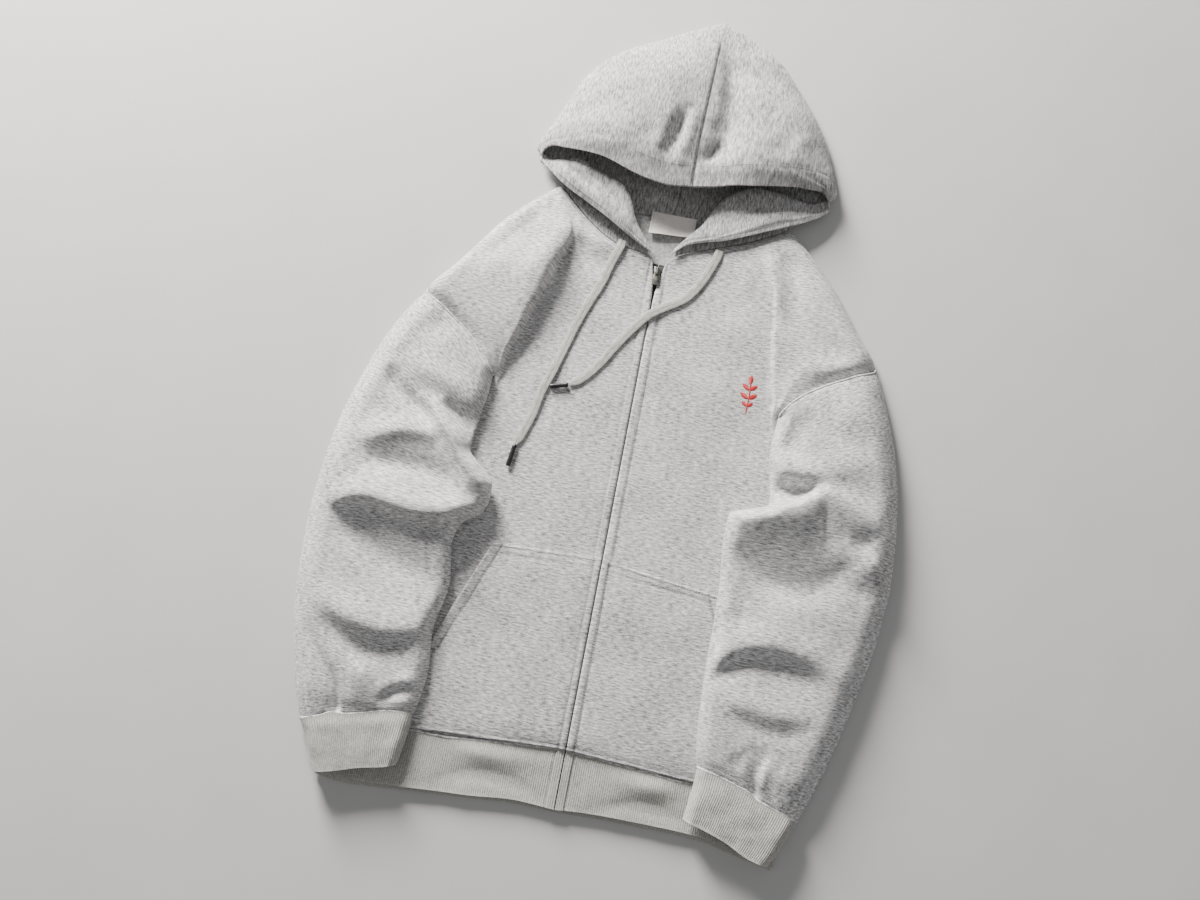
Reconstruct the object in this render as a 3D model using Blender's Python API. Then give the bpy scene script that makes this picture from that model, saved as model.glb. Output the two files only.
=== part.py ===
"""Full-zip hooded sweatshirt laid flat, sleeves folded in over the sides.

Millimetres inside; the zip runs along +Y from the hem to the neck, +X is the wearer's left, z = 0 is the
surface the garment lies on. Every piece of cloth is a wall of its own true shape, 0.3-0.8 mm clear of the
next one at each seam."""
import math

import bmesh
import bpy
import numpy as np

for ob in list(bpy.data.objects):
    bpy.data.objects.remove(ob, do_unlink=True)

# driving sizes, mm
BACK_WALL = 2.0                 # fleece of the back panel
FRONT_UNDER = 3.9               # height of the fronts' inner face where they lie flat on the back
SLEEVE_WALL = 1.9
CUFF_WALL = 2.1                 # rib knit
HEM_WALL = 2.5                  # rib knit, doubled
POCKET_WALL = 1.6
HOOD_RIM, HOOD_WALL = 3.4, 1.9  # the hood's rolled edge strip, its sheet
HOOD_GAP = 1.25                 # collar seam to the front panels' neck edge
LABEL_WALL = 0.8
CORD_WIDTH, CORD_THICK = 9.2, 1.8
AGLET_WIDTH, AGLET_THICK = 5.4, 3.4
ZIP_TAPE, ZIP_TOP = 13.5, 612.0 # width of a tape from the zip's middle, its upper end
TAPE_LOW, TAPE_HIGH = 2.95, 3.7
SLIDER_Y = 600.5                # middle of the slider
SLIDER_LOW, SLIDER_HIGH = 3.95, 9.1
BAR_Z = 10.3                    # height of the bar that the pull tab turns about

# ---------------------------------------------------------------- helpers (millimetres)
OX, OY = -7.25, 461.0            # middle of the whole outline; everything is moved by it


def pch(t, Y, q, mono=True):
    """Cubic through the rows of Y at knots t, read at q; mono keeps it from overshooting."""
    t = np.asarray(t, float); Y = np.asarray(Y, float)
    if Y.ndim == 1:
        return pch(t, Y[:, None], q, mono)[:, 0]
    q = np.clip(np.asarray(q, float), t[0], t[-1])
    h = np.diff(t); d = np.diff(Y, axis=0) / h[:, None]
    m = np.zeros_like(Y); m[0] = d[0]; m[-1] = d[-1]
    if len(t) > 2:
        a, b = d[:-1], d[1:]
        if mono:
            w1 = (2 * h[1:] + h[:-1])[:, None]; w2 = (h[1:] + 2 * h[:-1])[:, None]
            same = a * b > 0
            sa = np.where(same, a, 1.0); sb = np.where(same, b, 1.0)
            m[1:-1] = np.where(same, (w1 + w2) / (w1 / sa + w2 / sb), 0.0)
        else:
            m[1:-1] = (a * h[1:, None] + b * h[:-1, None]) / (h[1:] + h[:-1])[:, None]
    i = np.clip(np.searchsorted(t, q, 'right') - 1, 0, len(t) - 2)
    s = ((q - t[i]) / h[i])[:, None]; hh = h[i][:, None]
    return ((2 * s**3 - 3 * s**2 + 1) * Y[i] + (s**3 - 2 * s**2 + s) * hh * m[i]
            + (-2 * s**3 + 3 * s**2) * Y[i + 1] + (s**3 - s**2) * hh * m[i + 1])


def chord(P):
    P = np.asarray(P, float)
    return np.concatenate([[0], np.cumsum(np.linalg.norm(np.diff(P[:, :2], axis=0), axis=1))])


def smooth(x):
    x = np.clip(x, 0.0, 1.0)
    return x * x * (3 - 2 * x)


def line(P, n=8):
    """A smooth dense line through the table rows P (x, y, then anything else)."""
    P = np.asarray(P, float); t = chord(P)
    q = np.concatenate([np.linspace(t[i], t[i + 1], n, endpoint=False) for i in range(len(t) - 1)] + [t[-1:]])
    return np.concatenate([pch(t, P[:, :2], q, False), pch(t, P[:, 2:], q)], axis=1) if P.shape[1] > 2 else pch(t, P, q, False)


def near(L, X, Y):
    """Distance to the dense line L, signed (+ on its left), and the line's other columns there."""
    X = np.asarray(X, float); Y = np.asarray(Y, float); sh = X.shape
    X = X.ravel(); Y = Y.ravel()
    best = np.full(X.shape, 1e9); side = np.zeros(X.shape); val = np.zeros((len(X), L.shape[1] - 2))
    for i in range(len(L) - 1):
        ax, ay = L[i, :2]; bx, by = L[i + 1, :2]
        ex, ey = bx - ax, by - ay; q = ex * ex + ey * ey + 1e-12
        s = np.clip(((X - ax) * ex + (Y - ay) * ey) / q, 0, 1)
        dx, dy = X - ax - s * ex, Y - ay - s * ey
        d = np.hypot(dx, dy); k = d < best
        best[k] = d[k]; side[k] = np.sign(ex * dy - ey * dx)[k]
        if L.shape[1] > 2:
            val[k] = (L[i, 2:] * (1 - s[:, None]) + L[i + 1, 2:] * s[:, None])[k]
    side[side == 0] = 1
    return (best * side).reshape(sh), val.reshape(sh + (L.shape[1] - 2,))


def folds(table, X, Y):
    """Sum of the folds in a table: each is rows of x, y, height, width on its left, on its right."""
    Z = np.zeros(np.shape(X))
    for rows in table:
        L = line(rows, 6)
        d, v = near(L, X, Y)
        w = np.where(d > 0, v[..., 1], v[..., 2])
        Z = Z + v[..., 0] * np.exp(-(np.abs(d) / w) ** 2 * 0.8)
    return Z


def tri_quads(A, R, C, wrap=False, flip=False, P=None):
    """Triangles of a grid; with P each quad is cut along its shorter diagonal."""
    f = []
    for i in range(R - 1):
        for j in range(C if wrap else C - 1):
            k = (j + 1) % C
            a, b = A[i, j], A[i, k]; c, d = A[i + 1, k], A[i + 1, j]
            if P is not None and ((P[i, k] - P[i + 1, j]) ** 2).sum() < ((P[i, j] - P[i + 1, k]) ** 2).sum():
                f += [(a, d, b), (b, d, c)] if flip else [(a, b, d), (b, c, d)]
            else:
                f += [(a, c, b), (a, d, c)] if flip else [(a, b, c), (a, c, d)]
    return f


def closed(V, F):
    """Turn all faces outward by the sign of the volume; move to the shared origin; metres."""
    V = np.asarray(V, float)
    T = np.array(F); a, b, c = V[T[:, 0]], V[T[:, 1]], V[T[:, 2]]
    if np.einsum('ij,ij->i', a, np.cross(b, c)).sum() < 0:
        F = [(f[0], f[2], f[1]) for f in F]
    return (V - [OX, OY, 0.0]) / 1000.0, F


def slab(P, Q):
    """Closed body between the two faces P and Q (grids of the same shape)."""
    R, C = P.shape[:2]; n = R * C
    A = np.arange(n).reshape(R, C); B = A + n
    F = tri_quads(A, R, C, P=P) + tri_quads(B, R, C, flip=True, P=P)
    ring = [A[0, j] for j in range(C)] + [A[i, C - 1] for i in range(1, R)] \
        + [A[R - 1, j] for j in range(C - 2, -1, -1)] + [A[i, 0] for i in range(R - 2, 0, -1)]
    for a, b in zip(ring, ring[1:] + ring[:1]):
        F += [(a, a + n, b + n), (a, b + n, b)]
    return closed(np.concatenate([P.reshape(-1, 3), Q.reshape(-1, 3)]), F)


def pipe(P, Q):
    """Closed body between two nested rows of rings (rings x points), open at both ends."""
    R, C = P.shape[:2]; n = R * C
    A = np.arange(n).reshape(R, C); B = A + n
    F = tri_quads(A, R, C, True, P=P) + tri_quads(B, R, C, True, flip=True, P=P)
    for i, fl in ((0, False), (R - 1, True)):
        for j in range(C):
            a, b = A[i, j], A[i, (j + 1) % C]; c, d = b + n, a + n
            F += [(a, b, c), (a, c, d)] if fl else [(a, c, b), (a, d, c)]
    return closed(np.concatenate([P.reshape(-1, 3), Q.reshape(-1, 3)]), F)


def normals(P, wrap=False):
    """Unit normals of a grid; wrap: the second direction goes round."""
    du = np.gradient(P, axis=0)
    dv = (np.roll(P, -1, 1) - np.roll(P, 1, 1)) if wrap else np.gradient(P, axis=1)
    n = np.cross(du, dv)
    return n / np.maximum(np.linalg.norm(n, axis=2, keepdims=True), 1e-9)


def steps(counts):
    """Fractional positions for a table: counts[i] steps between column i and i+1."""
    q = [0.0]
    for i, n in enumerate(counts):
        q += [i + (k + 1) / n for k in range(n)]
    return np.array(q)


def sweep(P, q_rows, q_cols, mono_xy=False):
    """Grid through a table of control points (rows x columns x 3)."""
    P = np.asarray(P, float); R, C = P.shape[:2]
    G = np.stack([np.concatenate([pch(np.arange(C), P[i, :, :2], q_cols, True),
                                  pch(np.arange(C), P[i, :, 2:], q_cols)], axis=1) for i in range(R)])
    k = np.concatenate([[0], np.cumsum(np.maximum(np.linalg.norm(np.diff(P, axis=0), axis=2).mean(1), 1e-3))])
    t = np.interp(q_rows, np.arange(R), k)
    out = np.zeros((len(t), G.shape[1], 3))
    for j in range(G.shape[1]):
        out[:, j, :2] = pch(k, G[:, j, :2], t, mono_xy)
        out[:, j, 2:] = pch(k, G[:, j, 2:], t)
    return out


# ---------------------------------------------------------------- the front panels
# rows from the hem seam to the high point of the shoulder.
# xa,ya inner edge (zip, then neck seam); xk,yk line of the chest pleat; xb,yb outer edge;
# za,zk heights of the face at the inner edge and at the pleat's foot; st pleat's step up; zm halfway out; zb outer edge
FRONT_R = [
    # xa,   ya,    xk,    yk,    xb,    yb,   za,  zk,  st,   zm,  zb
    (-1.7,  60.5, -128,  48.5, -253,  52.0, 7.4, 7.6, 0.0,  7.6, 5.6),
    (-1.7, 110.0, -132, 105.0, -263, 106.0, 7.6, 8.2, 0.0,  8.0, 5.6),
    (-1.7, 165.0, -136, 165.0, -271, 165.0, 7.6, 8.4, 0.0,  8.0, 5.6),
    (-1.7, 225.0, -140, 225.0, -278, 225.0, 7.6, 8.4, 0.0,  8.0, 5.6),
    (-1.7, 285.0, -145, 285.0, -283, 285.0, 7.6, 8.4, 0.0,  8.0, 5.6),
    (-1.7, 335.0, -149, 335.0, -285, 335.0, 7.6, 8.4, 0.0,  8.0, 5.8),
    (-1.7, 392.0, -151, 392.0, -224, 389.0, 7.6, 8.4, 0.0,  8.2, 7.6),
    (-1.7, 428.0, -151, 428.0, -172, 428.0, 7.6, 8.4, 0.8,  8.6, 8.2),
    (-1.7, 443.0, -151, 443.0, -159, 441.0, 7.6, 8.4, 2.0, 10.6, 10.0),
    (-1.7, 453.0, -150, 453.0, -165.5, 451.0, 7.6, 8.5, 6.0, 15.5, 15.5),
    (-1.7, 467.0, -149, 467.0, -177, 466.0, 7.6, 8.6, 9.0, 19.5, 19.0),
    (-1.7, 489.0, -142, 488.0, -199, 486.0, 7.6, 8.8, 12.0, 22.5, 19.0),
    (-1.7, 512.0, -135, 510.0, -225, 505.0, 7.6, 9.0, 14.0, 24.0, 14.5),
    (-1.9, 541.0, -127, 538.0, -257, 531.0, 7.8, 9.2, 15.0, 25.0, 5.4),
    (-4.4, 576.0, -116, 578.0, -231, 570.0, 8.0, 10.0, 15.0, 24.0, 5.4),
    (-7.4, 603.0, -110, 598.0, -209, 603.0, 8.4, 11.0, 12.6, 21.0, 5.4),
    (-9.6, 617.5, -105, 612.0, -193, 627.0, 9.0, 12.0, 8.0, 18.0, 5.4),
    (-52., 626.0, -104, 629.0, -173, 650.0, 10.0, 13.6, 4.0, 15.5, 5.4),
    (-91., 650.0, -114, 653.0, -150, 671.5, 9.0, 12.8, 0.6, 11.0, 5.4),
    (-126.5, 684., -130, 685.2, -134, 686.0, 7.8, 7.4, 0.0, 6.4, 5.2),
]
FRONT_L = [
    (1.7,   60.0, 117,  51.5, 233,  52.0, 7.4, 7.6, 0.0, 7.6, 5.6),
    (1.7,  110.0, 122, 107.0, 245, 106.0, 7.6, 8.2, 0.0, 8.0, 5.6),
    (1.7,  165.0, 127, 165.0, 255, 165.0, 7.6, 8.4, 0.0, 8.0, 5.6),
    (1.7,  225.0, 132, 225.0, 264, 225.0, 7.6, 8.4, 0.0, 8.0, 5.6),
    (1.7,  285.0, 140, 285.0, 270, 285.0, 7.6, 8.4, 0.0, 8.0, 5.6),
    (1.7,  335.0, 147, 335.0, 273, 335.0, 7.6, 8.4, 0.0, 8.0, 5.8),
    (1.7,  392.0, 152, 392.0, 222, 395.0, 7.6, 8.4, 0.0, 8.2, 7.6),
    (1.7,  436.0, 155, 436.0, 176, 438.0, 7.6, 8.6, 0.6, 8.8, 8.2),
    (1.7,  454.0, 155, 454.0, 163, 455.0, 7.6, 8.8, 1.6, 10.6, 10.2),
    (1.7,  463.0, 154, 463.0, 167, 463.0, 7.6, 9.1, 3.6, 15.0, 15.2),
    (1.7,  472.0, 153, 472.0, 173.5, 471.5, 7.6, 9.4, 4.6, 17.6, 18.0),
    (1.7,  484.0, 150, 484.0, 184, 482.0, 7.6, 9.8, 5.6, 19.0, 19.0),
    (1.7,  500.0, 147, 500.0, 207, 498.0, 7.6, 10.4, 6.0, 21.0, 18.5),
    (1.7,  517.0, 144, 518.0, 233, 512.0, 7.6, 11.0, 6.0, 22.0, 14.0),
    (1.9,  541.0, 141, 541.0, 264, 532.0, 7.8, 11.6, 6.0, 22.0, 5.4),
    (4.4,  576.0, 137, 578.0, 237, 573.0, 8.0, 12.4, 5.0, 21.0, 5.4),
    (7.4,  603.0, 131, 608.0, 215, 606.0, 8.4, 13.0, 4.0, 19.0, 5.4),
    (10.,  617.5, 122, 630.0, 197, 629.0, 9.0, 14.0, 2.0, 17.0, 5.4),
    (56.,  639.5, 122, 650.0, 177, 651.0, 10.0, 15.0, 0.0, 15.0, 5.4),
    (98.,  656.5, 132, 667.0, 158, 669.5, 9.0, 12.0, 0.0, 11.0, 5.4),
    (138.5, 678.5, 142, 679.4, 147, 679.4, 7.8, 7.4, 0.0, 6.4, 5.2),
]
# folds: rows of x, y, height, width to the left of the line, width to its right
FOLD_BODY = [
    # wearer's right shoulder: a trough inside the shoulder line, a ridge beside the pleat, small ones on the chest
    [(-135, 668, 0, 8, 8), (-160, 630, -4.5, 10, 12), (-195, 588, -4, 12, 12), (-222, 552, 0, 10, 10)],
    [(-112, 646, 0, 9, 12), (-124, 610, 4.5, 10, 12), (-140, 560, 3, 14, 14), (-152, 500, 0, 12, 12)],
    [(-98, 630, 0, 8, 8), (-90, 612, -3.5, 9, 7), (-78, 598, -2.5, 10, 8), (-62, 588, 0, 8, 8)],
    [(-82, 636, 0, 8, 8), (-72, 618, 2.2, 9, 10), (-58, 604, 0, 10, 8)],
    [(-100, 520, 0, 20, 16), (-112, 450, 1.6, 22, 16), (-128, 380, 0, 18, 16)],
    # wearer's left shoulder
    [(118, 648, 0, 9, 9), (128, 628, 3.6, 10, 9), (134, 600, 2.5, 12, 9), (138, 560, 0, 12, 8)],
    [(140, 652, 0, 8, 8), (152, 628, -3, 10, 10), (160, 596, -2.5, 10, 10), (166, 560, 0, 10, 10)],
    [(150, 592, 0, 10, 10), (178, 556, -3.4, 12, 12), (212, 538, -3.0, 12, 12), (240, 532, 0, 8, 8)],
    [(170, 520, 0, 8, 8), (196, 515, 2.6, 9, 12), (226, 527, 2, 9, 12), (246, 535, 0, 6, 8)],
    [(96, 636, 0, 8, 8), (104, 612, 2, 12, 10), (100, 580, 0, 12, 12)],
    # long soft waves of the chest
    [(60, 560, 0, 30, 30), (72, 480, 0.9, 34, 30), (64, 380, 0, 30, 30)],
    [(-50, 420, 0, 26, 26), (-58, 330, 0.8, 30, 26), (-46, 260, 0, 26, 26)],
]


def edge_up(d, r, q):
    return 1 - (1 - np.clip(d / r, 0, 1)) ** q


def front(T, rows, n_in, n_out, fine=False):
    """Face of a front panel. Columns: inner edge to the pleat's foot, step, then to the outer edge."""
    T = np.asarray(T, float); R = len(T)
    k = np.concatenate([[0], np.cumsum(np.hypot(np.diff(T[:, 2]), np.diff(T[:, 3])) * .5
                                       + np.hypot(np.diff(T[:, 0]), np.diff(T[:, 1])) * .5)])
    t = np.interp(rows, np.arange(R), k)
    V = np.concatenate([pch(k, T[:, 0:2], t, True), pch(k, T[:, 2:4], t, False), pch(k, T[:, 4:6], t, True),
                        pch(k, T[:, 6:], t)], axis=1)
    xa, ya, xk, yk, xb, yb, za, zk, st, zm, zb = V.T
    ui = np.linspace(0, 1, n_in + 1)
    uo = 1 - (1 - np.linspace(0, 1, n_out + 1)) ** 1.45
    wid = np.hypot(xb - xk, yb - yk)
    sw = np.minimum(5.0, wid * .3)                               # width of the step
    X = []; Y = []; Z = []
    for j in range(len(t)):
        kx, ky = xk[j], yk[j]
        ex, ey = (xb[j] - kx) / wid[j], (yb[j] - ky) / wid[j]
        x1 = xa[j] + (kx - xa[j]) * ui; y1 = ya[j] + (ky - ya[j]) * ui
        z1 = za[j] + (zk[j] - za[j]) * ui
        k2x, k2y = kx + ex * sw[j], ky + ey * sw[j]
        x2 = k2x + (xb[j] - k2x) * uo; y2 = k2y + (yb[j] - k2y) * uo
        s = np.linspace(0, 1, n_out + 1); s = uo
        zt = zk[j] + st[j]
        base = np.where(s < .5, zt + (zm[j] - zt) * smooth(s * 2), zm[j] + (zb[j] - zm[j]) * 0)
        dist = (1 - s) * (wid[j] - sw[j])
        z2 = zb[j] + (base - zb[j]) * edge_up(dist, min(24.0, max(wid[j] * .6, 6.0)), 2.0)
        if fine:
            m = np.linspace(0, 1, 7)[1:-1]
            X.append(np.concatenate([x1, kx + ex * sw[j] * m, x2])); Y.append(np.concatenate([y1, ky + ey * sw[j] * m, y2]))
            Z.append(np.concatenate([z1, zk[j] + st[j] * smooth(m), z2]))
        else:
            X.append(np.concatenate([x1, x2])); Y.append(np.concatenate([y1, y2])); Z.append(np.concatenate([z1, z2]))
    X = np.array(X); Y = np.array(Y); Z = np.array(Z)
    L = np.stack([xb, yb], 1)
    d, _ = near(np.concatenate([L]), X, Y)
    keep = smooth(np.abs(d) / 16.0)
    La = np.stack([xa, ya], 1); da, _ = near(La, X, Y)
    keep = keep * smooth(np.abs(da) / 10.0)
    Z = Z + folds(FOLD_BODY, X, Y) * keep
    return np.stack([X, Y, Z], -1)


def under(P, t=2.0, floor=2.6, most=4.5):
    """The lower face of a sheet whose upper face is the height field P."""
    n = normals(P); c = np.abs(n[..., 2])
    Q = P.copy()
    Q[..., 2] = np.maximum(P[..., 2] - np.minimum(t / np.maximum(c, .2), most), floor)
    return Q


# ---------------------------------------------------------------- the sleeves
# stations from the armhole seam to the cuff seam: outer edge xo,yo,zo; inner edge xi,yi,zi (heights of the
# turned edges); bow of the line between them toward the neck; crest height; xq,yq corner of the lower layer
SLEEVE_R = [
    # xo,   yo,   zo,    xi,   yi,   zi,   bow,  hc,   xq,   yq
    (-257.4, 530.6, 6.0, -159.5, 440.3, 16.0,  4.0, 22.5, -285.6, 334.0),
    (-277.0, 498.0, 6.0, -160.0, 424.0, 14.5,  6.0, 25.0, -288.0, 327.0),
    (-291.0, 468.0, 6.0, -162.5, 402.0, 14.0,  5.0, 25.0, -290.0, 320.0),
    (-303.0, 432.0, 6.0, -165.0, 379.0, 14.0,  4.0, 25.0, -292.0, 313.0),
    (-313.0, 396.0, 6.0, -166.5, 355.0, 15.0,  3.0, 26.0, -293.5, 306.0),
    (-320.0, 364.0, 6.0, -148.0, 335.0, 19.0,  2.0, 28.0, -293.0, 299.0),
    (-323.0, 339.0, 6.0, -133.0, 317.0, 21.0,  1.0, 29.0, -290.0, 290.0),
    (-325.5, 312.0, 6.0, -132.5, 303.0, 20.0,  1.0, 29.0, -279.0, 280.5),
    (-326.5, 287.0, 6.0, -138.0, 286.0, 18.0,  0.0, 29.0, -264.0, 271.5),
    (-327.0, 266.0, 6.0, -157.0, 271.5, 16.0,  0.0, 27.0, -246.0, 262.0),
    (-326.5, 244.0, 6.0, -163.0, 251.0, 15.5,  0.0, 26.0, -241.0, 247.0),
    (-323.5, 205.0, 6.0, -156.0, 203.0, 15.0,  0.0, 26.0, -240.0, 204.0),
    (-317.5, 155.0, 6.0, -162.5, 155.0, 15.0,  0.0, 26.0, -240.0, 155.0),
    (-305.0, 105.0, 6.0, -158.0, 108.0, 15.0, -2.0, 25.0, -232.0, 106.0),
    (-293.0,  67.0, 6.5, -160.5,  80.0, 15.0, -1.0, 23.0, -228.0,  74.0),
    (-281.0,  39.0, 7.0, -163.5,  67.4, 14.8,  3.0, 19.8, -222.2,  53.2),
]
SLEEVE_L = [
    (264.4, 531.5, 6.0, 163.5, 454.3, 16.0,  6.0, 22.0, 273.8, 334.0),
    (275.0, 508.0, 6.0, 161.5, 437.0, 14.5,  6.0, 25.0, 276.0, 327.5),
    (285.0, 482.0, 6.0, 160.0, 420.0, 14.5,  5.0, 26.0, 278.0, 321.0),
    (295.0, 452.0, 6.0, 160.5, 403.0, 15.0,  4.0, 27.0, 280.0, 314.5),
    (302.5, 420.0, 6.0, 164.0, 386.0, 14.0,  3.0, 27.0, 282.0, 308.0),
    (308.0, 388.0, 6.0, 168.0, 356.0, 14.5,  2.0, 28.0, 283.0, 301.0),
    (310.5, 362.0, 6.0, 148.0, 346.0, 20.0,  2.0, 29.0, 282.5, 294.0),
    (312.0, 340.0, 6.0, 126.0, 336.0, 23.0,  1.0, 30.0, 281.0, 287.0),
    (312.5, 312.0, 6.0, 124.0, 310.0, 20.0,  0.0, 29.0, 274.0, 277.0),
    (312.0, 284.0, 6.0, 126.0, 286.0, 17.0,  0.0, 27.0, 258.0, 270.0),
    (308.5, 256.0, 6.0, 128.5, 258.0, 16.0,  0.0, 26.0, 236.0, 254.0),
    (302.0, 214.0, 6.0, 129.0, 214.0, 15.5,  0.0, 26.0, 215.0, 214.0),
    (291.0, 169.0, 6.0, 128.5, 170.0, 15.5,  0.0, 26.0, 210.0, 170.0),
    (277.0, 117.0, 6.0, 130.0, 118.0, 15.5,  0.0, 26.0, 204.0, 118.0),
    (261.0,  68.0, 6.5, 133.0,  86.0, 15.0, -2.0, 24.0, 197.0,  78.0),
    (247.0,  36.5, 9.8, 136.5,  70.4, 15.2,  1.5, 21.0, 191.7,  53.4),
]
CUFF_SEAM_R = [(-281, 39), (-257, 47.4), (-245, 53), (-237, 53), (-216, 57.4), (-196, 63.4), (-175, 66.4), (-163.5, 67.4)]
CUFF_SEAM_L = [(247, 36.5), (216, 46), (201, 51), (192, 56.4), (179, 60.4), (160, 66), (148, 68.4), (136.5, 70.4)]
FOLD_SLEEVE_R = [
    # the big fold that hides the bend: crest just inside its edge, steep toward the recess
    [(-236, 404, 0, 6, 10), (-212, 391, 7, 7, 14), (-190, 368, 14, 6, 16), (-168, 345, 14, 6, 16), (-146, 321, 9, 8, 14), (-138, 308, 3, 8, 12)],
    # the recess beside it
    [(-208, 397, 0, 8, 4), (-192, 393, -9, 7, 9), (-176, 384, -11, 12, 12), (-168, 370, -8, 12, 10)],
    # trough from the upper sleeve into the fold
    [(-270, 432, 0, 8, 8), (-266, 412, -6, 9, 8), (-244, 396, -6, 7, 9), (-222, 382, -5, 6, 8), (-200, 362, -4, 6, 9), (-176, 334, -4, 7, 9), (-160, 314, 0, 8, 8)],
    [(-252, 470, 0, 14, 14), (-232, 484, -3.0, 14, 14), (-204, 478, 0, 14, 14)],
    [(-300, 440, 0, 14, 14), (-300, 400, 2.5, 14, 12), (-306, 360, 0, 14, 14)],
    [(-262, 446, 0, 14, 12), (-232, 430, 4, 14, 12), (-196, 418, 3, 12, 9), (-172, 412, 0, 10, 8)],
    # second crest, with the shaded slope under it
    [(-292, 336, 0, 12, 10), (-272, 345, 4.5, 14, 9), (-246, 356, 7, 14, 9), (-220, 360, 6, 12, 9), (-200, 352, 0, 10, 9)],
    [(-280, 318, 0, 10, 10), (-250, 322, -5, 10, 12), (-215, 322, -5, 12, 12), (-180, 312, -3, 12, 10), (-160, 304, 0, 10, 10)],
    # third crest: sharp lower side over the large shaded slope
    [(-302, 262, 0, 10, 7), (-290, 270, 8, 14, 7), (-262, 279, 14, 22, 8), (-232, 276, 15, 22, 9), (-204, 273, 15, 20, 9), (-180, 276, 13, 16, 9), (-160, 283, 7, 14, 8), (-144, 290, 0, 10, 8)],
    [(-292, 250, 0, 6, 12), (-266, 244, -5, 10, 16), (-232, 226, -6, 16, 18), (-196, 214, -5, 18, 14), (-162, 206, -2, 16, 12)],
    # fourth crest and its trough
    [(-296, 172, 0, 16, 9), (-272, 160, 4, 20, 9), (-246, 150, 7.5, 24, 9), (-218, 146, 8.5, 26, 9), (-190, 150, 7.5, 24, 9), (-166, 160, 3, 18, 9)],
    [(-280, 148, 0, 8, 9), (-256, 134, -4, 8, 10), (-226, 124, -5, 9, 12), (-196, 126, -4, 9, 12), (-170, 136, 0, 9, 12)],
    # creases toward the cuff
    [(-300, 138, 0, 5, 8), (-284, 122, -2.6, 5, 7), (-266, 100, -3.4, 5, 7), (-252, 78, -3.2, 5, 6), (-243, 58, -3.6, 4, 5)],
    [(-232, 118, 0, 16, 14), (-226, 96, 3.6, 14, 12), (-226, 72, 1.5, 14, 10), (-228, 62, 0, 10, 10)],
    [(-204, 70, 0, 5, 5), (-196, 78, -2.8, 4, 5), (-182, 88, -2.8, 4, 5), (-166, 93, 0, 4, 5)],
    [(-188, 104, 0, 8, 8), (-176, 98, 2.2, 8, 6), (-164, 100, 0, 8, 6)],
]
FOLD_SLEEVE_L = [
    # below the armhole seam
    [(196, 470, 0, 14, 14), (186, 446, -3.5, 12, 12), (178, 420, -4, 12, 10), (172, 404, 0, 9, 9)],
    [(250, 500, 0, 14, 14), (240, 470, 3, 18, 16), (232, 440, 0, 14, 14)],
    # bright crest over the recess, sharp lower side
    [(158, 392, 3, 12, 6), (178, 391, 7, 18, 6), (204, 392, 9, 20, 7), (232, 402, 7, 20, 14), (262, 414, 3, 20, 18), (286, 420, 0, 16, 16)],
    # the recess
    [(216, 378, 0, 6, 6), (198, 374, -8, 7, 8), (180, 372, -10, 9, 10), (166, 370, -7, 8, 9)],
    # the big fold: crest along its upper edge, wide shaded slope below
    [(128, 333, 7, 5, 22), (148, 341, 12, 5, 24), (170, 348, 15, 5, 26), (194, 354, 16, 5, 28), (208, 366, 14, 6, 24), (222, 372, 12, 12, 20), (246, 366, 11, 14, 20), (270, 354, 7, 14, 14), (288, 344, 0, 12, 10)],
    [(132, 300, 0, 16, 10), (158, 284, -3, 16, 12), (190, 270, -6, 18, 12), (222, 272, -6, 16, 14), (250, 292, -4, 12, 12), (264, 312, 0, 9, 9)],
    [(262, 322, 0, 8, 8), (270, 330, -3, 8, 8), (284, 336, 0, 8, 8)],
    [(262, 306, 0, 10, 10), (282, 306, 4, 12, 12), (296, 296, 0, 10, 10)],
    [(258, 288, 0, 8, 8), (276, 278, -3, 9, 9), (296, 268, 0, 9, 9)],
    [(150, 244, 0, 18, 18), (200, 242, 3.5, 22, 20), (250, 246, 2, 20, 20), (280, 240, 0, 14, 14)],
    [(136, 232, 0, 7, 7), (150, 228, -1.8, 7, 8), (166, 230, 0, 7, 7)],
    # arc crest and trough
    [(130, 168, 0, 9, 6), (142, 186, 4, 14, 7), (162, 200, 7, 20, 8), (192, 205, 8, 22, 8), (222, 202, 7, 20, 8), (250, 192, 3, 16, 9), (272, 184, 0, 12, 9)],
    [(132, 152, 0, 6, 7), (144, 168, -3.5, 6, 9), (166, 182, -4.5, 7, 10), (194, 186, -4.5, 8, 12), (224, 182, -4, 8, 12), (254, 176, 0, 8, 10)],
    [(146, 146, 0, 10, 8), (172, 140, 3, 14, 8), (204, 137, 3.5, 14, 8), (240, 140, 1.5, 12, 8), (262, 142, 0, 10, 8)],
    [(156, 132, 0, 7, 8), (180, 124, -2.6, 7, 9), (210, 120, -2.8, 8, 9), (246, 124, 0, 8, 9)],
    [(180, 104, 0, 8, 8), (196, 98, -2.2, 8, 9), (214, 102, 0, 8, 8)],
    [(166, 90, 0, 9, 8), (176, 84, -1.8, 9, 8), (184, 82, 0, 9, 8)],
    [(210, 84, 0, 8, 8), (222, 76, 2.0, 10, 9), (232, 62, 0, 10, 9)],
    [(204, 66, 0, 4, 5), (200, 58, -2.6, 4, 5), (197, 52, -3.2, 4, 4)],
]
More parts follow.
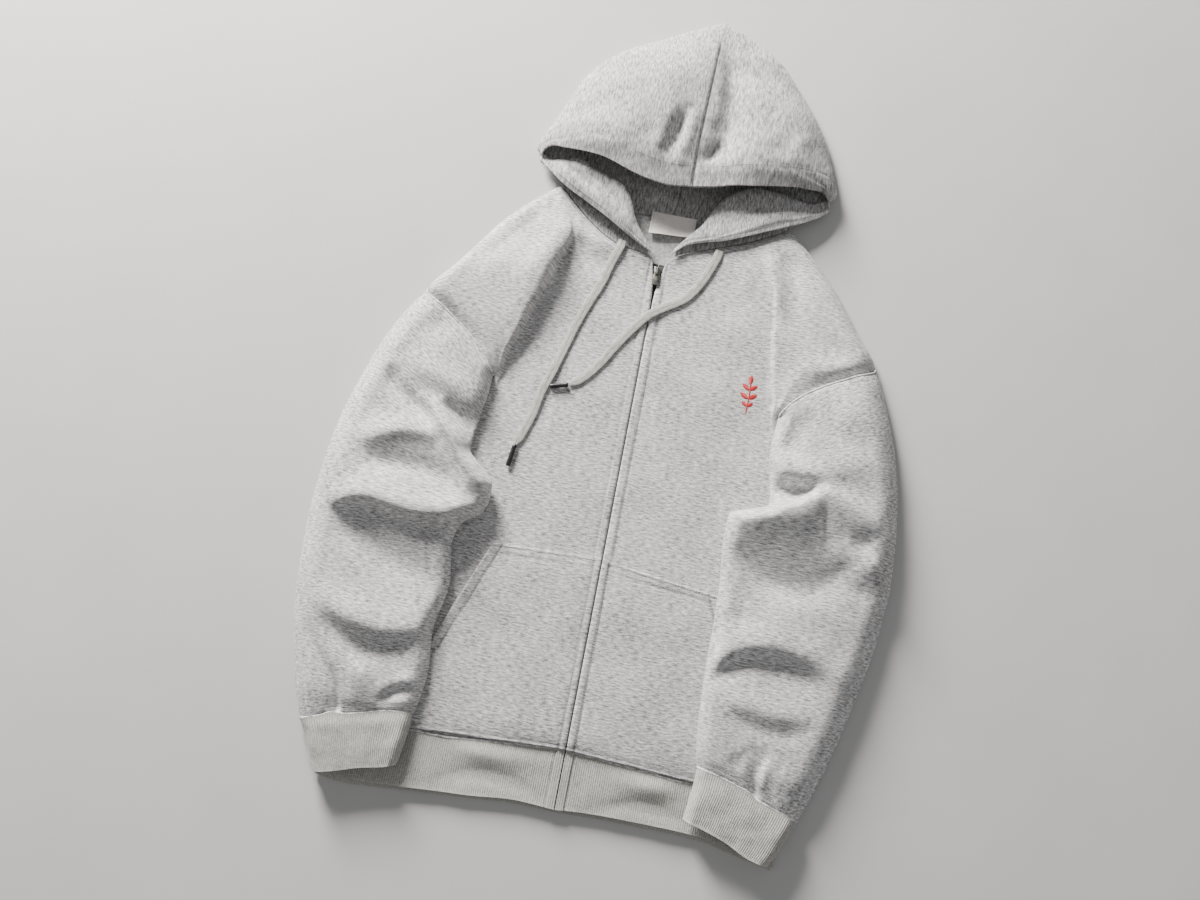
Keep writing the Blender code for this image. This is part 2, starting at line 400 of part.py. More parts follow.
# y, x of the body's side, then of the back's armhole edge; and the front's lower armhole edge
SIDE_R = [(52, -253), (106, -263), (165, -271), (225, -278), (285, -283), (335, -285), (432, -271), (531, -257)]
SIDE_L = [(52, 233), (106, 245), (165, 255), (225, 264), (285, 270), (335, 273), (432, 268.6), (531, 264)]
ARM_R = [(52, -253), (106, -263), (165, -271), (225, -278), (285, -283), (335, -285), (389, -224), (428, -172), (441, -159)]
ARM_L = [(52, 233), (106, 245), (165, 255), (225, 264), (285, 270), (335, 273), (395, 222), (438, 176), (455, 163)]


def rest(X, Y, side):
    """Height a sleeve's lower layer lies at: on the front panel, on the back panel beside it, else on the floor."""
    s = -1.0 if side < 0 else 1.0
    T = np.array(SIDE_R if side < 0 else SIDE_L, float); A = np.array(ARM_R if side < 0 else ARM_L, float)
    out = (X - np.interp(Y, A[:, 0], A[:, 1])) * s              # how far outside the front
    far = (X - np.interp(Y, T[:, 0], T[:, 1])) * s              # how far outside the back
    ex, ey = (-160.0, 440.0) if side < 0 else (164.0, 454.0)
    top = 10.0 + 1.5 * smooth((276.0 - Y) / 14.0) + 3.6 * np.exp(-((X - ex) ** 2 + (Y - ey) ** 2) / 15.0 ** 2)
    low = 0.4 + 2.4 * (1 - smooth((far - 4.0) / 22.0))
    return low + (top - low) * (1 - smooth((out - 1.0) / 26.0))


def spread(n):
    """Places across a flattened tube, closer together at its two edges."""
    return 0.55 * 0.5 * (1 - np.cos(np.pi * np.linspace(0, 1, n + 1))) + 0.45 * np.linspace(0, 1, n + 1)


def seam_rows(T, lo, hi, u):
    """Rows of a front table whose outer ends lie at the parts u of the armhole seam (row hi to row lo)."""
    q = np.linspace(lo, hi, 400); T = np.asarray(T, float)
    k = np.concatenate([[0], np.cumsum(np.hypot(np.diff(T[:, 2]), np.diff(T[:, 3])) * .5
                                       + np.hypot(np.diff(T[:, 0]), np.diff(T[:, 1])) * .5)])
    P = pch(k, T[:, 4:6], np.interp(q, np.arange(len(T)), k), True); c = chord(P)
    return np.interp(1 - np.asarray(u)[::-1], c / c[-1], q)


def seam_line(T, rows, gap=0.5):
    """The armhole seam's sleeve side: the front's edge at those rows, moved out by the gap; shoulder first."""
    T = np.asarray(T, float)
    k = np.concatenate([[0], np.cumsum(np.hypot(np.diff(T[:, 2]), np.diff(T[:, 3])) * .5
                                       + np.hypot(np.diff(T[:, 0]), np.diff(T[:, 1])) * .5)])
    P = pch(k, T[:, 4:6], np.interp(rows, np.arange(len(T)), k), True)[::-1]
    d = np.gradient(P, axis=0); d /= np.linalg.norm(d, axis=1, keepdims=True)
    n = np.stack([-d[:, 1], d[:, 0]], 1)
    n *= np.where(n[:, 1:2] > 0, -1.0, 1.0)
    return P + n * gap


def legs(nb, c):
    """Places of nb points along the lower layer: one at its corner, closer together toward the two edges."""
    n1 = nb // 2; n2 = nb - n1
    a = np.arange(1, n1 + 1) / n1; b = np.arange(1, n2 + 1) / (n2 + 1)
    return np.concatenate([a ** 1.35 * c[1], c[1] + (1 - (1 - b) ** 1.35) * (c[2] - c[1])])


def sleeve(T, seam, cuffseam, table, side, rows, nt, nb, fine=False):
    """Outer rings of a sleeve, from the armhole seam to the cuff seam (rings x points)."""
    T = np.asarray(T, float); R = len(T)
    k = np.concatenate([[0], np.cumsum(.5 * np.hypot(np.diff(T[:, 0]), np.diff(T[:, 1]))
                                       + .5 * np.hypot(np.diff(T[:, 3]), np.diff(T[:, 4])))])
    t = np.interp(rows, np.arange(R), k)
    V = np.concatenate([pch(k, T[:, 0:2], t, False), pch(k, T[:, 2:3], t), pch(k, T[:, 3:5], t, True),
                        pch(k, T[:, 5:8], t), pch(k, T[:, 8:10], t, True)], axis=1)
    xo, yo, zo, xi, yi, zi, bow, hc, xq, yq = V.T
    u = spread(nt)
    w = legs(nb, [0, .5, 1])
    def along(P, q):
        P = line(P, 6); c = chord(P); return np.interp(q * c[-1], c, P[:, 0]), np.interp(q * c[-1], c, P[:, 1])
    seam = np.asarray(seam, float)
    if len(seam) == nt + 1:
        sx, sy = seam[:, 0], seam[:, 1]
    else:
        sx, sy = along(seam, u)
    cx, cy = along(cuffseam, u); wx, wy = along(cuffseam, 1 - w)
    rings = []
    n = len(t)
    for j in range(n):
        ox, oy, ix, iy = xo[j], yo[j], xi[j], yi[j]
        ex, ey = ix - ox, iy - oy; L = math.hypot(ex, ey)
        nx, ny = -ey / L, ex / L
        if ny < 0: nx, ny = -nx, -ny
        bx = ox + ex * u + nx * bow[j] * 4 * u * (1 - u); by = oy + ey * u + ny * bow[j] * 4 * u * (1 - u)
        s0 = 1 - smooth((t[j] - t[0]) / 60.0); s1 = 1 - smooth((t[-1] - t[j]) / 26.0)
        # the seam curves are given as departures from the straight line, fading along the sleeve
        a0 = (seam[0][0], seam[0][1], seam[-1][0], seam[-1][1]); a1 = (cuffseam[0][0], cuffseam[0][1], cuffseam[-1][0], cuffseam[-1][1])
        dx0 = sx - (a0[0] + (a0[2] - a0[0]) * u); dy0 = sy - (a0[1] + (a0[3] - a0[1]) * u)
        dx1 = cx - (a1[0] + (a1[2] - a1[0]) * u); dy1 = cy - (a1[1] + (a1[3] - a1[1]) * u)
        lx = ox + ex * u; ly = oy + ey * u
        X = lx + (bx - lx) * (1 - s0) * (1 - s1) + dx0 * s0 + dx1 * s1
        Y = ly + (by - ly) * (1 - s0) * (1 - s1) + dy0 * s0 + dy1 * s1
        # lower layer: inner edge -> corner -> outer edge
        b0 = chord([(ix, iy), (xq[j], yq[j]), (ox, oy)]); q = legs(nb, b0)
        BX = np.interp(q, b0, [ix, xq[j], ox]); BY = np.interp(q, b0, [iy, yq[j], oy])
        BX = BX + s1 * (wx - (a1[0] + (a1[2] - a1[0]) * (1 - w))); BY = BY + s1 * (wy - (a1[1] + (a1[3] - a1[1]) * (1 - w)))
        rings.append((X, Y, BX, BY))
    X = np.array([r[0] for r in rings]); Y = np.array([r[1] for r in rings])
    BX = np.array([r[2] for r in rings]); BY = np.array([r[3] for r in rings])
    eo = line(np.stack([xo, yo], 1), 1); ei = line(np.stack([xi, yi], 1), 1)
    do = np.abs(near(eo, X, Y)[0]); di = np.abs(near(ei, X, Y)[0])
    lin = zo[:, None] + (zi - zo)[:, None] * u[None, :]
    H = hc[:, None] + folds(table, X, Y)
    e = edge_up(do, 30.0, 1.9) * edge_up(di, 16.0, 2.3)
    Z = lin + (np.maximum(H, lin + 1.5) - lin) * e
    Z = Z + 1.4 * np.sqrt(np.clip(1 - (1 - np.clip(np.minimum(do, di) / 1.6, 0, 1)) ** 2, 0, 1))
    BO = np.abs(near(eo, BX, BY)[0]); BI = np.abs(near(ei, BX, BY)[0])
    bl = zo[:, None] + (zi - zo)[:, None] * (1 - w)[None, :]
    rz = rest(BX, BY, side)
    be = edge_up(np.minimum(BO, BI), 7.0, 2.2)
    BZ = bl - (bl - rz) * be
    P = np.concatenate([np.stack([X, Y, Z], -1), np.stack([BX, BY, BZ], -1)], axis=1)
    return P


def inside(P, nt, t, inset=2.4):
    """Inner face of a flattened tube: the upper layer moved down, the lower one up, the two edges moved in."""
    m = P.shape[1]; n = normals(P, True)
    c = np.clip(np.abs(n[..., 2]), .42, 1)
    up = P[:, :nt + 1]; lo = np.concatenate([P[:, nt:], P[:, :1]], axis=1)
    Q = P.copy()
    below = drape([lo], P[:, 1:nt, 0], P[:, 1:nt, 1], -99.0)
    room = np.where(below < -50, 99.0, P[:, 1:nt, 2] - below)
    Q[:, 1:nt, 2] = P[:, 1:nt, 2] - np.minimum(t / c[:, 1:nt], np.maximum(room * .5 - .3, .3))
    above = drape([up], P[:, nt + 1:, 0], P[:, nt + 1:, 1], -99.0)
    room = np.where(above < -50, 99.0, above - P[:, nt + 1:, 2])
    Q[:, nt + 1:, 2] = P[:, nt + 1:, 2] + np.minimum(t, np.maximum(room * .5 - .3, .3))
    for j, k in ((0, 1), (nt, nt - 1)):
        d = P[:, k, :2] - P[:, j, :2]; e = np.gradient(P[:, j, :2], axis=0)
        e = np.stack([-e[:, 1], e[:, 0]], 1) / np.linalg.norm(e, axis=1, keepdims=True)
        e[0] = d[0] / np.linalg.norm(d[0]); e[-1] = d[-1] / np.linalg.norm(d[-1])
        L = (d * e).sum(1, keepdims=True)
        Q[:, j, :2] = P[:, j, :2] + e * np.sign(L) * np.minimum(inset, .6 * np.abs(L))
        a = drape([up], Q[:, j, 0], Q[:, j, 1], -99.0); b = drape([lo], Q[:, j, 0], Q[:, j, 1], -99.0)
        i = m - 1 if j == 0 else nt + 1                          # the lower layer's neighbour
        f = np.linalg.norm(Q[:, j, :2] - P[:, j, :2], axis=1)
        fa = f / np.linalg.norm(P[:, k, :2] - P[:, j, :2], axis=1); fb = f / np.linalg.norm(P[:, i, :2] - P[:, j, :2], axis=1)
        a = np.where(a > -50, a, P[:, j, 2] + (P[:, k, 2] - P[:, j, 2]) * fa)
        b = np.where(b > -50, b, P[:, j, 2] + (P[:, i, 2] - P[:, j, 2]) * fb)
        Q[:, j, 2] = b + np.minimum(.4 * (a - b), 1.0)
    return Q


# ---------------------------------------------------------------- the cuffs
# rows from the sleeve seam to the mouth: outer edge xo,yo,zo; inner edge xi,yi,zi; height of the face
CUFF_R = [
    (-281.2, 38.4, 7.0, -163.5, 66.8, 14.8, 20.0),
    (-275.0, 30.0, 7.6, -164.0, 52.0, 15.0, 21.5),
    (-267.0, 16.0, 9.4, -166.0, 34.0, 15.0, 21.5),
    (-260.0,  3.0, 12.2, -167.5, 22.0, 15.0, 21.0),
    (-254.0, -9.0, 13.4, -169.5, 14.0, 14.8, 20.4),
]
CUFF_L = [
    (247.2, 35.9, 9.8, 136.5, 69.8, 15.2, 21.0),
    (242.0, 26.0, 11.8, 135.5, 54.0, 15.4, 23.0),
    (235.0, 12.0, 13.2, 133.5, 40.0, 15.4, 23.5),
    (229.0, -1.0, 13.6, 132.0, 28.0, 15.4, 23.5),
    (222.5,-11.5, 13.6, 130.5, 18.0, 15.2, 23.5),
]
MOUTH_R = [(-254, -9), (-235, -4.5), (-204, 5), (-180, 10.5), (-169.5, 14)]
MOUTH_L = [(222.5, -11.5), (211, -8.5), (198, -5), (176, 5), (151, 13), (130.5, 18)]


def cuff(T, top, mouth, side, rows, nt, nb):
    T = np.asarray(T, float); R = len(T)
    V = pch(np.arange(R), T, rows)
    xo, yo, zo, xi, yi, zi, zf = V.T
    u = spread(nt)
    w = legs(nb, [0, .5, 1])
    def off(P, q):
        P = line(P, 6); c = chord(P)
        x, y = np.interp(q * c[-1], c, P[:, 0]), np.interp(q * c[-1], c, P[:, 1])
        return x - (P[0, 0] + (P[-1, 0] - P[0, 0]) * q), y - (P[0, 1] + (P[-1, 1] - P[0, 1]) * q)
    out = []
    for j in range(len(rows)):
        f = rows[j] / (R - 1)
        d0x, d0y = off(top, u); d1x, d1y = off(mouth, u)
        X = xo[j] + (xi[j] - xo[j]) * u + d0x * (1 - f) + d1x * f
        Y = yo[j] + (yi[j] - yo[j]) * u + d0y * (1 - f) + d1y * f
        e0x, e0y = off(top, 1 - w); e1x, e1y = off(mouth, 1 - w)
        BX = xi[j] + (xo[j] - xi[j]) * w + e0x * (1 - f) + e1x * f
        BY = yi[j] + (yo[j] - yi[j]) * w + e0y * (1 - f) + e1y * f
        lin = zo[j] + (zi[j] - zo[j]) * u
        L = math.hypot(xi[j] - xo[j], yi[j] - yo[j])
        e = edge_up(L * u, 14.0, 2.4) * edge_up(L * (1 - u), 10.0, 2.4)
        Z = lin + (zf[j] - lin) * e + 1.2 * np.sqrt(np.clip(1 - (1 - np.clip(L * np.minimum(u, 1 - u) / 1.6, 0, 1)) ** 2, 0, 1))
        bl = zi[j] + (zo[j] - zi[j]) * w
        BZ = bl - (bl - rest(BX, BY, side)) * edge_up(L * np.minimum(w, 1 - w), 7.0, 2.2)
        out.append(np.concatenate([np.stack([X, Y, Z], -1), np.stack([BX, BY, BZ], -1)]))
    return np.array(out)


# ---------------------------------------------------------------- the hood
EYE = (12.4, 185.1, 992.2)      # the plan positions marked "seen" are as they show from here on a plane 15 mm up


def seen(x, y, z):
    k = (EYE[2] - z) / (EYE[2] - 15.0)
    return EYE[0] + (x - EYE[0]) * k, EYE[1] + (y - EYE[1]) * k, z


# rows from the centre seam, round the mouth's edge, to the neck point. f: mouth edge, a, b: on the face (seen);
# c: where the sheet turns (true for the crown's outline, seen for the collar's roll), r: half height of the turn;
# d: middle of the lower layer, e: its end at the centre seam or the neck seam (true); n: place along the neck seam
HOOD_R = [
    # f               a                b                c                  r    d                 e
    ((21.6, 711, 33), (20.6, 762, 37), (22.8, 850, 35), (24.7, 937, 6.4),  4.6, (24.4, 930, 1.5), (24.2, 922, 1.5), None),
    ((-4, 708, 34),   (-6, 765, 41),   (-5, 860, 37),   (-5, 923, 6.4),    4.6, (8, 903, 1.5),    (22.4, 893, 1.5), None),
    ((-30, 711, 36),  (-34, 768, 46),  (-35, 848, 39),  (-44, 901, 6.4),   4.6, (-12, 875, 1.5),  (20.4, 862, 1.5), None),
    ((-58, 719, 36),  (-66, 770, 46),  (-76, 833, 36),  (-91, 875, 6.4),   4.6, (-36, 845, 1.5),  (18.0, 828, 1.5), None),
    ((-86, 729, 34),  (-94, 765, 42),  (-106, 810, 32), (-125, 841, 6.4),  4.6, (-54, 810, 1.5),  (15.0, 792, 1.5), None),
    ((-112, 732, 30), (-118, 757, 35), (-128, 785, 28), (-144, 796, 6.4),  4.6, (-64, 772, 1.5),  (12.4, 757, 1.5), None),
    ((-136, 732, 25), (-141, 746, 27), (-148, 760, 22), (-158, 760, 6.6),  4.6, (-70, 737, 1.5),  (10.4, 725, 1.5), None),
    ((-154, 730, 19), (-157, 736, 19), (-161, 742, 16), (-167.5, 738, 7),  4.2, (-74, 713, 1.5),  (8.8, 703, 1.5), None),
    ((-160, 721, 13.5), (-163.5, 724.5, 12), (-166.5, 727.5, 10),  (-169, 730.5, 5.3), 3.2, (-78, 704, 1.5),  (7.4, 688, 1.5), None),
    ((-161, 711, 10), (-156.5, 712.4, 9.0), (-151.5, 713.2, 8.6), (-142, 711, 5.2), 3.2, (-74, 693, 1.6),  (6.0, 671.0, 1.3), None),
    ((-154, 705, 11), (-149, 708, 12), (-144, 711, 12), (-137, 715, 8.0),  3.2, (-104, 697, 2.2), (-60, 673.2, 1.6), None),
    ((-147, 700, 13), (-141, 705, 15), (-136, 710, 15.5), (-131, 716, 10.6), 3.6, (-123, 701, 3.6), (-108, 681.6, 2.4), None),
    ((-136, 691.5, 15.5), (-129, 699, 19), (-122, 709, 19.5), (-116, 720, 12.8), 4.0, (-127, 703, 7.0), (-128, 687.4, 4.9), None),
    ((-120, 681, 18), (-113, 690, 21), (-105, 702, 21), (-98, 712, 13.5),  4.6, (-111, 699, 8.8),  None, 0.955),
    ((-98, 669.5, 19), (-92, 678, 22), (-84, 692, 21),  (-77, 705, 13.5),  4.6, (-86, 690, 8.2),  None, 0.82),
    ((-75, 657, 19),  (-70, 666, 22),  (-65, 682, 21),  (-60, 699, 13.5),  4.6, (-70, 680, 8.4),  None, 0.65),
    ((-53, 644, 18),  (-50, 652, 21),  (-48, 665, 20),  (-46, 680, 13.2),  4.2, (-55, 661, 8.6),  None, 0.48),
    ((-34, 632.5, 16), (-34, 638, 18), (-35, 647, 17),  (-37, 657, 12.8),  3.4, (-43, 643, 9.0),  None, 0.31),
    ((-20, 624.5, 14), (-21, 628, 15.5), (-22, 633, 15), (-24, 639, 12),   2.4, (-28, 630, 9.2),  None, 0.16),
    ((-11, 620.5, 12.6), (-11.6, 622, 13.6), (-12.4, 624, 13.6), (-13.4, 626, 11.8), 1.6, (-15, 623.4, 9.6), None, 0.055),
]
HOOD_L = [
    ((22.4, 711, 33), (21.4, 762, 37), (23.6, 850, 35), (25.5, 937, 6.4),  4.6, (25.2, 930, 1.5), (25.0, 922, 1.5), None),
    ((45, 715, 34),   (48, 765, 38),   (52, 850, 34),   (61, 921, 6.4),    4.6, (42, 901, 1.5),   (23.4, 893, 1.5), None),
    ((70, 722, 35),   (75, 770, 42),   (85, 838, 36),   (97, 898, 6.4),    4.6, (58, 876, 1.5),   (21.4, 862, 1.5), None),
    ((95, 726, 35),   (102, 770, 44),  (115, 823, 36),  (128, 862, 6.4),   4.6, (72, 842, 1.5),   (19.0, 828, 1.5), None),
    ((118, 730, 33),  (126, 764, 41),  (138, 803, 33),  (152, 829, 6.4),   4.6, (82, 806, 1.5),   (16.0, 792, 1.5), None),
    ((140, 733, 30),  (147, 757, 35),  (156, 781, 28),  (170, 797, 6.4),   4.6, (90, 772, 1.5),   (13.4, 757, 1.5), None),
    ((160, 733, 25),  (165, 747, 27),  (171, 760, 22),  (181.5, 767, 6.6), 4.6, (96, 740, 1.5),   (11.4, 725, 1.5), None),
    ((175, 731, 19),  (179, 737, 19),  (183, 743, 16),  (188.5, 745, 7),   4.2, (99, 716, 1.5),   (9.8, 703, 1.5), None),
    ((181, 723, 13.5),  (184.5, 727, 12),  (187.5, 731, 10),   (190.8, 735, 5.9), 3.2, (102, 706, 1.5),  (8.4, 688, 1.5), None),
    ((184, 712, 10),  (178, 713, 9.2), (172, 714, 8.8), (163, 714, 5.6),   3.2, (100, 695, 1.7),  (6.8, 671.0, 1.3), None),
    ((176, 702, 11),  (170, 705, 12),  (164, 709, 12),  (155, 714, 8.0),   3.2, (120, 694, 2.2),  (72, 672.6, 1.6), None),
    ((168, 696.5, 12.5), (160, 702, 14.5), (152, 708, 14.5), (145, 716, 10.4), 3.6, (137, 697, 3.6), (122, 677.4, 2.4), None),
    ((154, 688.5, 14.5), (144, 698, 17), (132, 709, 17), (122, 721, 11.8), 3.8, (143, 700, 6.8),  (142, 682.4, 4.9), None),
    ((140, 682, 16),  (127, 694, 18),  (109, 711, 18),  (98, 723, 12.8),   4.4, (122, 700, 8.6),  None, 0.955),
    ((118, 672, 18),  (105, 684, 20),  (89, 702, 20),   (77, 715, 13.5),   4.6, (90, 694, 8),     None, 0.82),
    ((94, 661, 19),   (84, 670, 21),   (73, 688, 20),   (62, 702, 13.5),   4.6, (75, 681, 8.2),   None, 0.66),
    ((70, 650.5, 18), (63, 658, 20),   (57, 671, 19),   (51, 684, 13.2),   4.2, (60, 665, 8.6),   None, 0.50),
    ((48, 644, 16.5), (45, 649, 18),   (43, 657, 17),   (42, 665, 12.8),   3.4, (47, 652, 9.0),   None, 0.34),
    ((30, 637.5, 15), (29, 641, 16),   (29, 646, 15.5), (31, 651, 12.2),   2.6, (34, 641, 9.2),   None, 0.19),
    ((12.4, 622.5, 12.8), (13, 624.4, 13.8), (13.6, 626.6, 13.8), (14.6, 629, 12), 1.6, (16.4, 625.6, 9.8), None, 0.06),
]
FOLD_HOOD = [
    # beside the centre seam, low on the crown: a sharp dip each side, a small ridge crossing on the right
    [(-2, 792, 0, 5, 9), (-4, 778, -6, 5, 12), (-6, 758, -7, 5, 12), (-12, 736, -4, 5, 9), (-18, 722, 0, 5, 8)],
    [(-16, 800, 0, 12, 6), (-18, 776, 3, 14, 7), (-24, 744, 2, 14, 7), (-26, 724, 0, 10, 7)],
    [(30, 788, 0, 9, 7), (36, 772, -7, 12, 7), (33, 752, -7, 12, 7), (28, 736, -3, 9, 6), (26, 724, 0, 8, 6)],
    [(50, 782, 0, 5, 6), (40, 766, 3.4, 5, 6), (28, 750, 3.4, 5, 5), (16, 742, 0, 5, 5)],
    # long valley to the right of the seam, the shade above it
    [(28, 912, 0, 8, 8), (38, 880, -4, 14, 9), (46, 838, -7, 18, 11), (52, 796, -7, 18, 12), (56, 764, -4, 16, 12), (60, 738, 0, 12, 12)],
    [(46, 876, 0, 9, 7), (66, 866, -3, 11, 7), (92, 855, -2.5, 11, 7), (108, 848, 0, 9, 7)],
    [(54, 892, 0, 9, 7), (76, 880, 2.2, 10, 7), (98, 868, 0, 10, 7)],
    # faint crease and soft waves
    [(-64, 842, 0, 4, 5), (-46, 850, -1.5, 3, 4), (-14, 862, -1.5, 3, 4), (-2, 868, 0, 4, 5)],
    [(-152, 760, 0, 8, 8), (-132, 770, -3, 9, 9), (-108, 782, -2, 10, 10), (-92, 792, 0, 9, 9)],
    [(-58, 762, 0, 10, 10), (-40, 752, -2.4, 12, 10), (-24, 744, 0, 10, 9)],
    [(88, 752, 0, 10, 9), (112, 762, -2.2, 12, 10), (134, 776, 0, 10, 9)],
    [(128, 762, 0, 8, 8), (138, 778, 2.2, 9, 9), (146, 796, 0, 8, 8)],
]
FOLD_COLLAR = [
    # lengthwise creases of the turned-out collar
    [(-134, 712, 0, 4, 4), (-118, 702, -3.2, 4, 4), (-100, 690, -3.2, 4, 5), (-84, 680, 0, 4, 5)],
    [(-108, 706, 0, 4, 4), (-94, 698, -2.6, 4, 4), (-76, 688, -2.6, 4, 4), (-60, 672, -1.6, 4, 4), (-50, 656, 0, 4, 4)],
    [(-140, 704, 0, 5, 5), (-118, 690, 2.0, 5, 5), (-92, 674, 1.6, 5, 5), (-70, 662, 0, 5, 5)],
    [(112, 700, 0, 6, 6), (96, 690, -2.0, 7, 6), (80, 680, 0, 7, 6)],
    [(150, 700, 0, 5, 6), (128, 690, 1.8, 5, 6), (104, 676, 1.4, 5, 6), (84, 664, 0, 5, 6)],
]


def neck_edge(T, a, b):
    """The front panel's neck seam: from the zip end to the shoulder point, x, y, z."""
    P = np.array([(r[0], r[1], r[6]) for r in T[a:b]], float)
    t = chord(P)
    q = np.linspace(0, t[-1], 60)
    return np.concatenate([pch(t, P[:, :2], q, True), pch(t, P[:, 2:], q)], axis=1)


def hood(T, neck, side, q_rows, q_cols, gap=0.7):
    """Middle surface of a hood half (rows x columns) from its table."""
    c = chord(neck); rows = []
    for f, a, b, cc, r, d, e, n in T:
        f, a, b = seen(*f), seen(*a), seen(*b)
        crown = n is None and e[1] > 687.5
        if not crown: cc = seen(*cc)
        if e is None:
            x = np.interp(n * c[-1], c, neck[:, 0]); y = np.interp(n * c[-1], c, neck[:, 1]); z = np.interp(n * c[-1], c, neck[:, 2])
            x2 = np.interp(n * c[-1] + 1, c, neck[:, 0]); y2 = np.interp(n * c[-1] + 1, c, neck[:, 1])
            tx, ty = x2 - x, y2 - y; L = math.hypot(tx, ty); nx, ny = -ty / L, tx / L
            if ny < 0: nx, ny = -nx, -ny
            e = (x + nx * gap, y + ny * gap, z - 1.1)
        d = tuple(d)
        P = [np.array(p, float) for p in (f, a, b, cc, d, e)]
        C = P[3]
        u1 = (P[2] - C)[:2]; u1 /= max(np.linalg.norm(u1), 1e-6)
        u2 = (P[4] - C)[:2]; u2 /= max(np.linalg.norm(u2), 1e-6)
        k = min(3.2, 0.42 * np.linalg.norm((P[2] - C)[:2]), 0.42 * np.linalg.norm((P[4] - C)[:2])) + .3
        s = r / 4.6
        B1 = np.array([C[0] + u1[0] * k, C[1] + u1[1] * k, C[2] + r * .92])
        D1 = np.array([C[0] + u2[0] * k, C[1] + u2[1] * k, max(C[2] - r * .92, 1.5)])
        k2 = 3.6 * k
        l2 = np.linalg.norm((P[4] - C)[:2])
        D2 = D1 + (P[4] - D1) * min(.35, max(.15, k2 / max(l2, 1)))
        D2[2] = max(C[2] - r * 1.05, 1.5) if crown or n is not None else max(P[4][2] * .55 + (C[2] - r) * .45, 1.5)
        rows.append([P[0], P[1], P[2], B1, C, D1, D2, P[4], P[5]])
    w = smooth((q_rows - 6.9) / .6) * (1 - smooth((q_rows - 13.0) / 1.0))
    w = w[:, None, None]
    G = sweep(np.array(rows), q_rows, q_cols, False) * (1 - w) + sweep(np.array(rows), q_rows, q_cols, True) * w
    k = np.asarray(q_rows) <= 9.001                              # the centre seam's under side
    G[k, -1, 0] = np.interp(G[k, -1, 1], [671.0, 688, 703, 725, 757, 792, 828, 862, 893, 922],
                            [6.4, 7.9, 9.3, 10.9, 12.9, 15.5, 18.5, 20.9, 22.9, 24.6]) + side * 0.45
    return G


def hood_normals(G, q_rows, q_cols):
    """Normals of a hood half, kept square to the centre seam along it."""
    n = normals(G); q_rows = np.asarray(q_rows)
    one = int(np.argmin(np.abs(q_rows - 1)))
    n[np.ix_(q_rows < .999, q_cols > 5.9)] = (0, 0, np.sign(n[one, -1, 2]))
    n[0, :, 0] = 0
    k = q_rows <= 9.001
    n[k, -1, 0] *= 0
    for _ in range(2):
        n[1:-1, 1:-1] = (n[1:-1, 1:-1] * 2 + n[:-2, 1:-1] + n[2:, 1:-1] + n[1:-1, :-2] + n[1:-1, 2:]) / 6
    return n / np.maximum(np.linalg.norm(n, axis=2, keepdims=True), 1e-9)


def hood_folds(G, q_rows, q_cols, side):
    """Folds on the face of the crown and of the collar (columns up to the turn)."""
    w = np.clip(np.minimum(q_cols / 0.25, (3.4 - q_cols) / 0.8), 0, 1)[None, :]
    w = smooth(w)
    cr = smooth((9.0 - q_rows) / 1.5)[:, None]; co = smooth((q_rows - 9.5) / 1.5)[:, None]
    Z = folds(FOLD_HOOD, G[..., 0], G[..., 1]) * w * cr + folds(FOLD_COLLAR, G[..., 0], G[..., 1]) * w * co
    G = G.copy(); G[..., 2] += Z
    return G


def thick(G, q_rows, q_cols, rim, t):
    """Half thickness of a hood half: heavier along the mouth's casing, thinner in the tight turns."""
    q_rows = np.asarray(q_rows, float)
    h = (t + (rim - t) * (1 - smooth((q_cols - 0.55) / 0.25)))[None, :] * np.ones(G.shape[:2])
    k = smooth((q_rows - 7.6) / 1.4) * (1 - smooth((q_rows - 12.6) / 1.2))
    h *= 1 - .5 * k[:, None] * smooth((q_cols - 3.4) / 1.2)[None, :]
    k = np.exp(-((q_rows - 8.0) / 1.1) ** 2)
    h *= 1 - .5 * k[:, None] * (1 - smooth((q_cols - 3.0) / 1.0))[None, :]
    h *= 1 - .55 * smooth((q_rows - 16.2) / 1.8)[:, None]
    return h[..., None] * 0.5


# ---------------------------------------------------------------- small helpers for what lies on the panels
def drape(grids, X, Y, none=2.0):
    """Height of the highest of the given face grids at X, Y."""
    X = np.asarray(X, float); Y = np.asarray(Y, float); sh = X.shape; X = X.ravel(); Y = Y.ravel()
    out = np.full(X.shape, float(none))
    for P in grids:
        a = np.concatenate([P[:-1, :-1].reshape(-1, 3), P[:-1, :-1].reshape(-1, 3)])
        b = np.concatenate([P[:-1, 1:].reshape(-1, 3), P[1:, 1:].reshape(-1, 3)])
        c = np.concatenate([P[1:, 1:].reshape(-1, 3), P[1:, :-1].reshape(-1, 3)])
        det = (b[:, 0] - a[:, 0]) * (c[:, 1] - a[:, 1]) - (c[:, 0] - a[:, 0]) * (b[:, 1] - a[:, 1])
        ok = np.abs(det) > 1e-9; a, b, c, det = a[ok], b[ok], c[ok], det[ok]
        for i in range(len(X)):
            px, py = X[i] - a[:, 0], Y[i] - a[:, 1]
            u = (px * (c[:, 1] - a[:, 1]) - py * (c[:, 0] - a[:, 0])) / det
            v = (py * (b[:, 0] - a[:, 0]) - px * (b[:, 1] - a[:, 1])) / det
            k = (u >= -1e-6) & (v >= -1e-6) & (u + v <= 1 + 1e-6)
            if k.any():
                z = a[k, 2] + u[k] * (b[k, 2] - a[k, 2]) + v[k] * (c[k, 2] - a[k, 2])
                out[i] = max(out[i], z.max())
    return out.reshape(sh)


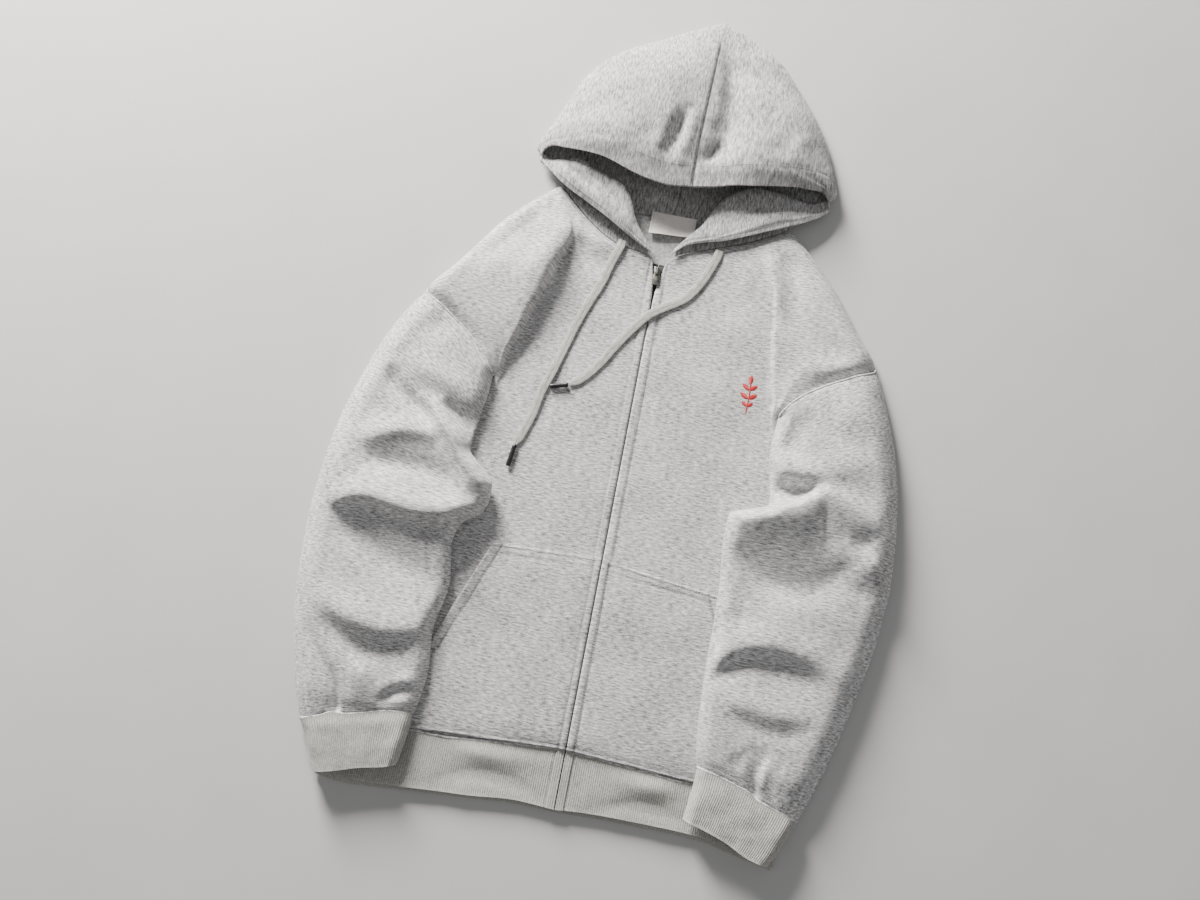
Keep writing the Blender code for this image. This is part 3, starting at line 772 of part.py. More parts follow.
def rod(path, section, up=None, turn=None):
    """Closed sweep of a section (points across, up) along a path; turn: degrees about the path."""
    path = np.asarray(path, float); n = len(path)
    t = np.gradient(path, axis=0); t /= np.linalg.norm(t, axis=1, keepdims=True)
    up = np.array([0, 0, 1.0]) if up is None else np.asarray(up, float)
    s = np.cross(t, up); s /= np.linalg.norm(s, axis=1, keepdims=True)
    w = np.cross(s, t)
    turn = np.zeros(n) if turn is None else np.radians(turn)
    sec = np.asarray(section, float); m = len(sec)
    if sec.ndim == 2: sec = np.repeat(sec[None], n, 0)
    m = sec.shape[1]
    c, si = np.cos(turn)[:, None], np.sin(turn)[:, None]
    A = sec[:, :, 0] * c - sec[:, :, 1] * si; B = sec[:, :, 0] * si + sec[:, :, 1] * c
    P = path[:, None, :] + s[:, None, :] * A[..., None] + w[:, None, :] * B[..., None]
    idx = np.arange(n * m).reshape(n, m)
    F = tri_quads(idx, n, m, True)
    V = np.concatenate([P.reshape(-1, 3), path[:1], path[-1:]])
    for j in range(m):
        F += [(n * m, idx[0, (j + 1) % m], idx[0, j]), (n * m + 1, idx[-1, j], idx[-1, (j + 1) % m])]
    return closed(V, F)


def oval(a, b, n, p=2.0):
    q = np.arange(n) * 2 * np.pi / n
    return np.stack([a * np.sign(np.cos(q)) * np.abs(np.cos(q)) ** (2 / p), b * np.sign(np.sin(q)) * np.abs(np.sin(q)) ** (2 / p)], 1)


def block(outline, z0, z1, bevel=0.0):
    """Closed body over a plan outline (counter-clockwise, star-shaped about its middle), edges eased at the top."""
    O = np.asarray(outline, float); m = O.mean(0); n = len(O)
    I = m + (O - m) * (1 - bevel / np.linalg.norm(O - m, axis=1, keepdims=True)) if bevel else O
    L = [np.c_[O, np.full(n, z0)], np.c_[O, np.full(n, z1 - bevel)]] + ([np.c_[I, np.full(n, z1)]] if bevel else [])
    V = np.concatenate(L + [[(m[0], m[1], z0), (m[0], m[1], z1)]]); k = len(L)
    F = []
    for r in range(k - 1):
        for j in range(n):
            a, b = r * n + j, r * n + (j + 1) % n
            F += [(a, b, b + n), (a, b + n, a + n)]
    for j in range(n):
        F += [(k * n, (j + 1) % n, j), (k * n + 1, (k - 1) * n + j, (k - 1) * n + (j + 1) % n)]
    return closed(V, F)


# ---------------------------------------------------------------- hem band, back panel
HEM = [
    # xt,    yt,    xb,    yb,    z      top edge, bottom edge, height of the middle of the cloth
    (-1.7,  59.9,  -1.7,   0.5, 6.2), (-42.0, 56.0, -42.0,   2.0, 6.2), (-89.0, 51.6, -89.0, -2.5, 6.3),
    (-128., 47.9, -128.,  -5.0, 6.4), (-161., 48.8, -161.,  -7.5, 6.3), (-224., 50.6, -223., -11.5, 6.2),
    (-246., 51.2, -245., -11.5, 6.15),
    (-251.8, 51.5, -250.6, -11.6, 5.6), (-254.0, 51.5, -252.8, -12.0, 3.75), (-251.8, 51.5, -250.6, -12.6, 1.9),
    (-246., 51.5, -245., -13.5, 1.35),
    (-224., 51.5, -224., -16.0, 1.3), (-161., 51.5, -161., -11.5, 1.3), (-89.0, 51.5, -89.0, -6.0, 1.3),
    (-42.0, 51.5, -42.0,  -2.5, 1.3), (0.0, 51.5,   0.0,  -2.8, 1.3), (50.0, 51.5, 50.0, -1.0, 1.3),
    (103.0, 51.5, 103.0,  -1.0, 1.3), (153.0, 51.5, 152.0, -2.4, 1.3), (196.0, 51.5, 195.0, -10.5, 1.3),
    (226.0, 51.5, 222.0, -15.0, 1.35),
    (231.8, 51.5, 227.4, -16.0, 1.9), (234.0, 51.4, 229.6, -15.4, 3.75), (231.8, 51.3, 227.4, -14.4, 5.6),
    (226.0, 51.2, 222.0, -13.0, 6.15),
    (196.0, 51.2, 195.0,  -6.0, 6.2), (153.0, 51.1, 152.0,  2.4, 6.3), (117.0, 50.9, 117.0,  4.0, 6.4),
    (67.0,  54.5,  67.0,   4.0, 6.3), (31.0,  57.4,  31.0,  3.0, 6.2), (1.7,  59.4,   1.7,  0.5, 6.2),
]


def hem(q_rows, q_cols):
    T = np.asarray(HEM, float); R = len(T)
    P = pch(np.arange(R), T, q_rows)
    f = np.asarray(q_cols)[None, :, None]
    A = np.stack([P[:, 0], P[:, 1], P[:, 4]], 1)[:, None, :]; B = np.stack([P[:, 2], P[:, 3], P[:, 4]], 1)[:, None, :]
    return A * (1 - f) + B * f


BACK = [
    # xl,    yl,    xr,    yr       rows from the hem seam to the neck
    (-253.0, 52.2, 233.0, 52.2), (-263.0, 106., 245.0, 106.), (-271.0, 165., 255.0, 165.), (-278.0, 225., 264.0, 225.),
    (-283.0, 285., 270.0, 285.), (-284.6, 334.4, 272.8, 334.4), (-271.0, 432.0, 268.4, 432.0), (-256.8, 531.2, 263.8, 532.2),
    (-231.0, 569.8, 237.0, 572.8), (-193.0, 626.8, 197.0, 628.8), (-173.0, 649.8, 177.0, 650.8), (-150.0, 671.3, 158.0, 669.3),
    (-134.0, 685.8, 147.0, 679.2),
]
NECK_BACK = [(-134.0, 685.8), (-120.0, 681.8), (-100.0, 676.4), (-60.0, 670.6), (-20.0, 669.2), (6.0, 669.0), (30.0, 669.2),
             (70.0, 670.4), (110.0, 673.4), (130.0, 676.2), (147.0, 679.2)]


def back(q_rows, cols):
    T = np.asarray(BACK, float); R = len(T)
    P = np.stack([np.interp(q_rows, np.arange(R), T[:, i]) for i in range(4)], 1)
    u = np.linspace(0, 1, cols + 1)
    X = P[:, 0:1] + (P[:, 2:3] - P[:, 0:1]) * u; Y = P[:, 1:2] + (P[:, 3:4] - P[:, 1:2]) * u
    N = line(NECK_BACK, 8)
    for j, r in enumerate(q_rows):
        w = smooth((r - (R - 6)) / 5.0)
        ny = np.interp(X[j], N[:, 0], N[:, 1])
        if r >= R - 1: Y[j] = np.where((u == 0) | (u == 1), Y[j], ny)
        else: Y[j] = Y[j] + w * (ny - (P[-1, 1] + (P[-1, 3] - P[-1, 1]) * (X[j] - P[-1, 0]) / (P[-1, 2] - P[-1, 0]))) * ((X[j] > -130) & (X[j] < 140)) * .9
    return np.stack([X, Y, 0 * X], -1)


POCKET_R = [(-2.1, 60.3, -174.5, 50.8), (-2.1, 104.0, -174.5, 104.0), (-2.1, 142.0, -164.0, 142.0), (-2.1, 172.0, -153.0, 172.0),
            (-2.1, 215.0, -137.0, 214.0), (-2.1, 263.0, -120.5, 258.0)]
POCKET_L = [(2.1, 59.8, 176.0, 51.9), (2.1, 104.0, 176.0, 104.0), (2.1, 142.0, 168.0, 142.0), (2.1, 172.0, 158.0, 172.0),
            (2.1, 212.0, 145.0, 210.0), (2.1, 262.0, 131.0, 246.5)]


def pocket(T, panels, q_rows, cols, gap=0.45):
    T = np.asarray(T, float); R = len(T)
    P = np.stack([np.interp(q_rows, np.arange(R), T[:, i]) for i in range(4)], 1)
    u = np.linspace(0, 1, cols + 1)
    X = P[:, 0:1] + (P[:, 2:3] - P[:, 0:1]) * u; Y = P[:, 1:2] + (P[:, 3:4] - P[:, 1:2]) * u
    Z = drape(panels, X, Y + 1.6 * (np.asarray(q_rows)[:, None] < .01), 5.0)
    return np.stack([X, Y, Z + gap], -1)


# drawcords: x, y of the middle, turn about its length in degrees, lift over what lies below
CORD_R = [(-46.2, 629.6, 0, 1.3), (-48.0, 620.0, 0, .9), (-54, 601, 0, .3), (-60, 577, 0, .3), (-72, 544, 0, .2), (-81, 516, 0, .2), (-89, 484, 0, .2),
          (-96, 457, 0, .2), (-103, 433, 0, .2), (-108, 404, 0, .2), (-115, 381, 0, .2), (-119, 369.4, 0, .2)]
AGLET_R = [(-119.4, 368.3), (-122.4, 343.5)]
CORD_L = [(66.5, 638.0, 0, .3), (64.5, 627, 0, .4), (60, 614, 0, .3), (51, 593, 0, .3), (37, 573, 0, .3), (17, 559, 0, .4), (1, 547, 0, .6), (-16, 526, 0, .3),
          (-32, 501, 0, .2), (-48, 474, 0, .2), (-62, 457, 0, .2), (-73.5, 448.2, 0, .2)]
AGLET_L = [(-74.5, 447.4), (-94.0, 442.0)]


def cord_path(T, panels, n, half=1.0, reach=4.6):
    T = np.asarray(T, float); t = chord(T); q = np.linspace(0, t[-1], n)
    P = pch(t, T[:, :2], q, False); E = pch(t, T[:, 2:], q)
    d = np.gradient(P, axis=0); d /= np.linalg.norm(d, axis=1, keepdims=True); s = np.stack([-d[:, 1], d[:, 0]], 1)
    z = np.max([drape(panels, P[:, 0] + s[:, 0] * k + d[:, 0] * m, P[:, 1] + s[:, 1] * k + d[:, 1] * m, 5.0)
                for k in (-reach, -reach / 2, 0, reach / 2, reach) for m in (-3.0, 0, 3.0)], axis=0)
    z = np.maximum(z, np.convolve(np.pad(z, 2, 'edge'), np.ones(5) / 5, 'valid'))
    return np.column_stack([P, z + .35 + E[:, 1] + half]), E[:, 0], t[-1]


LABEL = [((-19.0, 676.6), (34.0, 675.8), 3.6, 3.6), ((-19.0, 672.0), (34.0, 671.2), 3.7, 3.7), ((-19.0, 664.0), (34.0, 663.6), 4.2, 4.2),
         ((-19.0, 655.5), (34.0, 656.6), 5.4, 5.2), ((-19.0, 647.4), (33.4, 651.2), 7.2, 6.6)]


def label(q_rows, cols):
    T = np.array([(a[0], a[1], c, b[0], b[1], d) for a, b, c, d in LABEL], float)
    P = pch(np.arange(len(T)), T, q_rows, False)
    u = np.linspace(0, 1, cols + 1)[None, :, None]
    G = P[:, None, 0:3] * (1 - u) + P[:, None, 3:6] * u
    G[..., 2] += 0.7 * np.sin(np.pi * 2.2 * u[..., 0]) * (np.asarray(q_rows)[:, None] / (len(T) - 1)) ** 2
    return G


# ---------------------------------------------------------------- the pieces
NT, NB = 11, 6                                       # points across a sleeve's upper and lower layer
U = spread(NT)
rows_r = np.concatenate([[0, 1, 2, 3, 4, 5, 6, 6.6, 7, 7.5], seam_rows(FRONT_R, 8, 13, U), [13.5, 14, 14.5, 15, 15.5, 16, 16.5, 17, 17.5, 18, 18.5, 19]])
rows_l = np.concatenate([[0, 1, 2, 3, 4, 5, 6, 6.6, 7, 7.5], seam_rows(FRONT_L, 8, 14, U), [14.5, 15, 15.5, 16, 16.5, 17, 17.5, 18, 18.5, 19, 19.5, 20]])
front_r = front(FRONT_R, rows_r, 5, 6)
front_l = front(FRONT_L, rows_l, 5, 6)
seam_r = seam_line(FRONT_R, seam_rows(FRONT_R, 8, 13, U))
seam_l = seam_line(FRONT_L, seam_rows(FRONT_L, 8, 14, U))
q_slv = np.concatenate([[0, .5], np.arange(1, 15), [14.6, 15]])
slv_r = sleeve(SLEEVE_R, seam_r, CUFF_SEAM_R, FOLD_SLEEVE_R, -1, q_slv, NT, NB)
slv_l = sleeve(SLEEVE_L, seam_l, CUFF_SEAM_L, FOLD_SLEEVE_L, 1, q_slv, NT, NB)
cuf_r = cuff(CUFF_R, CUFF_SEAM_R, MOUTH_R, -1, np.array([0., 1, 2, 4]), NT, NB)
cuf_l = cuff(CUFF_L, CUFF_SEAM_L, MOUTH_L, 1, np.array([0., 1, 2, 4]), NT, NB)

PARTS = {}
q_back = np.array([0., 1, 2, 3, 4, 5, 6, 7, 8, 9, 10, 11, 12])
lower = back(q_back, 12)
PARTS["back_panel"] = slab(lower + [0, 0, BACK_WALL], lower)
PARTS["front_right"] = slab(front_r, under(front_r, floor=FRONT_UNDER))
PARTS["front_left"] = slab(front_l, under(front_l, floor=FRONT_UNDER))
PARTS["sleeve_right"] = pipe(slv_r, inside(slv_r, NT, SLEEVE_WALL))
PARTS["sleeve_left"] = pipe(slv_l, inside(slv_l, NT, SLEEVE_WALL))
PARTS["cuff_right"] = pipe(cuf_r, inside(cuf_r, NT, CUFF_WALL))
PARTS["cuff_left"] = pipe(cuf_l, inside(cuf_l, NT, CUFF_WALL))
g = hem(np.arange(len(HEM), dtype=float), np.array([0, .5, 1]))
n = normals(g) * HEM_WALL / 2
PARTS["hem_band"] = slab(g + n, g - n)
for key, T, top in (("pocket_right", POCKET_R, front_r), ("pocket_left", POCKET_L, front_l)):
    p = pocket(T, [top], np.array([0., 1, 2, 3, 4, 5]), 6)
    PARTS[key] = slab(p + [0, 0, POCKET_WALL], p)
HOODS = {}
for key, T, P, sd in (("hood_right", HOOD_R, front_r, -1), ("hood_left", HOOD_L, front_l, 1)):
    a = int(np.argmin(np.abs(rows_r - 16))) if sd < 0 else int(np.argmin(np.abs(rows_l - 17)))
    qr = steps([3, 3, 3, 3, 3, 3, 6, 6, 6, 6, 9, 9, 9, 6, 3, 3, 3, 3, 3]); qc = steps([6, 3, 6, 3, 3, 3, 6, 6])
    m = hood_folds(hood(T, P[a:, 0], sd, qr, qc, HOOD_GAP), qr, qc, sd)
    n = hood_normals(m, qr, qc); h = thick(m, qr, qc, HOOD_RIM, HOOD_WALL)
    m, n, h = m[::3, ::3], n[::3, ::3], h[::3, ::3]              # every third row and column of the fine sheet
    PARTS[key] = slab(m + n * h, m - n * h)
    HOODS[key] = [(m + n * h)[:, 6:], (m - n * h)[:, 6:]]

# zip: two tapes under the front edges, the box at the lower end, the slider and its pull tab
for key, s in (("zip_tape_right", -1), ("zip_tape_left", 1)):
    PARTS[key] = block([(s * x, y) for x, y in ((.6, 1.5), (ZIP_TAPE, 1.5), (ZIP_TAPE, ZIP_TOP), (.6, ZIP_TOP))][::s], TAPE_LOW, TAPE_HIGH)
PARTS["zip_box"] = block([(-1.3, 2.0), (1.3, 2.0), (1.3, 13.0), (-1.3, 13.0)], 3.95, 6.6, 0.4)
g = label(np.array([0., 1, 2, 3, 4]), 6)
n = normals(g) * LABEL_WALL / 2
PARTS["neck_label"] = slab(g + n, g - n)

# drawcords and their end tips
W, H = CORD_WIDTH / 2, CORD_THICK / 2
SEC = [(-W, -.25), (.4 - W, -H), (W - .4, -H), (W, -.25), (W, .25), (W - .4, H), (.4 - W, H), (-W, .25)]
for key, T, A, N in (("right", CORD_R, AGLET_R, 25), ("left", CORD_L, AGLET_L, 25)):
    path, twist, length = cord_path(T, [front_r, front_l] + HOODS["hood_" + key], N, half=H)
    sec = np.repeat(np.array(SEC)[None], N, 0)
    for i, (a, b) in enumerate(((.46, 1.35), (.6, 1.3), (.85, 1.1))):
        sec[-1 - i] *= (a, b)
    PARTS["drawcord_" + key] = rod(path, sec, turn=twist)
    z = path[-1, 2]
    a, b = np.array(A[0]), np.array(A[1])
    q = np.linspace(0, 1, 3)[:, None]
    p = np.concatenate([a + (b - a) * q, np.full((3, 1), z + 1.1)], axis=1)
    PARTS["aglet_" + key] = rod(p, oval(AGLET_WIDTH / 2, AGLET_THICK / 2, 10))


COLOUR = {"cloth": (0.52, 0.51, 0.50), "rib": (0.50, 0.49, 0.46), "tape": (0.16, 0.16, 0.16), "metal": (0.30, 0.28, 0.25),
          "pull": (0.36, 0.33, 0.28), "label": (0.80, 0.76, 0.68), "cord": (0.47, 0.46, 0.43), "tip": (0.02, 0.02, 0.02)}
KIND = {"back_panel": "cloth", "front_right": "cloth", "front_left": "cloth", "sleeve_right": "cloth", "sleeve_left": "cloth",
        "cuff_right": "rib", "cuff_left": "rib", "hem_band": "rib", "pocket_right": "cloth", "pocket_left": "cloth",
        "hood_right": "cloth", "hood_left": "cloth", "zip_tape_right": "tape", "zip_tape_left": "tape", "zip_box": "metal",
        "zip_slider": "metal", "zip_pull": "pull", "neck_label": "label", "drawcord_right": "cord", "drawcord_left": "cord",
        "aglet_right": "tip", "aglet_left": "tip"}
ROUGH = {"metal": (0.35, 1.0), "pull": (0.32, 1.0), "tip": (0.45, 0.0)}


def slider_body(y0, z0, z1, zb):
    """Slider plate with a bar (an arch over the top) joined to it: built as one surface."""
    # the plate's top is divided in a 3 x 5 pattern so the two feet of the bar grow out of it
    xs = [-4.7, -1.0, 1.0, 4.7]; ys = [-6.2, -4.6, -3.1, 3.1, 4.6, 6.2]
    taper = lambda x, y: x * (1.0 if y > 1 else 0.80 + 0.2 * (y + 6.2) / 7.2) if abs(x) > 2 else x
    V = []; F = []; I = {}
    def v(x, y, z):
        k = (round(x, 4), round(y, 4), round(z, 4))
        if k not in I: I[k] = len(V); V.append((x, y0 + y, z))
        return I[k]
    def quad(a, b, c, d): F.append((a, b, c)); F.append((a, c, d))
    P = lambda i, j, z: v(taper(xs[i], ys[j]), ys[j], z)
    for i in range(3):
        for j in range(5):
            quad(P(i, j, z0), P(i, j + 1, z0), P(i + 1, j + 1, z0), P(i + 1, j, z0))
            if not (i == 1 and j in (1, 3)):
                quad(P(i, j, z1), P(i + 1, j, z1), P(i + 1, j + 1, z1), P(i, j + 1, z1))
    for i in range(3):
        quad(P(i, 0, z0), P(i + 1, 0, z0), P(i + 1, 0, z1), P(i, 0, z1))
        quad(P(i + 1, 5, z0), P(i, 5, z0), P(i, 5, z1), P(i + 1, 5, z1))
    for j in range(5):
        quad(P(3, j, z0), P(3, j + 1, z0), P(3, j + 1, z1), P(3, j, z1))
        quad(P(0, j + 1, z0), P(0, j, z0), P(0, j, z1), P(0, j + 1, z1))
    # the arch: outer and inner line in the y-z plane, from the front foot to the rear foot
    o = [(-4.6, z1), (-4.6, zb + 1.5), (-3.8, zb + 2.3), (3.8, zb + 2.3), (4.6, zb + 1.5), (4.6, z1)]
    n_ = [(-3.1, z1), (-3.1, zb + .6), (-2.7, zb + 1.1), (2.7, zb + 1.1), (3.1, zb + .6), (3.1, z1)]
    A = [v(-1.0, y, z) for y, z in o]; B = [v(1.0, y, z) for y, z in o]
    C = [v(-1.0, y, z) for y, z in n_]; D = [v(1.0, y, z) for y, z in n_]
    for i in range(5):
        quad(A[i], B[i], B[i + 1], A[i + 1]) ; quad(D[i], C[i], C[i + 1], D[i + 1])
        quad(C[i], A[i], A[i + 1], C[i + 1]); quad(B[i], D[i], D[i + 1], B[i + 1])
    return closed(V, F)


def pull_body(y0, zb):
    """Pull tab: a flat plate with a window at its upper end; the window's end bar is the hinge."""
    # outline stations along -y: y from the bar, half width outside, half width of the window (0 = none)
    t = 0.6
    V = []; F = []
    def ring(y, w, iw):
        s = len(V)
        for x, z in ((-w, -t), (-iw, -t), (-iw, t), (-w, t), (iw, -t), (w, -t), (w, t), (iw, t)):
            V.append((x, y0 + y, zb + z))
        return s
    def quad(a, b, c, d): F.append((a, b, c)); F.append((a, c, d))
    st = [(0.6, 2.6, 1.7), (-0.6, 3.1, 1.7), (-5.6, 3.9, 1.7), (-7.0, 4.2, 1.7), (-15.4, 4.3, 1.7), (-16.8, 3.6, 1.7)]
    R = [ring(*r) for r in st]
    for k in range(5):
        a, b = R[k], R[k + 1]
        solid = k != 1
        quad(a + 0, b + 0, b + 3, a + 3)                          # outer left side
        quad(a + 5, a + 6, b + 6, b + 5)                          # outer right side
        quad(a + 3, b + 3, b + 2, a + 2); quad(a + 0, a + 1, b + 1, b + 0)      # left strip top, bottom
        quad(a + 7, b + 7, b + 6, a + 6); quad(a + 4, a + 5, b + 5, b + 4)      # right strip
        if solid:
            quad(a + 2, b + 2, b + 7, a + 7); quad(a + 1, a + 4, b + 4, b + 1)
        else:
            quad(a + 2, b + 2, b + 1, a + 1)                      # window sides
            quad(a + 4, b + 4, b + 7, a + 7)
    a = R[0]
    for p, q, r, s in ((0, 3, 2, 1), (1, 2, 7, 4), (4, 7, 6, 5)): quad(a + p, a + q, a + r, a + s)
    a = R[-1]
    for p, q, r, s in ((0, 1, 2, 3), (1, 4, 7, 2), (4, 5, 6, 7)): quad(a + p, a + q, a + r, a + s)
    a, b = R[1], R[2]
    quad(a + 1, a + 2, a + 7, a + 4)
    quad(b + 1, b + 4, b + 7, b + 2)
    return closed(V, F)


PARTS["zip_slider"] = slider_body(SLIDER_Y, SLIDER_LOW, SLIDER_HIGH, BAR_Z)
PARTS["zip_pull"] = pull_body(SLIDER_Y, BAR_Z)

mats = {}
for k, c in COLOUR.items():
    m = bpy.data.materials.new(k)
    m.use_nodes = True
    b = m.node_tree.nodes["Principled BSDF"]
    b.inputs["Base Color"].default_value = c + (1.0,)
    r, metal = ROUGH.get(k, (0.92, 0.0))
    b.inputs["Roughness"].default_value = r
    b.inputs["Metallic"].default_value = metal
    m.diffuse_color = c + (1.0,)
    mats[k] = m
coll = bpy.data.collections.new("zip_hoodie")
bpy.context.scene.collection.children.link(coll)
HINGE = ((0.0 - OX) / 1000, (SLIDER_Y - OY) / 1000, BAR_Z / 1000)   # the pull tab turns about the slider's bar, along X
for name, (v, f) in PARTS.items():
    v = np.asarray(v) - (HINGE if name == "zip_pull" else (0, 0, 0))
    me = bpy.data.meshes.new(name)
    me.from_pydata([tuple(p) for p in v], [], f)
    bm = bmesh.new()
    bm.from_mesh(me)
    bmesh.ops.recalc_face_normals(bm, faces=bm.faces)
    bm.to_mesh(me)
    bm.free()
    me.update()
    me.materials.append(mats[KIND[name]])
    ob = bpy.data.objects.new(name, me)
    if name == "zip_pull":
        ob.location = HINGE
    coll.objects.link(ob)
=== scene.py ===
"""Looks of a full-zip hooded sweatshirt laid flat: fine cloth shells on the frame's solids, knit and rib
materials, topstitching, zip chain, cords, camera, floor and light. Millimetres in the geometry block, metres after."""
import math

import bmesh
import bpy
import numpy as np
from mathutils import Matrix, Vector, noise
from mathutils.bvhtree import BVHTree


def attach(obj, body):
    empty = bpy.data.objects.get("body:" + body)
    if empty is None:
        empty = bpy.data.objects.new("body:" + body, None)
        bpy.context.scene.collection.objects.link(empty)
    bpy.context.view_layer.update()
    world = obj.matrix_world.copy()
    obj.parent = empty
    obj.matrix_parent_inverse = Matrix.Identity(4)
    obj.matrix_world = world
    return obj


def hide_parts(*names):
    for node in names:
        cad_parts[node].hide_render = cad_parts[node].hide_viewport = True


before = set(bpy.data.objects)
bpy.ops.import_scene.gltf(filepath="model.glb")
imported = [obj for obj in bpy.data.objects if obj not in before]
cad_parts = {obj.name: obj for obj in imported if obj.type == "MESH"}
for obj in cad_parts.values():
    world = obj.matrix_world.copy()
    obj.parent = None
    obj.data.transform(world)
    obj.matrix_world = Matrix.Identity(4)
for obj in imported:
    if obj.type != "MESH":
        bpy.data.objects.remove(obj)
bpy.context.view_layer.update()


CORD_W, CORD_H = 10.0, 1.0         # flat braid: width, half thickness
FLOOR_A, FLOOR_B = (.56, .55, .53), (.585, .575, .555)
KEY = (125, 2.3, .86, .8, 290, (1.0, .98, .962))
FILL = (-30, 2.4, 1.8, 1.6, 5, (.93, .96, 1.0))
WORLD = ((.96, .97, 1.0, 1), .30)
# ---------------------------------------------------------------- helpers (millimetres)
OX, OY = -7.25, 461.0            # middle of the whole outline; everything is moved by it


def pch(t, Y, q, mono=True):
    """Cubic through the rows of Y at knots t, read at q; mono keeps it from overshooting."""
    t = np.asarray(t, float); Y = np.asarray(Y, float)
    if Y.ndim == 1:
        return pch(t, Y[:, None], q, mono)[:, 0]
    q = np.clip(np.asarray(q, float), t[0], t[-1])
    h = np.diff(t); d = np.diff(Y, axis=0) / h[:, None]
    m = np.zeros_like(Y); m[0] = d[0]; m[-1] = d[-1]
    if len(t) > 2:
        a, b = d[:-1], d[1:]
        if mono:
            w1 = (2 * h[1:] + h[:-1])[:, None]; w2 = (h[1:] + 2 * h[:-1])[:, None]
            same = a * b > 0
            sa = np.where(same, a, 1.0); sb = np.where(same, b, 1.0)
            m[1:-1] = np.where(same, (w1 + w2) / (w1 / sa + w2 / sb), 0.0)
        else:
            m[1:-1] = (a * h[1:, None] + b * h[:-1, None]) / (h[1:] + h[:-1])[:, None]
    i = np.clip(np.searchsorted(t, q, 'right') - 1, 0, len(t) - 2)
    s = ((q - t[i]) / h[i])[:, None]; hh = h[i][:, None]
    return ((2 * s**3 - 3 * s**2 + 1) * Y[i] + (s**3 - 2 * s**2 + s) * hh * m[i]
            + (-2 * s**3 + 3 * s**2) * Y[i + 1] + (s**3 - s**2) * hh * m[i + 1])


def chord(P):
    P = np.asarray(P, float)
    return np.concatenate([[0], np.cumsum(np.linalg.norm(np.diff(P[:, :2], axis=0), axis=1))])


def smooth(x):
    x = np.clip(x, 0.0, 1.0)
    return x * x * (3 - 2 * x)


def line(P, n=8):
    """A smooth dense line through the table rows P (x, y, then anything else)."""
    P = np.asarray(P, float); t = chord(P)
    q = np.concatenate([np.linspace(t[i], t[i + 1], n, endpoint=False) for i in range(len(t) - 1)] + [t[-1:]])
    return np.concatenate([pch(t, P[:, :2], q, False), pch(t, P[:, 2:], q)], axis=1) if P.shape[1] > 2 else pch(t, P, q, False)


def near(L, X, Y):
    """Distance to the dense line L, signed (+ on its left), and the line's other columns there."""
    X = np.asarray(X, float); Y = np.asarray(Y, float); sh = X.shape
    X = X.ravel(); Y = Y.ravel()
    best = np.full(X.shape, 1e9); side = np.zeros(X.shape); val = np.zeros((len(X), L.shape[1] - 2))
    for i in range(len(L) - 1):
        ax, ay = L[i, :2]; bx, by = L[i + 1, :2]
        ex, ey = bx - ax, by - ay; q = ex * ex + ey * ey + 1e-12
        s = np.clip(((X - ax) * ex + (Y - ay) * ey) / q, 0, 1)
        dx, dy = X - ax - s * ex, Y - ay - s * ey
        d = np.hypot(dx, dy); k = d < best
        best[k] = d[k]; side[k] = np.sign(ex * dy - ey * dx)[k]
        if L.shape[1] > 2:
            val[k] = (L[i, 2:] * (1 - s[:, None]) + L[i + 1, 2:] * s[:, None])[k]
    side[side == 0] = 1
    return (best * side).reshape(sh), val.reshape(sh + (L.shape[1] - 2,))


def folds(table, X, Y):
    """Sum of the folds in a table: each is rows of x, y, height, width on its left, on its right."""
    Z = np.zeros(np.shape(X))
    for rows in table:
        L = line(rows, 6)
        d, v = near(L, X, Y)
        w = np.where(d > 0, v[..., 1], v[..., 2])
        Z = Z + v[..., 0] * np.exp(-(np.abs(d) / w) ** 2 * 0.8)
    return Z


def tri_quads(A, R, C, wrap=False, flip=False, P=None):
    """Triangles of a grid; with P each quad is cut along its shorter diagonal."""
    f = []
    for i in range(R - 1):
        for j in range(C if wrap else C - 1):
            k = (j + 1) % C
            a, b = A[i, j], A[i, k]; c, d = A[i + 1, k], A[i + 1, j]
            if P is not None and ((P[i, k] - P[i + 1, j]) ** 2).sum() < ((P[i, j] - P[i + 1, k]) ** 2).sum():
                f += [(a, d, b), (b, d, c)] if flip else [(a, b, d), (b, c, d)]
            else:
                f += [(a, c, b), (a, d, c)] if flip else [(a, b, c), (a, c, d)]
    return f


def closed(V, F):
    """Turn all faces outward by the sign of the volume; move to the shared origin; metres."""
    V = np.asarray(V, float)
    T = np.array(F); a, b, c = V[T[:, 0]], V[T[:, 1]], V[T[:, 2]]
    if np.einsum('ij,ij->i', a, np.cross(b, c)).sum() < 0:
        F = [(f[0], f[2], f[1]) for f in F]
    return (V - [OX, OY, 0.0]) / 1000.0, F


def slab(P, Q):
    """Closed body between the two faces P and Q (grids of the same shape)."""
    R, C = P.shape[:2]; n = R * C
    A = np.arange(n).reshape(R, C); B = A + n
    F = tri_quads(A, R, C, P=P) + tri_quads(B, R, C, flip=True, P=P)
    ring = [A[0, j] for j in range(C)] + [A[i, C - 1] for i in range(1, R)] \
        + [A[R - 1, j] for j in range(C - 2, -1, -1)] + [A[i, 0] for i in range(R - 2, 0, -1)]
    for a, b in zip(ring, ring[1:] + ring[:1]):
        F += [(a, a + n, b + n), (a, b + n, b)]
    return closed(np.concatenate([P.reshape(-1, 3), Q.reshape(-1, 3)]), F)


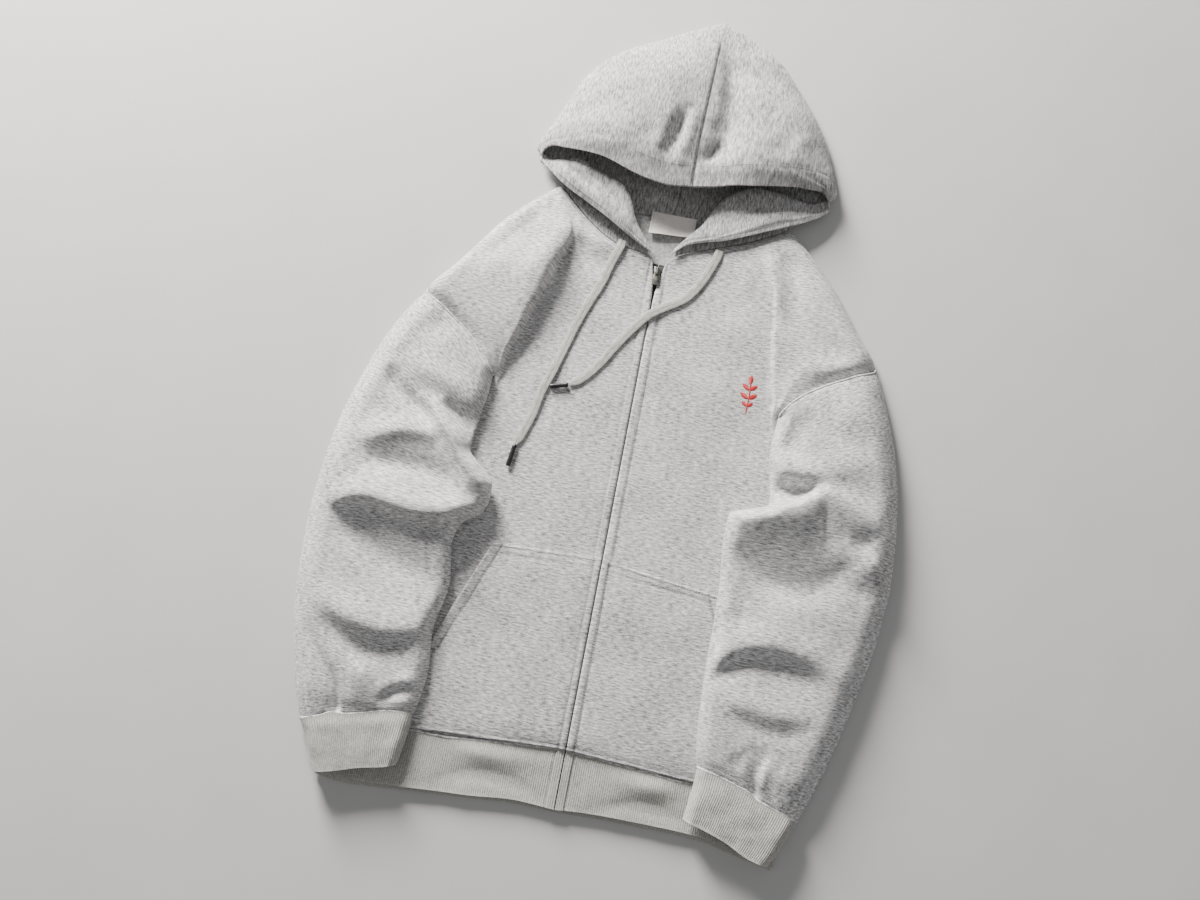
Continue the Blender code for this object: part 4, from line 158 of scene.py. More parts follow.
def pipe(P, Q):
    """Closed body between two nested rows of rings (rings x points), open at both ends."""
    R, C = P.shape[:2]; n = R * C
    A = np.arange(n).reshape(R, C); B = A + n
    F = tri_quads(A, R, C, True, P=P) + tri_quads(B, R, C, True, flip=True, P=P)
    for i, fl in ((0, False), (R - 1, True)):
        for j in range(C):
            a, b = A[i, j], A[i, (j + 1) % C]; c, d = b + n, a + n
            F += [(a, b, c), (a, c, d)] if fl else [(a, c, b), (a, d, c)]
    return closed(np.concatenate([P.reshape(-1, 3), Q.reshape(-1, 3)]), F)


def normals(P, wrap=False):
    """Unit normals of a grid; wrap: the second direction goes round."""
    du = np.gradient(P, axis=0)
    dv = (np.roll(P, -1, 1) - np.roll(P, 1, 1)) if wrap else np.gradient(P, axis=1)
    n = np.cross(du, dv)
    return n / np.maximum(np.linalg.norm(n, axis=2, keepdims=True), 1e-9)


def steps(counts):
    """Fractional positions for a table: counts[i] steps between column i and i+1."""
    q = [0.0]
    for i, n in enumerate(counts):
        q += [i + (k + 1) / n for k in range(n)]
    return np.array(q)


def sweep(P, q_rows, q_cols, mono_xy=False):
    """Grid through a table of control points (rows x columns x 3)."""
    P = np.asarray(P, float); R, C = P.shape[:2]
    G = np.stack([np.concatenate([pch(np.arange(C), P[i, :, :2], q_cols, True),
                                  pch(np.arange(C), P[i, :, 2:], q_cols)], axis=1) for i in range(R)])
    k = np.concatenate([[0], np.cumsum(np.maximum(np.linalg.norm(np.diff(P, axis=0), axis=2).mean(1), 1e-3))])
    t = np.interp(q_rows, np.arange(R), k)
    out = np.zeros((len(t), G.shape[1], 3))
    for j in range(G.shape[1]):
        out[:, j, :2] = pch(k, G[:, j, :2], t, mono_xy)
        out[:, j, 2:] = pch(k, G[:, j, 2:], t)
    return out


# ---------------------------------------------------------------- the front panels
# rows from the hem seam to the high point of the shoulder.
# xa,ya inner edge (zip, then neck seam); xk,yk line of the chest pleat; xb,yb outer edge;
# za,zk heights of the face at the inner edge and at the pleat's foot; st pleat's step up; zm halfway out; zb outer edge
FRONT_R = [
    # xa,   ya,    xk,    yk,    xb,    yb,   za,  zk,  st,   zm,  zb
    (-1.7,  60.5, -128,  48.5, -253,  52.0, 7.4, 7.6, 0.0,  7.6, 5.6),
    (-1.7, 110.0, -132, 105.0, -263, 106.0, 7.6, 8.2, 0.0,  8.0, 5.6),
    (-1.7, 165.0, -136, 165.0, -271, 165.0, 7.6, 8.4, 0.0,  8.0, 5.6),
    (-1.7, 225.0, -140, 225.0, -278, 225.0, 7.6, 8.4, 0.0,  8.0, 5.6),
    (-1.7, 285.0, -145, 285.0, -283, 285.0, 7.6, 8.4, 0.0,  8.0, 5.6),
    (-1.7, 335.0, -149, 335.0, -285, 335.0, 7.6, 8.4, 0.0,  8.0, 5.8),
    (-1.7, 392.0, -151, 392.0, -224, 389.0, 7.6, 8.4, 0.0,  8.2, 7.6),
    (-1.7, 428.0, -151, 428.0, -172, 428.0, 7.6, 8.4, 0.8,  8.6, 8.2),
    (-1.7, 443.0, -151, 443.0, -159, 441.0, 7.6, 8.4, 2.0, 10.6, 10.0),
    (-1.7, 453.0, -150, 453.0, -165.5, 451.0, 7.6, 8.5, 6.0, 15.5, 15.5),
    (-1.7, 467.0, -149, 467.0, -177, 466.0, 7.6, 8.6, 9.0, 19.5, 19.0),
    (-1.7, 489.0, -142, 488.0, -199, 486.0, 7.6, 8.8, 12.0, 22.5, 19.0),
    (-1.7, 512.0, -135, 510.0, -225, 505.0, 7.6, 9.0, 14.0, 24.0, 14.5),
    (-1.9, 541.0, -127, 538.0, -257, 531.0, 7.8, 9.2, 15.0, 25.0, 5.4),
    (-4.4, 576.0, -116, 578.0, -231, 570.0, 8.0, 10.0, 15.0, 24.0, 5.4),
    (-7.4, 603.0, -110, 598.0, -209, 603.0, 8.4, 11.0, 12.6, 21.0, 5.4),
    (-9.6, 617.5, -105, 612.0, -193, 627.0, 9.0, 12.0, 8.0, 18.0, 5.4),
    (-52., 626.0, -104, 629.0, -173, 650.0, 10.0, 13.6, 4.0, 15.5, 5.4),
    (-91., 650.0, -114, 653.0, -150, 671.5, 9.0, 12.8, 0.6, 11.0, 5.4),
    (-126.5, 684., -130, 685.2, -134, 686.0, 7.8, 7.4, 0.0, 6.4, 5.2),
]
FRONT_L = [
    (1.7,   60.0, 117,  51.5, 233,  52.0, 7.4, 7.6, 0.0, 7.6, 5.6),
    (1.7,  110.0, 122, 107.0, 245, 106.0, 7.6, 8.2, 0.0, 8.0, 5.6),
    (1.7,  165.0, 127, 165.0, 255, 165.0, 7.6, 8.4, 0.0, 8.0, 5.6),
    (1.7,  225.0, 132, 225.0, 264, 225.0, 7.6, 8.4, 0.0, 8.0, 5.6),
    (1.7,  285.0, 140, 285.0, 270, 285.0, 7.6, 8.4, 0.0, 8.0, 5.6),
    (1.7,  335.0, 147, 335.0, 273, 335.0, 7.6, 8.4, 0.0, 8.0, 5.8),
    (1.7,  392.0, 152, 392.0, 222, 395.0, 7.6, 8.4, 0.0, 8.2, 7.6),
    (1.7,  436.0, 155, 436.0, 176, 438.0, 7.6, 8.6, 0.6, 8.8, 8.2),
    (1.7,  454.0, 155, 454.0, 163, 455.0, 7.6, 8.8, 1.6, 10.6, 10.2),
    (1.7,  463.0, 154, 463.0, 167, 463.0, 7.6, 9.1, 3.6, 15.0, 15.2),
    (1.7,  472.0, 153, 472.0, 173.5, 471.5, 7.6, 9.4, 4.6, 17.6, 18.0),
    (1.7,  484.0, 150, 484.0, 184, 482.0, 7.6, 9.8, 5.6, 19.0, 19.0),
    (1.7,  500.0, 147, 500.0, 207, 498.0, 7.6, 10.4, 6.0, 21.0, 18.5),
    (1.7,  517.0, 144, 518.0, 233, 512.0, 7.6, 11.0, 6.0, 22.0, 14.0),
    (1.9,  541.0, 141, 541.0, 264, 532.0, 7.8, 11.6, 6.0, 22.0, 5.4),
    (4.4,  576.0, 137, 578.0, 237, 573.0, 8.0, 12.4, 5.0, 21.0, 5.4),
    (7.4,  603.0, 131, 608.0, 215, 606.0, 8.4, 13.0, 4.0, 19.0, 5.4),
    (10.,  617.5, 122, 630.0, 197, 629.0, 9.0, 14.0, 2.0, 17.0, 5.4),
    (56.,  639.5, 122, 650.0, 177, 651.0, 10.0, 15.0, 0.0, 15.0, 5.4),
    (98.,  656.5, 132, 667.0, 158, 669.5, 9.0, 12.0, 0.0, 11.0, 5.4),
    (138.5, 678.5, 142, 679.4, 147, 679.4, 7.8, 7.4, 0.0, 6.4, 5.2),
]
# folds: rows of x, y, height, width to the left of the line, width to its right
FOLD_BODY = [
    # wearer's right shoulder: a trough inside the shoulder line, a ridge beside the pleat, small ones on the chest
    [(-135, 668, 0, 8, 8), (-160, 630, -4.5, 10, 12), (-195, 588, -4, 12, 12), (-222, 552, 0, 10, 10)],
    [(-112, 646, 0, 9, 12), (-124, 610, 4.5, 10, 12), (-140, 560, 3, 14, 14), (-152, 500, 0, 12, 12)],
    [(-98, 630, 0, 8, 8), (-90, 612, -3.5, 9, 7), (-78, 598, -2.5, 10, 8), (-62, 588, 0, 8, 8)],
    [(-82, 636, 0, 8, 8), (-72, 618, 2.2, 9, 10), (-58, 604, 0, 10, 8)],
    [(-100, 520, 0, 20, 16), (-112, 450, 1.6, 22, 16), (-128, 380, 0, 18, 16)],
    # wearer's left shoulder
    [(118, 648, 0, 9, 9), (128, 628, 3.6, 10, 9), (134, 600, 2.5, 12, 9), (138, 560, 0, 12, 8)],
    [(140, 652, 0, 8, 8), (152, 628, -3, 10, 10), (160, 596, -2.5, 10, 10), (166, 560, 0, 10, 10)],
    [(150, 592, 0, 10, 10), (178, 556, -3.4, 12, 12), (212, 538, -3.0, 12, 12), (240, 532, 0, 8, 8)],
    [(170, 520, 0, 8, 8), (196, 515, 2.6, 9, 12), (226, 527, 2, 9, 12), (246, 535, 0, 6, 8)],
    [(96, 636, 0, 8, 8), (104, 612, 2, 12, 10), (100, 580, 0, 12, 12)],
    # long soft waves of the chest
    [(60, 560, 0, 30, 30), (72, 480, 0.9, 34, 30), (64, 380, 0, 30, 30)],
    [(-50, 420, 0, 26, 26), (-58, 330, 0.8, 30, 26), (-46, 260, 0, 26, 26)],
]


def edge_up(d, r, q):
    return 1 - (1 - np.clip(d / r, 0, 1)) ** q


def front(T, rows, n_in, n_out, fine=False):
    """Face of a front panel. Columns: inner edge to the pleat's foot, step, then to the outer edge."""
    T = np.asarray(T, float); R = len(T)
    k = np.concatenate([[0], np.cumsum(np.hypot(np.diff(T[:, 2]), np.diff(T[:, 3])) * .5
                                       + np.hypot(np.diff(T[:, 0]), np.diff(T[:, 1])) * .5)])
    t = np.interp(rows, np.arange(R), k)
    V = np.concatenate([pch(k, T[:, 0:2], t, True), pch(k, T[:, 2:4], t, False), pch(k, T[:, 4:6], t, True),
                        pch(k, T[:, 6:], t)], axis=1)
    xa, ya, xk, yk, xb, yb, za, zk, st, zm, zb = V.T
    ui = np.linspace(0, 1, n_in + 1) ** (1.6 if fine else 1.0)
    uo = 1 - (1 - np.linspace(0, 1, n_out + 1)) ** 1.45
    wid = np.hypot(xb - xk, yb - yk)
    sw = np.minimum(5.0, wid * .3)                               # width of the step
    X = []; Y = []; Z = []
    for j in range(len(t)):
        kx, ky = xk[j], yk[j]
        ex, ey = (xb[j] - kx) / wid[j], (yb[j] - ky) / wid[j]
        x1 = xa[j] + (kx - xa[j]) * ui; y1 = ya[j] + (ky - ya[j]) * ui
        z1 = za[j] + (zk[j] - za[j]) * ui
        k2x, k2y = kx + ex * sw[j], ky + ey * sw[j]
        x2 = k2x + (xb[j] - k2x) * uo; y2 = k2y + (yb[j] - k2y) * uo
        s = np.linspace(0, 1, n_out + 1); s = uo
        zt = zk[j] + st[j]
        base = np.where(s < .5, zt + (zm[j] - zt) * smooth(s * 2), zm[j] + (zb[j] - zm[j]) * 0)
        dist = (1 - s) * (wid[j] - sw[j])
        z2 = zb[j] + (base - zb[j]) * edge_up(dist, min(24.0, max(wid[j] * .6, 6.0)), 2.0)
        if fine:
            m = np.linspace(0, 1, 7)[1:-1]
            X.append(np.concatenate([x1, kx + ex * sw[j] * m, x2])); Y.append(np.concatenate([y1, ky + ey * sw[j] * m, y2]))
            Z.append(np.concatenate([z1, zk[j] + st[j] * smooth(m), z2]))
        else:
            X.append(np.concatenate([x1, x2])); Y.append(np.concatenate([y1, y2])); Z.append(np.concatenate([z1, z2]))
    X = np.array(X); Y = np.array(Y); Z = np.array(Z)
    L = np.stack([xb, yb], 1)
    d, _ = near(np.concatenate([L]), X, Y)
    keep = smooth(np.abs(d) / 16.0)
    La = np.stack([xa, ya], 1); da, _ = near(La, X, Y)
    keep = keep * smooth(np.abs(da) / 10.0)
    Z = Z + folds(FOLD_BODY, X, Y) * keep
    return np.stack([X, Y, Z], -1)


def under(P, t=2.0, floor=2.6, most=4.5):
    """The lower face of a sheet whose upper face is the height field P."""
    n = normals(P); c = np.abs(n[..., 2])
    Q = P.copy()
    Q[..., 2] = np.maximum(P[..., 2] - np.minimum(t / np.maximum(c, .2), most), floor)
    return Q


# ---------------------------------------------------------------- the sleeves
# stations from the armhole seam to the cuff seam: outer edge xo,yo,zo; inner edge xi,yi,zi (heights of the
# turned edges); bow of the line between them toward the neck; crest height; xq,yq corner of the lower layer
SLEEVE_R = [
    # xo,   yo,   zo,    xi,   yi,   zi,   bow,  hc,   xq,   yq
    (-257.4, 530.6, 6.0, -159.5, 440.3, 16.0,  4.0, 22.5, -285.6, 334.0),
    (-277.0, 498.0, 6.0, -160.0, 424.0, 14.5,  6.0, 25.0, -288.0, 327.0),
    (-291.0, 468.0, 6.0, -162.5, 402.0, 14.0,  5.0, 25.0, -290.0, 320.0),
    (-303.0, 432.0, 6.0, -165.0, 379.0, 14.0,  4.0, 25.0, -292.0, 313.0),
    (-313.0, 396.0, 6.0, -166.5, 355.0, 15.0,  3.0, 26.0, -293.5, 306.0),
    (-320.0, 364.0, 6.0, -148.0, 335.0, 19.0,  2.0, 28.0, -293.0, 299.0),
    (-323.0, 339.0, 6.0, -133.0, 317.0, 21.0,  1.0, 29.0, -290.0, 290.0),
    (-325.5, 312.0, 6.0, -132.5, 303.0, 20.0,  1.0, 29.0, -279.0, 280.5),
    (-326.5, 287.0, 6.0, -138.0, 286.0, 18.0,  0.0, 29.0, -264.0, 271.5),
    (-327.0, 266.0, 6.0, -157.0, 271.5, 16.0,  0.0, 27.0, -246.0, 262.0),
    (-326.5, 244.0, 6.0, -163.0, 251.0, 15.5,  0.0, 26.0, -241.0, 247.0),
    (-323.5, 205.0, 6.0, -156.0, 203.0, 15.0,  0.0, 26.0, -240.0, 204.0),
    (-317.5, 155.0, 6.0, -162.5, 155.0, 15.0,  0.0, 26.0, -240.0, 155.0),
    (-305.0, 105.0, 6.0, -158.0, 108.0, 15.0, -2.0, 25.0, -232.0, 106.0),
    (-293.0,  67.0, 6.5, -160.5,  80.0, 15.0, -1.0, 23.0, -228.0,  74.0),
    (-281.0,  39.0, 7.0, -163.5,  67.4, 14.8,  3.0, 19.8, -222.2,  53.2),
]
SLEEVE_L = [
    (264.4, 531.5, 6.0, 163.5, 454.3, 16.0,  6.0, 22.0, 273.8, 334.0),
    (275.0, 508.0, 6.0, 161.5, 437.0, 14.5,  6.0, 25.0, 276.0, 327.5),
    (285.0, 482.0, 6.0, 160.0, 420.0, 14.5,  5.0, 26.0, 278.0, 321.0),
    (295.0, 452.0, 6.0, 160.5, 403.0, 15.0,  4.0, 27.0, 280.0, 314.5),
    (302.5, 420.0, 6.0, 164.0, 386.0, 14.0,  3.0, 27.0, 282.0, 308.0),
    (308.0, 388.0, 6.0, 168.0, 356.0, 14.5,  2.0, 28.0, 283.0, 301.0),
    (310.5, 362.0, 6.0, 148.0, 346.0, 20.0,  2.0, 29.0, 282.5, 294.0),
    (312.0, 340.0, 6.0, 126.0, 336.0, 23.0,  1.0, 30.0, 281.0, 287.0),
    (312.5, 312.0, 6.0, 124.0, 310.0, 20.0,  0.0, 29.0, 274.0, 277.0),
    (312.0, 284.0, 6.0, 126.0, 286.0, 17.0,  0.0, 27.0, 258.0, 270.0),
    (308.5, 256.0, 6.0, 128.5, 258.0, 16.0,  0.0, 26.0, 236.0, 254.0),
    (302.0, 214.0, 6.0, 129.0, 214.0, 15.5,  0.0, 26.0, 215.0, 214.0),
    (291.0, 169.0, 6.0, 128.5, 170.0, 15.5,  0.0, 26.0, 210.0, 170.0),
    (277.0, 117.0, 6.0, 130.0, 118.0, 15.5,  0.0, 26.0, 204.0, 118.0),
    (261.0,  68.0, 6.5, 133.0,  86.0, 15.0, -2.0, 24.0, 197.0,  78.0),
    (247.0,  36.5, 9.8, 136.5,  70.4, 15.2,  1.5, 21.0, 191.7,  53.4),
]
CUFF_SEAM_R = [(-281, 39), (-257, 47.4), (-245, 53), (-237, 53), (-216, 57.4), (-196, 63.4), (-175, 66.4), (-163.5, 67.4)]
CUFF_SEAM_L = [(247, 36.5), (216, 46), (201, 51), (192, 56.4), (179, 60.4), (160, 66), (148, 68.4), (136.5, 70.4)]
FOLD_SLEEVE_R = [
    # the big fold that hides the bend: crest just inside its edge, steep toward the recess
    [(-236, 404, 0, 6, 10), (-212, 391, 7, 7, 14), (-190, 368, 14, 6, 16), (-168, 345, 14, 6, 16), (-146, 321, 9, 8, 14), (-138, 308, 3, 8, 12)],
    # the recess beside it
    [(-208, 397, 0, 8, 4), (-192, 393, -9, 7, 9), (-176, 384, -11, 12, 12), (-168, 370, -8, 12, 10)],
    # trough from the upper sleeve into the fold
    [(-270, 432, 0, 8, 8), (-266, 412, -6, 9, 8), (-244, 396, -6, 7, 9), (-222, 382, -5, 6, 8), (-200, 362, -4, 6, 9), (-176, 334, -4, 7, 9), (-160, 314, 0, 8, 8)],
    [(-252, 470, 0, 14, 14), (-232, 484, -3.0, 14, 14), (-204, 478, 0, 14, 14)],
    [(-300, 440, 0, 14, 14), (-300, 400, 2.5, 14, 12), (-306, 360, 0, 14, 14)],
    [(-262, 446, 0, 14, 12), (-232, 430, 4, 14, 12), (-196, 418, 3, 12, 9), (-172, 412, 0, 10, 8)],
    # second crest, with the shaded slope under it
    [(-292, 336, 0, 12, 10), (-272, 345, 4.5, 14, 9), (-246, 356, 7, 14, 9), (-220, 360, 6, 12, 9), (-200, 352, 0, 10, 9)],
    [(-280, 318, 0, 10, 10), (-250, 322, -5, 10, 12), (-215, 322, -5, 12, 12), (-180, 312, -3, 12, 10), (-160, 304, 0, 10, 10)],
    # third crest: sharp lower side over the large shaded slope
    [(-302, 262, 0, 10, 7), (-290, 270, 8, 14, 7), (-262, 279, 14, 22, 8), (-232, 276, 15, 22, 9), (-204, 273, 15, 20, 9), (-180, 276, 13, 16, 9), (-160, 283, 7, 14, 8), (-144, 290, 0, 10, 8)],
    [(-292, 250, 0, 6, 12), (-266, 244, -5, 10, 16), (-232, 226, -6, 16, 18), (-196, 214, -5, 18, 14), (-162, 206, -2, 16, 12)],
    # fourth crest and its trough
    [(-296, 172, 0, 16, 9), (-272, 160, 4, 20, 9), (-246, 150, 7.5, 24, 9), (-218, 146, 8.5, 26, 9), (-190, 150, 7.5, 24, 9), (-166, 160, 3, 18, 9)],
    [(-280, 148, 0, 8, 9), (-256, 134, -4, 8, 10), (-226, 124, -5, 9, 12), (-196, 126, -4, 9, 12), (-170, 136, 0, 9, 12)],
    # creases toward the cuff
    [(-300, 138, 0, 5, 8), (-284, 122, -2.6, 5, 7), (-266, 100, -3.4, 5, 7), (-252, 78, -3.2, 5, 6), (-243, 58, -3.6, 4, 5)],
    [(-232, 118, 0, 16, 14), (-226, 96, 3.6, 14, 12), (-226, 72, 1.5, 14, 10), (-228, 62, 0, 10, 10)],
    [(-204, 70, 0, 5, 5), (-196, 78, -2.8, 4, 5), (-182, 88, -2.8, 4, 5), (-166, 93, 0, 4, 5)],
    [(-188, 104, 0, 8, 8), (-176, 98, 2.2, 8, 6), (-164, 100, 0, 8, 6)],
]
FOLD_SLEEVE_L = [
    # below the armhole seam
    [(196, 470, 0, 14, 14), (186, 446, -3.5, 12, 12), (178, 420, -4, 12, 10), (172, 404, 0, 9, 9)],
    [(250, 500, 0, 14, 14), (240, 470, 3, 18, 16), (232, 440, 0, 14, 14)],
    # bright crest over the recess, sharp lower side
    [(158, 392, 3, 12, 6), (178, 391, 7, 18, 6), (204, 392, 9, 20, 7), (232, 402, 7, 20, 14), (262, 414, 3, 20, 18), (286, 420, 0, 16, 16)],
    # the recess
    [(216, 378, 0, 6, 6), (198, 374, -8, 7, 8), (180, 372, -10, 9, 10), (166, 370, -7, 8, 9)],
    # the big fold: crest along its upper edge, wide shaded slope below
    [(128, 333, 7, 5, 22), (148, 341, 12, 5, 24), (170, 348, 15, 5, 26), (194, 354, 16, 5, 28), (208, 366, 14, 6, 24), (222, 372, 12, 12, 20), (246, 366, 11, 14, 20), (270, 354, 7, 14, 14), (288, 344, 0, 12, 10)],
    [(132, 300, 0, 16, 10), (158, 284, -3, 16, 12), (190, 270, -6, 18, 12), (222, 272, -6, 16, 14), (250, 292, -4, 12, 12), (264, 312, 0, 9, 9)],
    [(262, 322, 0, 8, 8), (270, 330, -3, 8, 8), (284, 336, 0, 8, 8)],
    [(262, 306, 0, 10, 10), (282, 306, 4, 12, 12), (296, 296, 0, 10, 10)],
    [(258, 288, 0, 8, 8), (276, 278, -3, 9, 9), (296, 268, 0, 9, 9)],
    [(150, 244, 0, 18, 18), (200, 242, 3.5, 22, 20), (250, 246, 2, 20, 20), (280, 240, 0, 14, 14)],
    [(136, 232, 0, 7, 7), (150, 228, -1.8, 7, 8), (166, 230, 0, 7, 7)],
    # arc crest and trough
    [(130, 168, 0, 9, 6), (142, 186, 4, 14, 7), (162, 200, 7, 20, 8), (192, 205, 8, 22, 8), (222, 202, 7, 20, 8), (250, 192, 3, 16, 9), (272, 184, 0, 12, 9)],
    [(132, 152, 0, 6, 7), (144, 168, -3.5, 6, 9), (166, 182, -4.5, 7, 10), (194, 186, -4.5, 8, 12), (224, 182, -4, 8, 12), (254, 176, 0, 8, 10)],
    [(146, 146, 0, 10, 8), (172, 140, 3, 14, 8), (204, 137, 3.5, 14, 8), (240, 140, 1.5, 12, 8), (262, 142, 0, 10, 8)],
    [(156, 132, 0, 7, 8), (180, 124, -2.6, 7, 9), (210, 120, -2.8, 8, 9), (246, 124, 0, 8, 9)],
    [(180, 104, 0, 8, 8), (196, 98, -2.2, 8, 9), (214, 102, 0, 8, 8)],
    [(166, 90, 0, 9, 8), (176, 84, -1.8, 9, 8), (184, 82, 0, 9, 8)],
    [(210, 84, 0, 8, 8), (222, 76, 2.0, 10, 9), (232, 62, 0, 10, 9)],
    [(204, 66, 0, 4, 5), (200, 58, -2.6, 4, 5), (197, 52, -3.2, 4, 4)],
]
# y, x of the body's side, then of the back's armhole edge; and the front's lower armhole edge
SIDE_R = [(52, -253), (106, -263), (165, -271), (225, -278), (285, -283), (335, -285), (432, -271), (531, -257)]
SIDE_L = [(52, 233), (106, 245), (165, 255), (225, 264), (285, 270), (335, 273), (432, 268.6), (531, 264)]
ARM_R = [(52, -253), (106, -263), (165, -271), (225, -278), (285, -283), (335, -285), (389, -224), (428, -172), (441, -159)]
ARM_L = [(52, 233), (106, 245), (165, 255), (225, 264), (285, 270), (335, 273), (395, 222), (438, 176), (455, 163)]


def rest(X, Y, side):
    """Height a sleeve's lower layer lies at: on the front panel, on the back panel beside it, else on the floor."""
    s = -1.0 if side < 0 else 1.0
    T = np.array(SIDE_R if side < 0 else SIDE_L, float); A = np.array(ARM_R if side < 0 else ARM_L, float)
    out = (X - np.interp(Y, A[:, 0], A[:, 1])) * s              # how far outside the front
    far = (X - np.interp(Y, T[:, 0], T[:, 1])) * s              # how far outside the back
    ex, ey = (-160.0, 440.0) if side < 0 else (164.0, 454.0)
    top = 10.0 + 1.5 * smooth((276.0 - Y) / 14.0) + 3.6 * np.exp(-((X - ex) ** 2 + (Y - ey) ** 2) / 15.0 ** 2)
    low = 0.4 + 2.4 * (1 - smooth((far - 4.0) / 22.0))
    return low + (top - low) * (1 - smooth((out - 1.0) / 26.0))


def spread(n):
    """Places across a flattened tube, closer together at its two edges."""
    return 0.55 * 0.5 * (1 - np.cos(np.pi * np.linspace(0, 1, n + 1))) + 0.45 * np.linspace(0, 1, n + 1)


def seam_rows(T, lo, hi, u):
    """Rows of a front table whose outer ends lie at the parts u of the armhole seam (row hi to row lo)."""
    q = np.linspace(lo, hi, 400); T = np.asarray(T, float)
    k = np.concatenate([[0], np.cumsum(np.hypot(np.diff(T[:, 2]), np.diff(T[:, 3])) * .5
                                       + np.hypot(np.diff(T[:, 0]), np.diff(T[:, 1])) * .5)])
    P = pch(k, T[:, 4:6], np.interp(q, np.arange(len(T)), k), True); c = chord(P)
    return np.interp(1 - np.asarray(u)[::-1], c / c[-1], q)


def seam_line(T, rows, gap=0.5):
    """The armhole seam's sleeve side: the front's edge at those rows, moved out by the gap; shoulder first."""
    T = np.asarray(T, float)
    k = np.concatenate([[0], np.cumsum(np.hypot(np.diff(T[:, 2]), np.diff(T[:, 3])) * .5
                                       + np.hypot(np.diff(T[:, 0]), np.diff(T[:, 1])) * .5)])
    P = pch(k, T[:, 4:6], np.interp(rows, np.arange(len(T)), k), True)[::-1]
    d = np.gradient(P, axis=0); d /= np.linalg.norm(d, axis=1, keepdims=True)
    n = np.stack([-d[:, 1], d[:, 0]], 1)
    n *= np.where(n[:, 1:2] > 0, -1.0, 1.0)
    return P + n * gap


def legs(nb, c):
    """Places of nb points along the lower layer: one at its corner, closer together toward the two edges."""
    n1 = nb // 2; n2 = nb - n1
    a = np.arange(1, n1 + 1) / n1; b = np.arange(1, n2 + 1) / (n2 + 1)
    return np.concatenate([a ** 1.35 * c[1], c[1] + (1 - (1 - b) ** 1.35) * (c[2] - c[1])])


